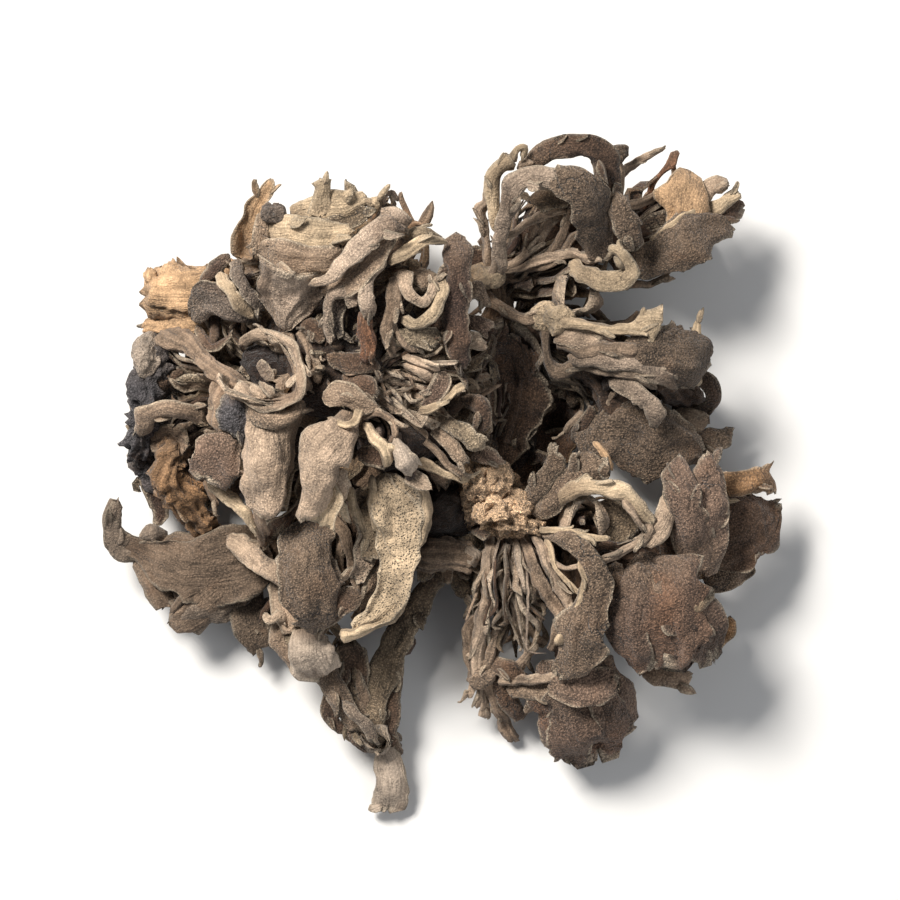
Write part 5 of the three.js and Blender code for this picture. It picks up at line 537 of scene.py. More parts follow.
    ["strap_fork", "stem", "silver", [[32, 14, 25.6, 2], [35.4, 11.9, 24.4, 1.3]], {}],
    ["lower_strap", "stem", "bone", [[20.4, 13.4, 22, 1.8], [26.6, 12.4, 25, 1.5], [30, 12, 25.4, 1.5],
      [32.4, 10.4, 24.4, 1.3]], {}],
    ["tan_strap", "sheet", "silver", [[26.4, 11.8, 23, 2], [29.4, 10, 25.2, 2.4],
      [31.6, 7.6, 25.6, 2.6], [33, 5.2, 24.4, 2.6], [33.4, 3.2, 22, 2]],
      {"curl": 80, "t": 1.2, "root": [25, 10, 17]}],
    ["loop_stem", "stem", "greige", [[15.6, 19.8, 22, 2.2], [15.3, 16, 20.6, 2], [16.4, 13.6, 20, 1.9],
      [18.4, 12.6, 20.4, 1.9], [20.4, 13.2, 22, 1.9]], {}],
    ["dome_stalk", "stem", "umber", [[20, 15, 19, 4.6], [25, 10, 16.4, 5.4], [30, 4, 14, 6.4],
      [34, -1, 11, 5]], {"flat": 0.8}],
    ["cap_stalk", "stem", "umber", [[18, 19, 20, 5], [25, 15.6, 21, 4.6], [33, 14.4, 20, 5],
      [39, 12.4, 14, 5]], {"flat": 0.8}],
    ["outer_foot", "stem", "umber", [[34, 13, 18, 5.4], [38, 9.4, 9, 5.6], [40, 7, 1, 5.2]],
      {"flat": 0.9}],
    ["inner_foot", "stem", "umber", [[26, 7, 14, 5.4], [25, 3.4, 7, 5], [24, 1.4, 0.8, 4.6]],
      {"flat": 0.9}],
    ["grain_dome", "sheet", "taupe", [[21.2, 2.7, 13, 3.4], [24.4, 2.5, 16, 7.4], [28.6, 2, 18, 11],
      [33, 1, 18.6, 11.4], [37.6, 0.8, 16.8, 9], [41, 0, 13, 3.6]], {"curl": [70, 90], "t": 1.4}],
    ["side_fold", "sheet", "umber", [[40.2, 11.8, 15, 2.4], [42.8, 10.3, 15, 2.8],
      [43.3, 8.4, 13.6, 2.6], [42, 6.7, 11.4, 2.2], [40, 5.8, 9.4, 1.8]], {"curl": 90, "t": 1.2}],
    ["side_leaf_a", "sheet", "bone", [[36.6, 5.4, 9.6, 3], [40, 4.5, 11, 3.8], [42.8, 4, 9.8, 2.6]],
      {"curl": 50, "t": 1.2}],
    ["side_leaf_b", "sheet", "taupe", [[37.6, 1, 9.6, 4], [41, 1, 10, 4.4], [43.8, 1.9, 9.6, 4.2],
      [46.6, 4, 8, 1.4]], {"curl": 50, "t": 1.2}],
    ["leaf_post", "stem", "umber", [[38, 8, 7, 4], [39, 3, 8.6, 3.6]], {}],
    ["crumple_a", "sheet", "umber", [[20.2, 1, 12, 1.8], [21.5, 4.5, 15, 2.4], [23.4, 7.6, 16.6, 2.2]],
      {"curl": 80, "t": 1.1}],
    ["twig_a", "stem", "bone", [[21.4, 6.4, 14.6, 1.4], [18.2, 2.6, 12, 1.1]], {}],
    ["twig_b", "stem", "bone", [[24.2, 5.4, 15.4, 1.4], [27.2, 9.6, 18.6, 1.2]], {}],
    ["fork_a", "stem", "greige", [[19, 20, 20, 1.7], [22.5, 20.6, 16, 1.4], [25.6, 19.9, 14.4, 1.3]],
      {}],
    ["fork_b", "stem", "greige", [[22.6, 23.9, 13.4, 1.3], [25.8, 19.8, 14.4, 1.5]], {}],
    ["fork_c", "stem", "greige", [[25, 20, 14.4, 1.7], [28.5, 20.8, 14, 1.6], [30.4, 22.4, 13, 1.3]],
      {}],
  ],
  "upper_right": [
    ["spray_root", "lump", "cream", [[5.6, 27.4, 17.6]], {"r": [2.8, 2.4, 4.4], "rough": 0.15}],
    ["spray_core", "stem", "umber", [[6, 27.4, 14.6, 6], [13, 32, 14, 6.4], [21, 34.6, 15, 6],
      [29, 34, 14.6, 6], [38, 35.6, 14, 6]], {"flat": 0.8}],
    ["core_foot_a", "stem", "umber", [[22, 34, 13, 5], [24.6, 37.4, 7, 5], [26, 40, 0.8, 5]],
      {"flat": 0.9}],
    ["core_foot_b", "stem", "umber", [[35, 35, 13, 5.4], [39, 34.8, 7, 5.4], [41, 34, 0.8, 5.2]],
      {"flat": 0.9}],
    ["cap_strap", "sheet", "silver", [[6.6, 26.6, 18.6, 2.4], [8, 30, 23, 2.2], [8.4, 34, 27, 2.4],
      [8.9, 38, 30, 2.6], [10.4, 41.6, 32, 3], [13, 43, 32.6, 2.8], [17.4, 42.8, 32.2, 3.2]],
      {"curl": 110, "t": 1.1}],
    ["cap", "sheet", "taupe", [[15.6, 43, 31.8, 3], [20, 41.5, 31.8, 5.6], [22.4, 38.5, 30.2, 7],
      [23.1, 34.5, 27.4, 6], [23.8, 29.6, 23.6, 3.4]], {"curl": [70, 100], "t": 1.3}],
    ["cap_tooth", "stem", "taupe", [[21, 38.2, 29.4, 1.8], [19.3, 37.1, 28.4, 1]], {}],
    ["cream_band", "sheet", "cream", [[8.4, 33.4, 25, 1.8], [7, 38.4, 27.8, 2.1], [7.2, 42, 29.6, 2.1],
      [8.8, 44.4, 30.6, 2.4], [10.8, 45.2, 30.4, 2.8]], {"curl": 80, "t": 1.1}],
    ["hook", "stem", "cream", [[9.8, 45, 29.8, 1.6], [10.8, 46.9, 30.4, 1.3], [12.2, 47.3, 30.4, 1.2],
      [12.5, 45.6, 29.6, 1.2]], {}],
    ["hook_arch_tie", "stem", "bone", [[11, 44.4, 29.8, 1.6], [14, 45, 28.4, 1.6]], {}],
    ["left_loop", "stem", "bone", [[6, 28.4, 18.6, 1.8], [5.7, 32, 20.4, 1.6], [5, 35.5, 22, 1.5],
      [4.8, 38, 23.6, 1.5], [6, 39.4, 25.4, 1.4], [7.4, 41.8, 28.4, 1.4]], {}],
    ["strand_a", "sheet", "umber", [[4.6, 26.4, 16.6, 3], [4.3, 29.6, 18.6, 3.2],
      [4.3, 33.4, 20, 2.4]], {"curl": 60, "t": 1.2}],
    ["strand_b", "stem", "bone", [[5.6, 27.4, 20, 1.8], [7, 29.6, 22.4, 1.5], [7.8, 32.6, 25, 1.4]],
      {}],
    ["big_arch", "sheet", "umber", [[12.6, 44, 27, 2.4], [15.4, 46.6, 29.2, 3.2],
      [18.4, 47.8, 30.6, 4], [21.6, 47.8, 30.8, 5], [24, 45.8, 29.6, 5.2], [24.9, 42.6, 28, 4.4],
      [24.8, 39, 24.8, 3.6]], {"curl": 90, "t": 1.3}],
    ["inner_leaf", "sheet", "olive", [[19, 40.2, 27, 2.8], [15, 40, 25.4, 3.8], [12.8, 39.8, 24, 1.6]],
      {"curl": 60, "t": 1.2, "root": [20.4, 41, 31]}],
    ["s_cap", "sheet", "taupe", [[25.8, 41, 26.6, 2.2], [26.8, 37.8, 28.6, 3.8], [28, 35.4, 28.2, 3.6],
      [29.3, 33.4, 27, 3.4], [29, 30.6, 24.4, 3]], {"curl": 100, "t": 1.3}],
    ["cream_hook", "sheet", "cream", [[18.6, 29.6, 21.6, 2.4], [21.3, 28.5, 25, 3],
      [24, 27.4, 27, 3.2], [27, 27.3, 28, 3], [28.9, 28.9, 28.4, 2.6], [28.2, 30.7, 28.6, 1.9],
      [26.6, 31.8, 28.4, 1.5], [25.3, 31.2, 27.6, 1.1]], {"curl": 85, "t": 1.2}],
    ["spiral", "sheet", "bone", [[20.6, 23.4, 14.6, 12.6], [20.6, 23.2, 18.6, 14],
      [20.6, 23.1, 22.6, 14.4]], {"curl": 325, "up": [0.05, -1, 0], "t": 1}],
    ["spiral_tie", "stem", "umber", [[18, 30, 14, 3], [19.6, 27.4, 16.6, 2.6]], {}],
    ["thin_a", "stem", "bone", [[8, 28.6, 16.6, 1.9], [13.4, 33, 19.6, 1.7], [17.6, 37.6, 22.6, 1.6],
      [20.4, 39.6, 26, 1.5]], {}],
    ["thin_b", "stem", "greige", [[8.6, 29, 16, 1.6], [12, 32, 18.6, 1.5], [14.2, 36.2, 22, 1.4]], {}],
    ["thin_c", "stem", "bone", [[8, 28, 16.6, 1.7], [14, 30.5, 19.6, 1.7], [19, 31.3, 22.4, 1.7],
      [23.2, 31, 24.6, 1.7]], {}],
    ["thin_d", "stem", "greige", [[11.4, 29.4, 16.6, 1.5], [17, 30.8, 20.6, 1.5],
      [19.8, 34.2, 24, 1.4], [22, 35.6, 27, 1.3]], {}],
    ["thin_e", "stem", "bone", [[8.6, 34, 24.6, 1.8], [13.8, 36.8, 23.4, 1.7], [18.4, 38.6, 25, 1.7]],
      {}],
    ["thin_f", "stem", "greige", [[15.4, 31, 19.6, 1.5], [18, 34, 22.8, 1.4], [19.4, 38.8, 26, 1.4]],
      {}],
    ["top_knob", "lump", "taupe", [[27.4, 47.2, 19]], {"r": [1.7, 1.6, 1.8], "rough": 0.15}],
    ["top_stem", "stem", "bone", [[26.6, 38.6, 13.4, 2.6], [26.9, 43, 17, 1.9], [27.3, 47, 19, 1.7]],
      {"root": [27, 34.5, 14.6]}],
    ["top_twig", "stem", "bone", [[26.9, 43.4, 16.8, 1.6], [29.2, 45.4, 15.4, 1.4],
      [31.4, 46.7, 15.6, 1.3], [34.8, 48.2, 16, 1.1]], {}],
    ["brown_twig", "stem", "clay", [[36.7, 47.8, 17, 1.5], [36.2, 45.8, 17, 1.8],
      [34.8, 44.2, 16.6, 1.2], [33, 42, 16.2, 1.2], [30.8, 39.2, 14.4, 1.6]],
      {"root": [30, 35.6, 14.6], "from": 4}],
    ["orange_plate", "sheet", "gold", [[39, 44.6, 16.2, 3], [38.2, 41.6, 18, 7],
      [37.4, 38.8, 18.4, 9.4], [35.4, 35, 17, 4.4]], {"curl": 30, "t": 1.8}],
    ["big_cap", "sheet", "taupe", [[28.2, 29.6, 15.6, 3], [32, 30.4, 18, 5], [35.4, 32.2, 20, 8],
      [39, 34.6, 20.6, 8.6], [42.6, 35.9, 18.6, 6], [45.8, 35, 15.6, 2]], {"curl": [60, 80], "t": 1.4}],
    ["cap_rim", "stem", "cream", [[31.6, 33.2, 18, 1.1], [35.8, 36.4, 20, 1.2],
      [40.6, 38.4, 18.8, 1.2]], {}],
    ["roll_tip_a", "sheet", "bone", [[39.8, 39.6, 15.4, 2.6], [42.6, 43, 16.6, 3],
      [45.2, 42.8, 16, 2.4]], {"curl": 100, "t": 1.1}],
    ["roll_tip_b", "sheet", "cream", [[41, 38, 15.4, 3], [44.8, 40.2, 16.2, 2.6], [46.9, 42, 16, 2]],
      {"curl": 90, "t": 1.1}],
    ["tip_lobe", "sheet", "umber", [[41, 37, 14.6, 3.4], [45, 38.8, 14.8, 4.2], [48.2, 39.3, 13.2, 3]],
      {"curl": 60, "t": 1.2, "root": [38, 35.6, 14]}],
    ["thin_bar", "stem", "bone", [[26.6, 39.5, 17.6, 1.4], [33.6, 40.3, 16.6, 1.3],
      [36.6, 40.6, 17, 1.4]], {}],
    ["low_sheet", "sheet", "umber", [[27, 38.6, 8.6, 4.4], [31, 38, 9.4, 5.6], [34.6, 35.4, 10, 5]],
      {"curl": 30, "t": 1.3}],
    ["low_twig", "stem", "bone", [[27.6, 33, 14, 2], [28.6, 27, 8, 1.8], [31.4, 26.8, 6, 1.7],
      [35.6, 28.6, 5, 1.5]], {}],
  ],
}

# A tone is its face, its other side and how grainy (0 smooth, 1 grainy) the face is. Colours are sRGB, 0 to 255.
TONES = {
    "ash": ((110, 101, 92), (150, 138, 122), 0.9),
    "bone": ((185, 168, 148), (200, 185, 164), 0.3),
    "chalk": ((206, 194, 178), (200, 186, 166), 0.15),
    "clay": ((138, 102, 78), (150, 122, 98), 0.6),
    "cream": ((209, 192, 163), (202, 186, 159), 0.2),
    "crumb": ((208, 182, 150), (186, 162, 134), 0.8),
    "flesh": ((158, 140, 121), (180, 162, 142), 0.4),
    "gold": ((204, 174, 138), (208, 186, 156), 0.3),
    "greige": ((150, 134, 116), (172, 156, 136), 0.5),
    "ochre": ((150, 120, 88), (168, 144, 114), 0.6),
    "olive": ((124, 112, 94), (154, 140, 120), 0.7),
    "plum": ((80, 65, 57), (124, 106, 92), 0.7),
    "rose": ((120, 103, 90), (170, 150, 132), 0.85),
    "rust": ((98, 83, 72), (158, 138, 120), 0.95),
    "sage": ((138, 127, 108), (162, 148, 126), 0.6),
    "silver": ((174, 160, 144), (194, 180, 160), 0.4),
    "slate": ((84, 84, 88), (100, 95, 92), 0.9),
    "taupe": ((110, 97, 83), (168, 150, 130), 1.0),
    "umber": ((92, 75, 62), (128, 110, 92), 0.7),
}
PALE_RIM = (200, 184, 160)
ROOT_BROWN = (142, 122, 102)
STAIN = (96, 74, 56)
WARM_STAIN = (134, 96, 70)
PLAIN = ("crescent", "lobe_ridge", "lobe_vein", "finger_rim")  # stems with no side shoots
WARMTH = np.array((1.06, 0.966, 0.905))  # the warm cast that all the flesh shares
# How much darker some lumps are than their tones: painted shade on the dark core lumps and on the lump in one hollow.
LUMP_PAINTED_SHADE = {"crumb": 1.0, "umber": 0.55, "plum": 0.4}
# How much darker some pieces are than their tones: partly their own darker colour, partly painted shade where they
# lie in shadow.
PIECE_TONE_AND_SHADE = {"left_lobe": 0.54, "upper_right": 0.78, "middle_right": 0.7, "tail_branch": 0.8}
# Tones of the fronds that hang on large lumps, and of the crowds.
COAT = ("olive", "greige", "taupe", "umber", "sage", "flesh")

# The darkest tones, given to the crowds deep in the cluster so that they fill its gaps as painted shade.
DIM_SHADE_TONES = ("umber", "olive", "plum", "taupe")
MILD = ("greige", "flesh", "olive", "umber", "sage")
PALE = ("bone", "greige", "flesh", "silver", "umber")
# Each thicket is its name, the hub it grows from, the middle and radii of the space it crowds, how many fronds,
# their tones and their greatest width. Places are the growth list's own.
THICKETS = {
    "left_cluster": (
        ("left_back", (-16, 20, 12), (-14, 34, 14), (14, 8, 8), 54, MILD, 3.4),
        ("left_top", (-24, 20, 20), (-14, 27, 27), (11, 9, 7), 40, MILD, 3.2),
        ("left_middle", (-20, 10, 20), (-10, 10, 26), (10, 10, 8), 80, PALE, 2.6),
        ("left_frill", (-14, 12, 24), (-6, 14, 29), (9, 13, 6), 140, PALE, 1.6),
        ("left_web", (-18, 14, 24), (-16, 16, 30), (8, 8, 6), 70, MILD, 1.8),
        ("left_right", (-14, 8, 16), (2, 12, 18), (7, 14, 8), 70, MILD, 2.6),
        ("left_low", (-20, 2, 14), (-20, -8, 16), (12, 9, 9), 60, MILD, 3.0),
        ("left_side", (-30, 10, 16), (-40, 14, 16), (9, 14, 8), 60, MILD, 3.0),
        ("left_floor", (-22, 10, 10), (-22, 10, 8), (22, 20, 7), 76, DIM_SHADE_TONES, 3.6),
    ),
    "upper_right": (
        ("upper_feet", (26, 33, 12), (28, 36, 5), (13, 8, 4), 90, DIM_SHADE_TONES, 3.0),
        ("upper_hub", (7, 25, 10), (16, 33, 12), (12, 9, 7), 100, DIM_SHADE_TONES, 2.6),
        ("upper_end", (24, 34, 12), (36, 36, 13), (7, 6, 5), 34, DIM_SHADE_TONES, 3.2),
    ),
    "middle_right": (
        ("middle_gap", (10, 14, 8), (10, 21, 8), (5, 5, 4), 34, DIM_SHADE_TONES, 3.0),
        ("middle_hub", (14, 18, 8), (26, 12, 9), (12, 7, 6), 60, DIM_SHADE_TONES, 3.0),
        ("middle_back", (10, 20, 8), (16, 20, 9), (8, 4, 5), 30, MILD, 2.4),
    ),
    "stalk_base": (
        ("stalk_hub", (6, 0, 8), (6, 8, 9), (10, 13, 6), 110, DIM_SHADE_TONES, 2.8),
    ),
    "lower_right": (
        ("stem_hub", (10, -8, 12), (10, -24, 9), (8, 12, 6), 70, MILD, 1.9),
        ("stem_web", (9, -12, 17), (10, -26, 18), (8, 9, 4), 36, PALE, 1.1),
        ("cap_hub", (16, -12, 8), (30, -20, 9), (13, 12, 6), 80, DIM_SHADE_TONES, 3.4),
    ),
    "lower_fronds": (
        ("lower_hub", (-20, -14, 10), (-24, -24, 9), (9, 9, 6), 40, MILD, 2.8),
    ),
    "dark_lobe": (
        ("dark_under", (-42, 4, 8), (-44, 0, 6), (8, 13, 5), 44, DIM_SHADE_TONES, 3.2),
    ),
    "left_lobe": (
        ("lobe_hub", (-34, -16, 5), (-42, -20, 5), (9, 6, 3), 24, MILD, 3.0),
    ),
    "tail_branch": (
        ("tail_hub", (-16, -30, 6), (-16, -40, 6), (5, 9, 4), 26, MILD, 2.4),
    ),
}


# Broad thin faces, crumbs and one dark lump that lie over the grown ones, in the growth list's own form. The dark
# lump sits in a hollow as painted shade.
EXTRA = {
    "left_cluster": [
        # painted shade: a very dark lump inside the pocket's hollow
        ["pocket_dark", "lump", "plum", [[-28.8, 13.2, 25]], {"r": [4.4, 4.4, 4.4], "rough": 0.1}],
        ["pocket_rim", "sheet", "bone", [[-32.8, 16.8, 28, 1.4], [-30.4, 18.6, 29.6, 2], [-27, 18, 31.6, 2.4],
          [-24.6, 15.4, 33, 2.6], [-23.8, 12, 33.8, 3], [-25, 9, 34, 3.4], [-28, 7.6, 33.4, 3.6],
          [-31.4, 8.2, 32, 3.2], [-33.6, 10.6, 30.6, 2.2]], {"curl": 120, "roll": -20, "t": 1.2}],
        ["pocket_scrap", "sheet", "silver", [[-31, 11, 27, 2.4], [-29.4, 13, 30, 3.4], [-28.6, 14.6, 31.4, 2.4]],
          {"curl": 70, "roll": 20, "t": 0.9}],
        ["collar", "sheet", "greige", [[-32, 6.6, 31, 3], [-29, 5.2, 33.4, 3.6], [-25.6, 5.6, 33.6, 3.6],
          [-23.4, 7.6, 32, 2.4]], {"curl": 120, "t": 1}],
    ],
    "stalk_base": [
        ["crumb_a", "lump", "crumb", [[7.6, -5.2, 22.6]], {"r": [2.4, 2, 2.2], "rough": 0.3}],
        ["crumb_b", "lump", "crumb", [[4.2, -5.4, 23.2]], {"r": [2.2, 2.4, 1.8], "rough": 0.3}],
        ["crumb_c", "lump", "crumb", [[10.6, -8.6, 21.4]], {"r": [2.6, 1.9, 2.2], "rough": 0.3}],
        ["crumb_d", "lump", "crumb", [[7, -9.4, 23.2]], {"r": [2.8, 2.2, 2], "rough": 0.3}],
        ["crumb_e", "lump", "crumb", [[13, -12, 20.4]], {"r": [2, 1.5, 1.6], "rough": 0.3}],
        ["crumb_f", "lump", "crumb", [[2.4, -2.6, 20.6]], {"r": [2, 1.8, 2], "rough": 0.3}],
    ],
    "lower_fronds": [
        ["blade_face", "sheet", "cream", [[-10.9, -3.4, 28.2, 4.6], [-8.2, -11, 27, 8], [-8.2, -18.2, 25.6, 7.4],
          [-10.8, -24.6, 23.4, 5.6], [-15.4, -29, 21, 2.6]], {"curl": -55, "roll": -12, "t": 1.1, "pores": 1}],
        ["blade_side", "sheet", "bone", [[-14.6, -6, 25, 3], [-13.6, -14, 25, 4.6], [-15, -21, 22.6, 3.4]],
          {"curl": -80, "roll": 20, "t": 1, "pores": 1}],
    ],
    "left_lobe": [
        ["lobe_wide", "sheet", "flesh", [[-29, -16.2, 10.4, 8], [-34.6, -18.4, 10.8, 12], [-40, -19.6, 10.6, 12.5],
          [-45.4, -18.8, 9.8, 9], [-51, -16.6, 9, 4.4], [-54.4, -14, 9.8, 3]], {"curl": [25, -60], "t": 1.1}],
        ["lobe_hook", "sheet", "silver", [[-52.6, -15.6, 9, 3.4], [-55, -13.4, 10.6, 4], [-55.6, -10.4, 11.8, 3.8],
          [-54, -7.6, 12.2, 3]], {"curl": 90, "roll": 30, "t": 1}],
        ["lobe_low", "sheet", "flesh", [[-36, -21, 10, 6], [-39.6, -24.6, 10.8, 7.4], [-43.4, -27.4, 10.4, 7],
          [-46, -28.4, 7.8, 4.6]], {"curl": 95, "t": 1.1}],
    ],
    "lower_right": [
        ["low_leaf_left", "sheet", "rust", [[17.4, -33.6, 15, 7], [17.4, -40, 14, 10], [19, -46.4, 10.4, 9],
          [19.6, -51, 6, 4]], {"curl": 60, "roll": -18, "t": 1.1}],
        ["low_leaf_right", "sheet", "rose", [[24, -34, 15.6, 6], [26.6, -40, 14, 8.6], [28.4, -45.4, 9.6, 5.6]],
          {"curl": 70, "roll": 22, "t": 1.1}],
        ["leaf_corner", "sheet", "rust", [[33, -22, 23, 7], [37.6, -25.6, 24, 9], [41.4, -30.4, 21.6, 8],
          [42.4, -34.6, 18, 4]], {"curl": 45, "roll": 18, "t": 1.1}],
        ["leaf_fold", "sheet", "rust", [[30.6, -19, 22, 5], [29, -25, 24.4, 7], [28.4, -31, 22.6, 7],
          [30, -36, 18.6, 4]], {"curl": 55, "roll": -20, "t": 1.1}],
    ],
}


def linear(colour):
    """An sRGB colour, 0 to 255, as linear values."""
    value = np.asarray(colour, dtype=float) / 255
    return np.where(value <= 0.04045, value / 12.92, ((value + 0.055) / 1.055) ** 2.4)


def seed_of(name):
    """A repeatable whole number from a name."""
    value = 7
    for letter in name:
        value = (value * 31 + ord(letter)) % SEED_LIMIT
    return value


def noise(points, seed=0):
    """Smooth value noise between -1 and 1 at rows of three coordinates."""
    base = np.floor(points).astype(np.int64)
    part = points - base
    part = part * part * (3 - 2 * part)
    total = np.zeros(len(points))
    for corner in range(8):
        step = np.array([corner & 1, (corner >> 1) & 1, corner >> 2])
        cell = base + step
        mix = (cell[:, 0] * 374761393 + cell[:, 1] * 668265263 + cell[:, 2] * 2147483647 + seed * 144665) & 0xFFFFFFFF
        mix = ((mix ^ (mix >> 13)) * 1274126177) & 0xFFFFFFFF
        mix = ((mix ^ (mix >> 16)) * 2246822519) & 0xFFFFFFFF
        value = ((mix ^ (mix >> 15)) & 0xFFFF) / 32767.5 - 1
        weight = np.prod(np.where(step == 1, part, 1 - part), axis=1)
        total += value * weight
    return total


def grid_noise(first, second, seed):
    """Noise on a grid made of two arrays of the same shape."""
    flat = np.stack([first.ravel(), second.ravel(), np.full(first.size, seed % 97 + 0.5)], axis=1)
    return noise(flat, seed).reshape(first.shape)


def along(points, cell):
    """Places, directions, widths and distances along a smooth line through the given points."""
    given = np.array(points, dtype=float)
    line = given[:, :3]
    count = len(line)
    before = np.vstack([2 * line[0] - line[1], line[:-1]])
    after = np.vstack([line[1:], 2 * line[-1] - line[-2]])
    places, widths = [], []
    for i in range(count - 1):
        a, b, c, d = before[i], line[i], line[i + 1], after[i + 1]
        lengths = [max(np.linalg.norm(q - p) ** 0.5, 1e-4) for p, q in ((a, b), (b, c), (c, d))]
        k0, k1, k2 = lengths
        t1 = ((b - a) / k0 - (c - a) / (k0 + k1) + (c - b) / k1) * k1
        t2 = ((c - b) / k1 - (d - b) / (k1 + k2) + (d - c) / k2) * k1
        steps = max(2, int(round(np.linalg.norm(c - b) / cell)))
        last = i == count - 2
        for step in range(steps + (1 if last else 0)):
            t = step / steps
            places.append(b + t1 * t + (-3 * b + 3 * c - 2 * t1 - t2) * t**2 + (2 * b - 2 * c + t1 + t2) * t**3)
            eased = t * t * (3 - 2 * t)
            widths.append(given[i, 3] * (1 - eased) + given[i + 1, 3] * eased)
    places = np.array(places)
    forward = np.gradient(places, axis=0)
    forward /= np.linalg.norm(forward, axis=1)[:, None]
    gone = np.concatenate([[0], np.cumsum(np.linalg.norm(np.diff(places, axis=0), axis=1))])
    return places, forward, np.array(widths), gone


def frames(forward, start):
    """A steady frame along the line: up stays square to the line and turns as little as it can."""
    up = np.array(start, dtype=float)
    ups = []
    for direction in forward:
        up = up - direction * up.dot(direction)
        if np.linalg.norm(up) < 0.05:
            up = np.array([0.0, 1.0, 0.0])
            up -= direction * up.dot(direction)
        up /= np.linalg.norm(up)
        ups.append(up)
    ups = np.array(ups)
    return ups, np.cross(forward, ups)


def turned(up, side, degrees):
    """A frame turned round its line."""
    turn = math.radians(degrees)
    return up * math.cos(turn) + side * -math.sin(turn), side * math.cos(turn) + up * math.sin(turn)


class Shells:
    """Closed shells gathered into one mesh, with a tint, a grain, a pore share and UVs in millimetres."""

    def __init__(self):
        self.points, self.faces, self.tints, self.looks, self.places = [], [], [], [], []
        self.count = 0

    def tube(self, rings, tints, looks, places):
        """Adds a closed tube over rings of points, with a fan at each end."""
        rows, sides = rings.shape[:2]
        flat = rings.reshape(-1, 3)
        ends = np.stack([rings[0].mean(axis=0), rings[-1].mean(axis=0)])
        self.points.append(np.vstack([flat, ends]))
        for store, values in ((self.tints, tints), (self.looks, looks), (self.places, places)):
            width = values.shape[-1]
            store.append(np.vstack([values.reshape(-1, width), values[0].mean(axis=0), values[-1].mean(axis=0)]))
        i, j = np.meshgrid(np.arange(rows - 1), np.arange(sides), indexing="ij")
        a = (i * sides + j).ravel() + self.count
        b = (i * sides + (j + 1) % sides).ravel() + self.count
        self.faces.append(np.stack([b, a, a + sides, b + sides], axis=1))
        first = self.count + rows * sides
        ring = np.arange(sides)
        after = (ring + 1) % sides
        start, end = self.count, self.count + (rows - 1) * sides
        self.faces.append(np.stack([start + ring, start + after, np.full(sides, first), np.full(sides, -1)], axis=1))
        self.faces.append(np.stack([end + after, end + ring, np.full(sides, first + 1), np.full(sides, -1)], axis=1))
        self.count += len(flat) + 2

    def settle(self):
        """Crumples all the points gathered, once."""
        self.cloud = crumpled(np.vstack(self.points))

    def build(self, name, material, heights, light):
        """The mesh object of everything gathered, with painted shade that makes it browner and darker where it lies
        deep.
        """
        points = self.cloud * MM
        faces = np.vstack(self.faces)
        sizes = np.where(faces[:, 3] < 0, 3, 4)
        loops = faces[faces >= 0].astype(np.int32)
        mesh = bpy.data.meshes.new(name)
        mesh.vertices.add(len(points))
        mesh.vertices.foreach_set("co", points.ravel())
        mesh.loops.add(len(loops))
        mesh.loops.foreach_set("vertex_index", loops)
        mesh.polygons.add(len(faces))
        mesh.polygons.foreach_set("loop_start", np.concatenate([[0], np.cumsum(sizes)[:-1]]).astype(np.int32))
        mesh.polygons.foreach_set("use_smooth", np.ones(len(faces), dtype=bool))
        mesh.update(calc_edges=True)
        tint = mesh.attributes.new("tint", "FLOAT_COLOR", "POINT")
        # painted shade: tints turn browner and darker with depth below the cluster's skin
        depth = painted_shade_share(self.cloud, heights)[:, None]
        tints = np.vstack(self.tints) * light * (1 - depth * np.array(PAINTED_SHADE_LOSS))
        tint.data.foreach_set("color", np.hstack([tints, np.ones((len(tints), 1))]).ravel())
        looks = np.vstack(self.looks)
        for column, label in enumerate(("grain", "pores", "crust")):
            mesh.attributes.new(label, "FLOAT", "POINT").data.foreach_set("value", looks[:, column])
        layer = mesh.uv_layers.new(name="along")
        layer.data.foreach_set("uv", np.vstack(self.places)[loops].ravel())
        made = bpy.data.objects.new(name, mesh)
        bpy.context.scene.collection.objects.link(made)
        mesh.materials.append(material)
        return made


def crumpled(points):
    """Points in millimetres moved by one shared field, so neighbours crumple together and never cross."""
    moved_points = points.copy()
    for size, reach in WARPS:
        for axis in range(3):
            moved_points[:, axis] += reach * noise(points / size + 31.7 * axis, axis + int(size * 10))
    for axis in range(3):
        for sign in (1, -1):
            limit = abs(CAD_BOX[1][axis] if sign > 0 else CAD_BOX[0][axis]) / MM - EDGE_BAND
            if axis == 2 and sign < 0:
                continue
            beyond = sign * moved_points[:, axis] - limit
            room = EDGE_BAND + PRESS_SLACK
            pressed = limit + room * np.tanh(np.maximum(beyond, 0) / room)
            moved_points[:, axis] = np.where(beyond > 0, sign * pressed, moved_points[:, axis])
    moved_points[:, 2] = np.maximum(moved_points[:, 2], FLOOR_GAP)
    return moved_points


def height_map(clouds):
    """The height of the cluster over a coarse grid, smoothed, from all its points."""
    size = int(2 * MAP_REACH / MAP_CELL)
    heights = np.zeros((size, size))
    for cloud in clouds:
        cells = np.clip(((cloud[:, :2] + MAP_REACH) / MAP_CELL).astype(int), 0, size - 1)
        np.maximum.at(heights, (cells[:, 0], cells[:, 1]), cloud[:, 2])
    for _ in range(3):
        padded = np.pad(heights, 1, mode="edge")
        heights = sum(padded[i : i + size, j : j + size] for i in range(3) for j in range(3)) / 9
    return heights


def painted_shade_share(points, heights):
    """How deep points lie inside the cluster, 0 at its skin and 1 deep down: their share of the painted shade."""
    size = len(heights)
    cells = np.clip(((points[:, :2] + MAP_REACH) / MAP_CELL).astype(int), 0, size - 1)
    depth = heights[cells[:, 0], cells[:, 1]] - points[:, 2]
    return np.clip((depth - PAINTED_SHADE_START) / PAINTED_SHADE_RANGE, 0, 1)


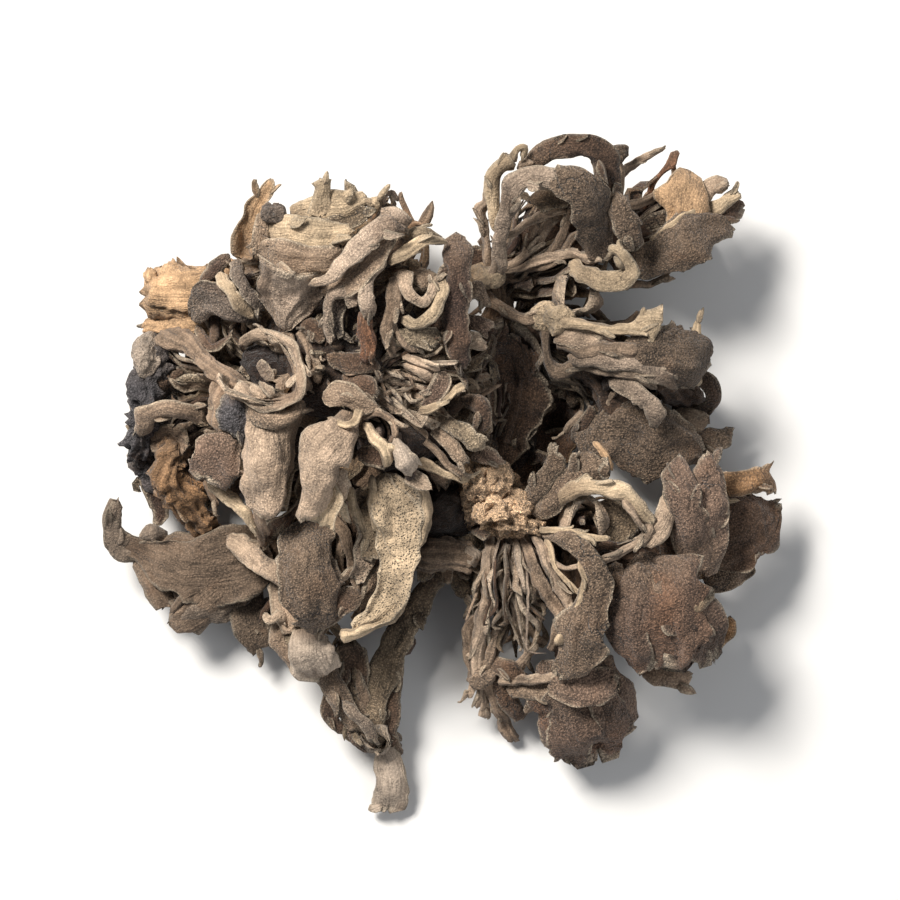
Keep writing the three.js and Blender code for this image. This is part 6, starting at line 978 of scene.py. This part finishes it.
def rounded_ends(gone, widths, root, tip):
    """How wide a blade is along its length, as a share, with both ends drawn in."""
    length = gone[-1]
    first = max(min(root * widths[0], 0.3 * length), 0.3)
    last = max(min(tip * widths[-1], 0.3 * length), 0.3)
    near = np.clip(1 - gone / first, 0, 1)
    far = np.clip(1 - (length - gone) / last, 0, 1)
    return np.sqrt(np.clip(1 - near**2, 0.03, 1)) * np.sqrt(np.clip(1 - far**2, 0.06, 1))


def shaded(tone, other, share, patch_and_shade, stain, seed):
    """The linear tints of a face: patchy, with painted shade in its grooves and fold troughs, browner at its root and
    stained in places.
    """
    base = linear(TONES[tone][1 if other else 0]) * WARMTH
    vary = 0.92 + 0.16 * ((seed // 7) % 11) / 10
    colour = base * vary * (0.7 + 0.6 * patch_and_shade[..., None])
    root = (0.45 * np.clip(1 - share / 0.4, 0, 1))[:, None, None]
    colour = colour * (1 - root) + linear(ROOT_BROWN) * vary * root
    mark = (np.clip(stain - 0.15, 0, 1) * 0.9)[..., None]
    return colour * (1 - mark) + linear(WARM_STAIN if tone in ("rust", "clay") else STAIN) * mark


def add_sheet(shells, name, tone, points, shape, coarse=1):
    """A thin curled blade with torn, ruffled rims and dried folds that fan out along it."""
    seed = seed_of(name)
    places, forward, widths, gone = along(points, CELL * coarse)
    up, side = frames(forward, shape.get("up", (0, 0, 1)))
    up, side = turned(up, side, shape.get("roll", 0))
    curl = shape.get("curl", 0)
    curls = curl if isinstance(curl, list) else [curl, curl]
    share = gone / gone[-1]
    bend = np.radians(curls[0] + (curls[1] - curls[0]) * share)
    bend = np.where(np.abs(bend) < 0.02, 0.02, bend)
    thick = shape.get("t", BLADE_THICKNESS) * THINNER
    cells = int(max(6 if coarse == 1 else 4, min(44, round(max(widths) / (CELL_ACROSS * coarse)))))
    v = np.linspace(-1, 1, cells + 1)
    distance = np.repeat(gone[:, None], cells + 1, axis=1)
    across = np.repeat(v[None, :], len(gone), axis=0)
    rim_side = np.sign(across) * 3.1
    full = widths[:, None] / 2
    squat = float(np.clip(1.9 - gone[-1] / max(widths), 0, 1))
    half = full * rounded_ends(gone, widths, ROUND_ROOT - 0.14 * squat, ROUND_TIP - 0.06 * squat)[:, None]
    steady = np.clip(widths[:, None] / 7, 0.22, 1.15)
    notch = np.abs(grid_noise(distance / 3.2, rim_side, seed))
    notch = notch + 0.25 * np.abs(grid_noise(distance / 1.1, rim_side, seed + 1))
    jag = 0.55 + 0.9 * TONES[tone][2]
    ragged = 1 + 0.08 * jag - (0.3 + 0.3 * squat) * jag * notch * across**4
    arc = across * half * ragged
    radius = widths[:, None] / bend[:, None]
    angle = arc / radius * (1 + 0.18 * grid_noise(distance / 5, across, seed + 9))
    radius = arc / np.where(np.abs(angle) < 1e-5, 1e-5, angle)
    sideways = np.where(np.abs(angle) < 1e-5, arc, radius * np.sin(angle))
    drop = np.where(np.abs(angle) < 1e-5, 0, radius * (np.cos(angle) - 1))
    fan = across * np.clip(max(widths) / 2.1, 1, 8) / 2
    ridge = 0.5 - np.abs(grid_noise(distance / 9, fan + 7, seed + 3))
    lift = RUFFLE * steady * np.abs(across) ** 3 * grid_noise(distance / 3.4, rim_side, seed + 2)
    lift += FOLD * steady * 2.4 * ridge
    facet = 0.5 - np.abs(grid_noise(distance / 5.5 + 3, arc / 5.5 + 8, seed + 12))
    lift += (1.2 + 1.4 * TONES[tone][2]) * np.clip((max(widths) - 5) / 8, 0, 1) * facet
    lift += 0.45 * FOLD * steady * grid_noise(distance / 4.5, fan * 2.2 + 3, seed + 4)
    lift += CRINKLE * grid_noise(distance / 1.3, arc / 0.9, seed + 5)
    lift += shape.get("bulge", 0) * (1 - across**2) * np.sin(math.pi * share)[:, None]
    outward = up[:, None, :] * np.cos(angle)[..., None] + side[:, None, :] * np.sin(angle)[..., None]
    edge_out = side[:, None, :] * np.cos(angle)[..., None] - up[:, None, :] * np.sin(angle)[..., None]
    middle = places[:, None, :] + side[:, None, :] * sideways[..., None] + up[:, None, :] * drop[..., None]
    middle = middle + outward * lift[..., None]
    torn = 0.25 + 0.6 * jag * grid_noise(fan * 1.1 + 11, np.full_like(fan, 1.0), seed + 6)
    torn += 0.75 * jag * np.abs(grid_noise(fan * 1.9 + 5, np.full_like(fan, 2.0), seed + 7))
    torn += 0.16 * jag * np.abs(grid_noise(fan * 5 + 2, np.full_like(fan, 3.0), seed + 13))
    torn = 0.42 * np.minimum(widths[-1] + 1, 0.4 * gone[-1]) * torn * (share[:, None] ** 4)
    middle = middle - forward[:, None, :] * torn[..., None]
    body = thick / 2 * (1 - 0.4 * across**2) * (1 + 0.16 * grid_noise(distance / 2, arc / 1.4, seed + 7))
    body = body * (1 - 0.45 * share[:, None] ** 3)
    top = middle + outward * body[..., None]
    low = middle - outward * body[..., None]
    right = middle[:, -1:] + edge_out[:, -1:] * (RIM_BULGE * thick)
    left = middle[:, :1] - edge_out[:, :1] * (RIM_BULGE * thick)
    rings = np.concatenate([top, right, low[:, ::-1], left], axis=1)
    grain = TONES[tone][2]
    # patchy tone, plus painted shade: lighter on the raised fold ridges, darker in the troughs
    patch_and_shade = 0.5 + 0.35 * grid_noise(distance / 5 + 5, arc / 3, seed + 8) + 0.3 * (ridge - 0.25)
    patch_and_shade = patch_and_shade + 0.15 * grid_noise(distance / 1.6, arc / 0.8, seed + 10)
    stain = grid_noise(distance / 6 + 2, arc / 4 + 9, seed + 11)
    colour = shaded(tone, False, share, patch_and_shade, stain, seed)
    back = shaded(tone, True, share, patch_and_shade, stain - 0.15, seed)
    from_rim = (1 - np.abs(across)) * full
    rim = np.maximum(np.exp(-from_rim / 0.22), np.exp(-(gone[-1] - distance) / 0.25))[..., None] * 0.6
    colour = colour * (1 - rim) + linear(PALE_RIM) * rim
    edge = 0.5 * (colour[:, -1:] + back[:, -1:]), 0.5 * (colour[:, :1] + back[:, :1])
    tints = np.concatenate([colour, edge[0], back[:, ::-1], edge[1]], axis=1)
    looks = np.zeros(tints.shape[:2] + (3,))
    looks[:, : cells + 1, 0] = grain
    looks[:, : cells + 1, 1] = shape.get("pores", 0)
    looks[:, cells + 2 : 2 * cells + 3, 0] = 0.3
    looks[:, cells + 2 : 2 * cells + 3, 1] = 0.6
    looks[..., 2] = 1.0 if tone == "slate" else 0.0
    u = np.repeat(gone[:, None], tints.shape[1], axis=1)
    w = np.concatenate([arc, arc[:, -1:] + 0.3, arc[:, ::-1] + 20, arc[:, :1] - 0.3], axis=1)
    shells.tube(rings, tints, looks, np.stack([u, w], axis=-1))


def add_stem(shells, name, tone, points, shape, coarse=1):
    """A fluted, twisted and flattened stem."""
    seed = seed_of(name)
    places, forward, widths, gone = along(points, CELL * coarse)
    up, side = frames(forward, (0, 0, 1))
    flat = shape.get("flat", 0.66)
    sides = int(max(12 if coarse == 1 else 7, min(36, round(max(widths) * 3.1 / (CELL_ACROSS * coarse)))))
    phase = np.linspace(0, 2 * math.pi, sides, endpoint=False)
    distance = np.repeat(gone[:, None], sides, axis=1)
    round_it = np.repeat(phase[None, :], len(gone), axis=0)
    twist = 0.9 * grid_noise(gone[:, None] / 7, np.zeros((len(gone), 1)), seed + 2)
    up, side = up * np.cos(twist) - side * np.sin(twist), side * np.cos(twist) + up * np.sin(twist)
    swell = 1 + 0.16 * grid_noise(gone[:, None] / 3.5, np.ones((len(gone), 1)), seed + 1)
    ribs = shape.get("ridges", 4)
    ribs = int(max(ribs, round(1.3 * max(widths) + 2)))
    flutes = np.abs(np.sin(0.5 * ribs * round_it + seed % 7))
    ball = np.stack([np.cos(round_it).ravel(), np.sin(round_it).ravel(), distance.ravel() / 4.5], axis=1)
    wave = noise(ball * (0.7 + 0.12 * max(widths)), seed).reshape(round_it.shape)
    fine = noise(ball * np.array([1, 1, 2.5]) * (1.4 + 0.3 * max(widths)), seed + 5).reshape(round_it.shape)
    rough = shape.get("rough", 0.06)
    size = 0.82 + 0.26 * flutes + (0.2 + rough) * wave + (0.09 + rough) * fine
    tip = np.clip(np.minimum(gone, gone[-1] - gone) / (0.35 * widths), 0, 1)
    taper = np.sqrt(np.clip(1 - (1 - tip) ** 2, 0.08, 1))
    wide = (widths / 2 * taper)[:, None] * size * swell
    at_tip = (gone / gone[-1])[:, None] ** 8
    ragged = 0.25 * widths[-1] * grid_noise(round_it * 1.5, np.zeros_like(round_it), seed + 6) * at_tip
    rings = places[:, None, :] + side[:, None, :] * (wide * np.cos(round_it))[..., None]
    rings = rings + up[:, None, :] * (wide * flat * np.sin(round_it))[..., None]
    rings = rings + forward[:, None, :] * ragged[..., None]
    # patchy tone, plus painted shade: lighter on the flutes and bulges, darker in the grooves
    patch_and_shade = 0.5 + 0.35 * wave + 0.9 * (flutes - 0.64) + 0.25 * fine
    stain = grid_noise(distance / 5, round_it, seed + 3)
    colour = shaded(tone, False, gone / gone[-1], patch_and_shade, stain, seed)
    looks = np.zeros(round_it.shape + (3,))
    looks[..., 0] = TONES[tone][2] * 0.6
    looks[..., 2] = 1.0 if tone in ("slate", "crumb") else 0.0
    uv = np.stack([distance, round_it * (widths / 2)[:, None]], axis=-1)
    shells.tube(rings[:, ::-1], colour[:, ::-1], looks[:, ::-1], uv[:, ::-1])


def add_fringe(shells, name, kind, tone, points, shape):
    """Torn strips and side shoots that leave a frond or stem towards its tip and end in points."""
    draws = np.random.default_rng(seed_of(name) + 3)
    given = np.array(points, dtype=float)
    length = np.linalg.norm(np.diff(given[:, :3], axis=0), axis=1).sum()
    broad = kind == "sheet"
    if name in PLAIN or (broad and given[:, 3].max() > 6):
        return
    count = int(min(6, length / (5.5 if broad else 3.4))) if given[:, 3].max() > 1.2 else 1
    for index in range(count):
        spot = draws.uniform(0.2, 0.93) * (len(given) - 1)
        cell = min(int(spot), len(given) - 2)
        foot = given[cell] + (given[cell + 1] - given[cell]) * (spot - cell)
        ahead = given[cell + 1, :3] - given[cell, :3]
        ahead /= max(np.linalg.norm(ahead), 0.1)
        aside = np.cross(ahead, (0.1, 0.05, 1.0)) * draws.choice((-1, 1))
        aside /= max(np.linalg.norm(aside), 0.1)
        reach = float(draws.uniform(0.35, 0.7)) * min(foot[3], 6) + (1.2 if broad else 2.4)
        width = float(np.clip(draws.uniform(0.3, 0.55) * foot[3], 0.7, 2.6 if broad else 1.2))
        lean = draws.uniform(0.1, 0.7) if broad else draws.uniform(0.05, 0.35)
        start = foot[:3] + aside * foot[3] * (0.2 if broad else 0.12)
        end = start + (ahead + aside * lean) * reach * 0.8
        end[2] += draws.uniform(-0.4, 0.35) * reach
        hook = end + (ahead * draws.uniform(0, 0.7) + aside * draws.uniform(-0.3, 0.6)) * reach * 0.4
        hook[2] += draws.uniform(-0.4, 0.4) * reach * 0.4
        halfway = (start + end) / 2
        halfway[2] += 0.12 * reach
        line = [[*start, width * 0.8], [*halfway, width], [*end, width * 0.6], [*hook, 0.35]]
        lobe = {"curl": float(draws.uniform(-150, 170)), "roll": float(draws.uniform(-50, 50)), "t": 0.75}
        add_sheet(shells, f"{name}_fringe_{index}", tone, line, lobe, FRINGE_COARSE)


def add_lump(shells, name, tone, points, shape):
    """A crusty lump, rough at two scales."""
    seed = seed_of(name)
    x, y, z = points[0][:3]
    radii = np.array(shape["r"], dtype=float)
    rows = int(min(40, 4 * max(radii)) if tone == "umber" else min(64, max(24, 12 * max(radii))))
    sides = int(rows * 1.5)
    tilt = np.linspace(0.04, math.pi - 0.04, rows)
    spin = np.linspace(0, 2 * math.pi, sides, endpoint=False)
    a, b = np.meshgrid(tilt, spin, indexing="ij")
    ball = np.stack([np.sin(a) * np.cos(b), np.sin(a) * np.sin(b), np.cos(a)], axis=-1)
    flat = (ball * radii).reshape(-1, 3)
    rough = shape.get("rough", 0.15)
    widest = max(radii)
    size = 0.16 * widest * noise(flat / (0.75 * widest), seed + 1) * (1 + 2 * rough)
    rough = rough * (1.9 if tone == "crumb" else 1)
    size += (0.5 + 2 * rough) * (0.35 - np.abs(noise(flat / 2.4, seed)))
    size += (0.25 + rough) * (0.35 - np.abs(noise(flat / 1.1, seed + 2))) + 0.1 * noise(flat / 0.55, seed + 3)
    if tone == "crumb":
        size += 0.9 * (0.3 - np.abs(noise(flat / 0.7, seed + 6)))
    size = size.reshape(a.shape)
    rings = ball * (radii + size[..., None]) + np.array([x, y, z])
    face, other, grain = TONES[tone]
    # painted shade: the dark core lumps and the hollow's lump are darkened by this share
    lump_shade = LUMP_PAINTED_SHADE.get(tone, 1)
    # patchy tone, plus painted shade: darker where the crust dips in, lighter where it stands out
    patch_and_dent_shade = (0.5 + 0.4 * noise(flat / 2.3, seed + 4)).reshape(a.shape) + 0.25 * size
    colour = linear(face) * WARMTH * lump_shade * (0.55 + 0.7 * np.clip(patch_and_dent_shade, 0, 1.3))[..., None]
    looks = np.zeros(a.shape + (3,))
    looks[..., 0] = grain
    looks[..., 2] = 1.0
    uv = np.stack([a * max(radii), b * max(radii)], axis=-1)
    shells.tube(rings, colour, looks, uv)


MAKERS = {"sheet": add_sheet, "stem": add_stem, "lump": add_lump}


def moved(points):
    """Points of the growth list in the frame's own place."""
    return [[p[0] - MIDDLE[0], p[1] - MIDDLE[1], *p[2:]] for p in points]


def add_post(shells, name, points, shape):
    """The stem from a frond's foot down to where it grew."""
    foot = points[shape.get("from", 0)]
    end = moved([[*shape["root"], POST_WIDTH]])[0]
    middle = [(foot[k] + end[k]) / 2 for k in range(3)]
    middle[2] -= 0.4
    line = [[*foot[:3], POST_WIDTH * 0.8], [*middle, POST_WIDTH], end]
    add_stem(shells, name + "_post", "umber", line, {}, COARSE)


def node_socket(tree, kind, **values):
    """A shader node with some of its inputs or settings given."""
    made = tree.nodes.new(kind)
    for key, value in values.items():
        if key in made.inputs:
            made.inputs[key].default_value = value
        else:
            setattr(made, key, value)
    return made


def mixed(tree, factor, first, second, blend="MIX"):
    """The result of two colours mixed, each a socket or a value."""
    mix = tree.nodes.new("ShaderNodeMix")
    mix.data_type = "RGBA"
    mix.blend_type = blend
    mix.clamp_result = False
    for socket, value in ((mix.inputs[0], factor), (mix.inputs[6], first), (mix.inputs[7], second)):
        if isinstance(value, bpy.types.NodeSocket):
            tree.links.new(value, socket)
        else:
            socket.default_value = value
    return mix.outputs[2]


def number(tree, operation, first, second=0.0, clamp=False):
    """The result of a sum, each side a socket or a number."""
    made = tree.nodes.new("ShaderNodeMath")
    made.operation = operation
    made.use_clamp = clamp
    for socket, value in ((made.inputs[0], first), (made.inputs[1], second)):
        if isinstance(value, bpy.types.NodeSocket):
            tree.links.new(value, socket)
        else:
            socket.default_value = value
    return made.outputs[0]


def noise_socket(tree, vector, scale, detail=3.0, rough=0.6, stretch=None):
    """Noise from a vector, stretched if asked."""
    if stretch:
        mapping = tree.nodes.new("ShaderNodeMapping")
        mapping.inputs["Scale"].default_value = stretch
        tree.links.new(vector, mapping.inputs["Vector"])
        vector = mapping.outputs["Vector"]
    made = tree.nodes.new("ShaderNodeTexNoise")
    made.inputs["Scale"].default_value = scale
    made.inputs["Detail"].default_value = detail
    made.inputs["Roughness"].default_value = rough
    tree.links.new(vector, made.inputs["Vector"])
    return made.outputs["Fac"]


def crooked(tree, place):
    """The place moved about by noise, for lines that wander."""
    made = tree.nodes.new("ShaderNodeTexNoise")
    made.inputs["Scale"].default_value = REPEATS["wander"]
    tree.links.new(place, made.inputs["Vector"])
    scaled = tree.nodes.new("ShaderNodeVectorMath")
    scaled.operation = "MULTIPLY_ADD"
    tree.links.new(made.outputs["Color"], scaled.inputs[0])
    scaled.inputs[1].default_value = (0.004, 0.004, 0.004)
    tree.links.new(place, scaled.inputs[2])
    return scaled.outputs[0]


def dried_flesh(name):
    """Dry fungus flesh: tinted by place, grainy on caps, striated along stems, pored underneath."""
    material = bpy.data.materials.new(name)
    material.use_nodes = True
    tree = material.node_tree
    shader = tree.nodes["Principled BSDF"]
    place = tree.nodes.new("ShaderNodeTexCoord").outputs["Object"]
    uv = tree.nodes.new("ShaderNodeUVMap")
    uv.uv_map = "along"
    tint, grain, pores, crust = (tree.nodes.new("ShaderNodeAttribute") for _ in range(4))
    for made, label in ((tint, "tint"), (grain, "grain"), (pores, "pores"), (crust, "crust")):
        made.attribute_name = label
    fine = noise_socket(tree, place, REPEATS["fine"], 2.0)
    speck = noise_socket(tree, place, REPEATS["speck"], 2.0, 0.6)
    mottle = noise_socket(tree, place, REPEATS["mottle"], 4.0, 0.65)
    broad = noise_socket(tree, place, REPEATS["broad"], 3.0)
    lines = noise_socket(tree, uv.outputs["UV"], 1.0, 3.0, 0.6, (0.18, 3.2, 1))
    cells = node_socket(tree, "ShaderNodeTexVoronoi", Scale=REPEATS["pores"])
    cells.feature = "F1"
    tree.links.new(place, cells.inputs["Vector"])
    holes = number(tree, "SUBTRACT", 1.0, number(tree, "MULTIPLY", cells.outputs["Distance"], 2.1), True)
    holes = number(tree, "MULTIPLY", number(tree, "POWER", holes, 1.6), pores.outputs["Fac"])

    def swing(value, amount):
        return number(tree, "MULTIPLY", number(tree, "SUBTRACT", value, 0.5), amount)

    fuzz = node_socket(tree, "ShaderNodeTexVoronoi", Scale=REPEATS["fuzz"])
    tree.links.new(place, fuzz.inputs["Vector"])
    dots = number(tree, "SUBTRACT", 1.0, number(tree, "MULTIPLY", fuzz.outputs["Distance"], 2.0), True)
    dots = number(tree, "MULTIPLY", dots, grain.outputs["Fac"])
    smooth = number(tree, "SUBTRACT", 1.0, number(tree, "MULTIPLY", pores.outputs["Fac"], 0.75))
    shade = number(tree, "ADD", 1.0, swing(mottle, 1.3))
    shade = number(tree, "ADD", shade, swing(broad, 1.0))
    shade = number(tree, "ADD", shade, number(tree, "MULTIPLY", swing(lines, 1.0), smooth))
    shade = number(tree, "ADD", shade, number(tree, "MULTIPLY", swing(speck, 1.7), grain.outputs["Fac"]))
    shade = number(tree, "ADD", shade, swing(fine, 0.8))
    shade = number(tree, "ADD", shade, number(tree, "MULTIPLY", number(tree, "SUBTRACT", dots, 0.16), 2.0))
    shade = number(tree, "SUBTRACT", shade, number(tree, "MULTIPLY", holes, 0.5))
    seams = node_socket(tree, "ShaderNodeTexVoronoi", Scale=REPEATS["seams"])
    seams.feature = "DISTANCE_TO_EDGE"
    tree.links.new(crooked(tree, place), seams.inputs["Vector"])
    cracks = number(tree, "SUBTRACT", 1.0, number(tree, "MULTIPLY", seams.outputs["Distance"], 45.0), True)
    some = number(tree, "SUBTRACT", noise_socket(tree, place, REPEATS["cracked"], 2.0), 0.5, True)
    some = number(tree, "MULTIPLY", some, 9.0, True)
    cracks = number(tree, "MULTIPLY", number(tree, "MULTIPLY", cracks, some), grain.outputs["Fac"])
    shade = number(tree, "SUBTRACT", shade, number(tree, "MULTIPLY", cracks, 0.45))
    shade = number(tree, "MINIMUM", number(tree, "MAXIMUM", shade, 0.22), 1.75)
    joined = tree.nodes.new("ShaderNodeCombineColor")
    for socket in joined.inputs:
        tree.links.new(shade, socket)
    colour = mixed(tree, 1.0, tint.outputs["Color"], joined.outputs[0], "MULTIPLY")
    rust = number(tree, "SUBTRACT", noise_socket(tree, place, REPEATS["rust"], 3.0), 0.6, True)
    rust = number(tree, "MULTIPLY", rust, 1.4)
    colour = mixed(tree, rust, colour, RUST_TINT)
    tree.links.new(colour, shader.inputs["Base Color"])
    dryness = number(tree, "ADD", 0.72, number(tree, "MULTIPLY", mottle, 0.28))
    dryness = number(tree, "SUBTRACT", dryness, number(tree, "MULTIPLY", dots, 0.08))
    tree.links.new(dryness, shader.inputs["Roughness"])
    shader.inputs["Specular IOR Level"].default_value = 0.25
    shader.inputs["Sheen Weight"].default_value = 0.12
    shader.inputs["Sheen Roughness"].default_value = 0.5
    height = number(tree, "MULTIPLY", speck, number(tree, "ADD", 0.25, grain.outputs["Fac"]))
    height = number(tree, "ADD", height, number(tree, "MULTIPLY", lines, 0.65))
    height = number(tree, "ADD", height, number(tree, "MULTIPLY", dots, 0.35))
    height = number(tree, "ADD", height, number(tree, "MULTIPLY", fine, 0.2))
    height = number(tree, "ADD", height, number(tree, "MULTIPLY", mottle, 0.5))
    lumps = number(tree, "MULTIPLY", crust.outputs["Fac"], number(tree, "MULTIPLY", mottle, 1.2))
    height = number(tree, "ADD", height, lumps)
    crumbs = number(tree, "MULTIPLY", crust.outputs["Fac"], noise_socket(tree, place, REPEATS["crumbs"], 3.0, 0.7))
    height = number(tree, "ADD", height, number(tree, "MULTIPLY", crumbs, 2.0))
    height = number(tree, "SUBTRACT", height, number(tree, "ADD", holes, cracks))
    bump = node_socket(tree, "ShaderNodeBump", Strength=1.0, Distance=0.0005)
    tree.links.new(height, bump.inputs["Height"])
    tree.links.new(bump.outputs["Normal"], shader.inputs["Normal"])
    return material


def add_thicket(shells, name, hub, middle, radii, count, tones, wide=2.6):
    """Small fronds and shoots that branch from a hub and crowd a rounded space."""
    draws = np.random.default_rng(seed_of(name))
    hub = np.array(moved([hub])[0], dtype=float)
    middle = np.array(moved([middle])[0], dtype=float)
    for index in range(count):
        out = draws.normal(0, 1, 3)
        out *= draws.uniform(0.45, 1.0) / np.linalg.norm(out)
        target = middle + out * np.array(radii)
        start = hub + draws.normal(0, 0.8, 3)
        gap = target - start
        reach = np.linalg.norm(gap)
        start = start + gap * draws.uniform(0, 0.45)
        bow = (start + target) / 2 + draws.normal(0, 0.09, 3) * reach
        bow[2] += 0.1 * reach
        hook = target + draws.normal(0, 1.1, 3) + gap / reach * draws.uniform(0, 2)
        width = float(draws.uniform(0.45, 1.0)) * wide
        line = [[*start, 0.9 + 0.2 * width], [*bow, 0.6 * width + 0.4], [*target, width], [*hook, width * 0.5]]
        for point in line:
            point[2] = max(point[2], 0.8)
        tone = tones[int(draws.integers(len(tones)))]
        shape = {"curl": float(draws.uniform(-170, 190)), "roll": float(draws.uniform(-110, 110)), "t": 0.9}
        if draws.uniform() < 0.3:
            for point in line:
                point[3] *= 0.55
            add_stem(shells, f"{name}_{index}", tone, line, {"flat": 0.6, "ridges": 3}, COARSE)
        else:
            add_sheet(shells, f"{name}_{index}", tone, line, shape, COARSE)


def add_coat(shells, name, points, shape):
    """Bracket fronds that hang round the sides of a large lump."""
    draws = np.random.default_rng(seed_of(name) + 9)
    centre = np.array(points[0][:3], dtype=float)
    radii = np.array(shape["r"], dtype=float)
    for index in range(int(5.5 * max(radii))):
        spin = draws.uniform(0, 2 * math.pi)
        rise = draws.uniform(-0.75, 0.6)
        out = np.array([math.cos(spin), math.sin(spin), 0]) * math.sqrt(1 - rise * rise) + np.array([0, 0, rise])
        foot = centre + out * radii * 0.93
        lean = out + draws.normal(0, 0.35, 3)
        lean[2] = draws.uniform(-0.1, 0.9)
        lean /= np.linalg.norm(lean)
        reach = float(draws.uniform(2.6, 6.2)) * min(1, max(radii) / 7)
        width = float(draws.uniform(1.6, 4.6)) * min(1, max(radii) / 7)
        tip = foot + lean * reach + np.array([*(out[:2] * 0.5), draws.uniform(-1.6, 1.2)])
        line = [[*foot, width * 0.6], [*(foot + lean * reach * 0.5), width], [*tip, width * 0.9]]
        line.append([*(tip + draws.normal(0, 0.8, 3) + out * 0.6), width * 0.5])
        for point in line:
            point[2] = max(point[2], 0.6)
        tone = COAT[int(draws.integers(len(COAT)))]
        frond = {"curl": float(draws.uniform(-120, 150)), "roll": float(draws.uniform(-60, 60)), "t": 0.9}
        add_sheet(shells, f"{name}_coat_{index}", tone, line, frond, COARSE)


def grow_piece(entries, crowds):
    """Some fronds, stems, lumps and thickets of one piece."""
    shells = Shells()
    for name, kind, tone, points, shape in entries:
        placed = moved(points)
        MAKERS[kind](shells, name, tone, placed, shape)
        if "root" in shape:
            add_post(shells, name, placed, shape)
        if kind != "lump":
            add_fringe(shells, name, kind, tone, placed, shape)
        elif tone == "umber" and max(shape["r"]) > 5.5:
            add_coat(shells, name, placed, shape)
    for crowd in crowds:
        add_thicket(shells, *crowd)
    shells.settle()
    return shells


def add_camera():
    """A long lens straight above the middle of the view."""
    data = bpy.data.cameras.new("camera")
    data.lens = LENS
    data.sensor_width = SENSOR
    camera = bpy.data.objects.new("camera", data)
    bpy.context.scene.collection.objects.link(camera)
    away = FRAME_WIDTH * LENS / SENSOR
    camera.location = (-MIDDLE[0] * MM, -MIDDLE[1] * MM, (FRAME_HEIGHT + away) * MM)
    data.clip_start = 0.01
    data.clip_end = 10
    bpy.context.scene.camera = camera


def add_light(name, place, size, power, colour):
    """A square soft light that looks at the cluster."""
    data = bpy.data.lights.new(name, "AREA")
    data.size = size
    data.energy = power
    data.color = colour
    light = bpy.data.objects.new(name, data)
    bpy.context.scene.collection.objects.link(light)
    light.location = place
    aim = -light.location.normalized()
    light.rotation_mode = "QUATERNION"
    light.rotation_quaternion = aim.to_track_quat("-Z", "Y")


def add_floor():
    """The pale floor."""
    bpy.ops.mesh.primitive_plane_add(size=FLOOR_SIZE, location=(0, 0, -FLOOR_DROP))
    floor = bpy.context.object
    floor.name = "floor"
    material = bpy.data.materials.new("pale_floor")
    material.use_nodes = True
    shader = material.node_tree.nodes["Principled BSDF"]
    shader.inputs["Base Color"].default_value = FLOOR_COLOUR
    shader.inputs["Roughness"].default_value = 0.9
    floor.data.materials.append(material)


add_camera()
add_floor()
for light in LIGHTS:
    add_light(*light)
world = bpy.data.worlds.new("world")
world.use_nodes = True
world.node_tree.nodes["Background"].inputs["Color"].default_value = ROOM_COLOUR
world.node_tree.nodes["Background"].inputs["Strength"].default_value = ROOM_STRENGTH
bpy.context.scene.world = world
bpy.context.scene.view_settings.view_transform = "Standard"

FLESH = dried_flesh("dried_flesh")
parts = {}
for piece, grown in GROWTH.items():
    grown = grown + EXTRA.get(piece, [])
    share = -(-len(grown) // SPLITS.get(piece, 1))
    for part in range(SPLITS.get(piece, 1)):
        parts[f"{piece}_fronds_{part + 1}"] = piece, grow_piece(grown[part * share : (part + 1) * share], ())
    if piece in THICKETS:
        parts[f"{piece}_crowd"] = piece, grow_piece((), THICKETS[piece])
HEIGHTS = height_map([shells.cloud for _, shells in parts.values()])
for name, (piece, shells) in parts.items():
    # each piece's tints are scaled by its factor, partly its own colour and partly painted shade
    made = shells.build(name, FLESH, HEIGHTS, PIECE_TONE_AND_SHADE.get(piece, 1.0))
    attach(made, "root")
    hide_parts(piece)
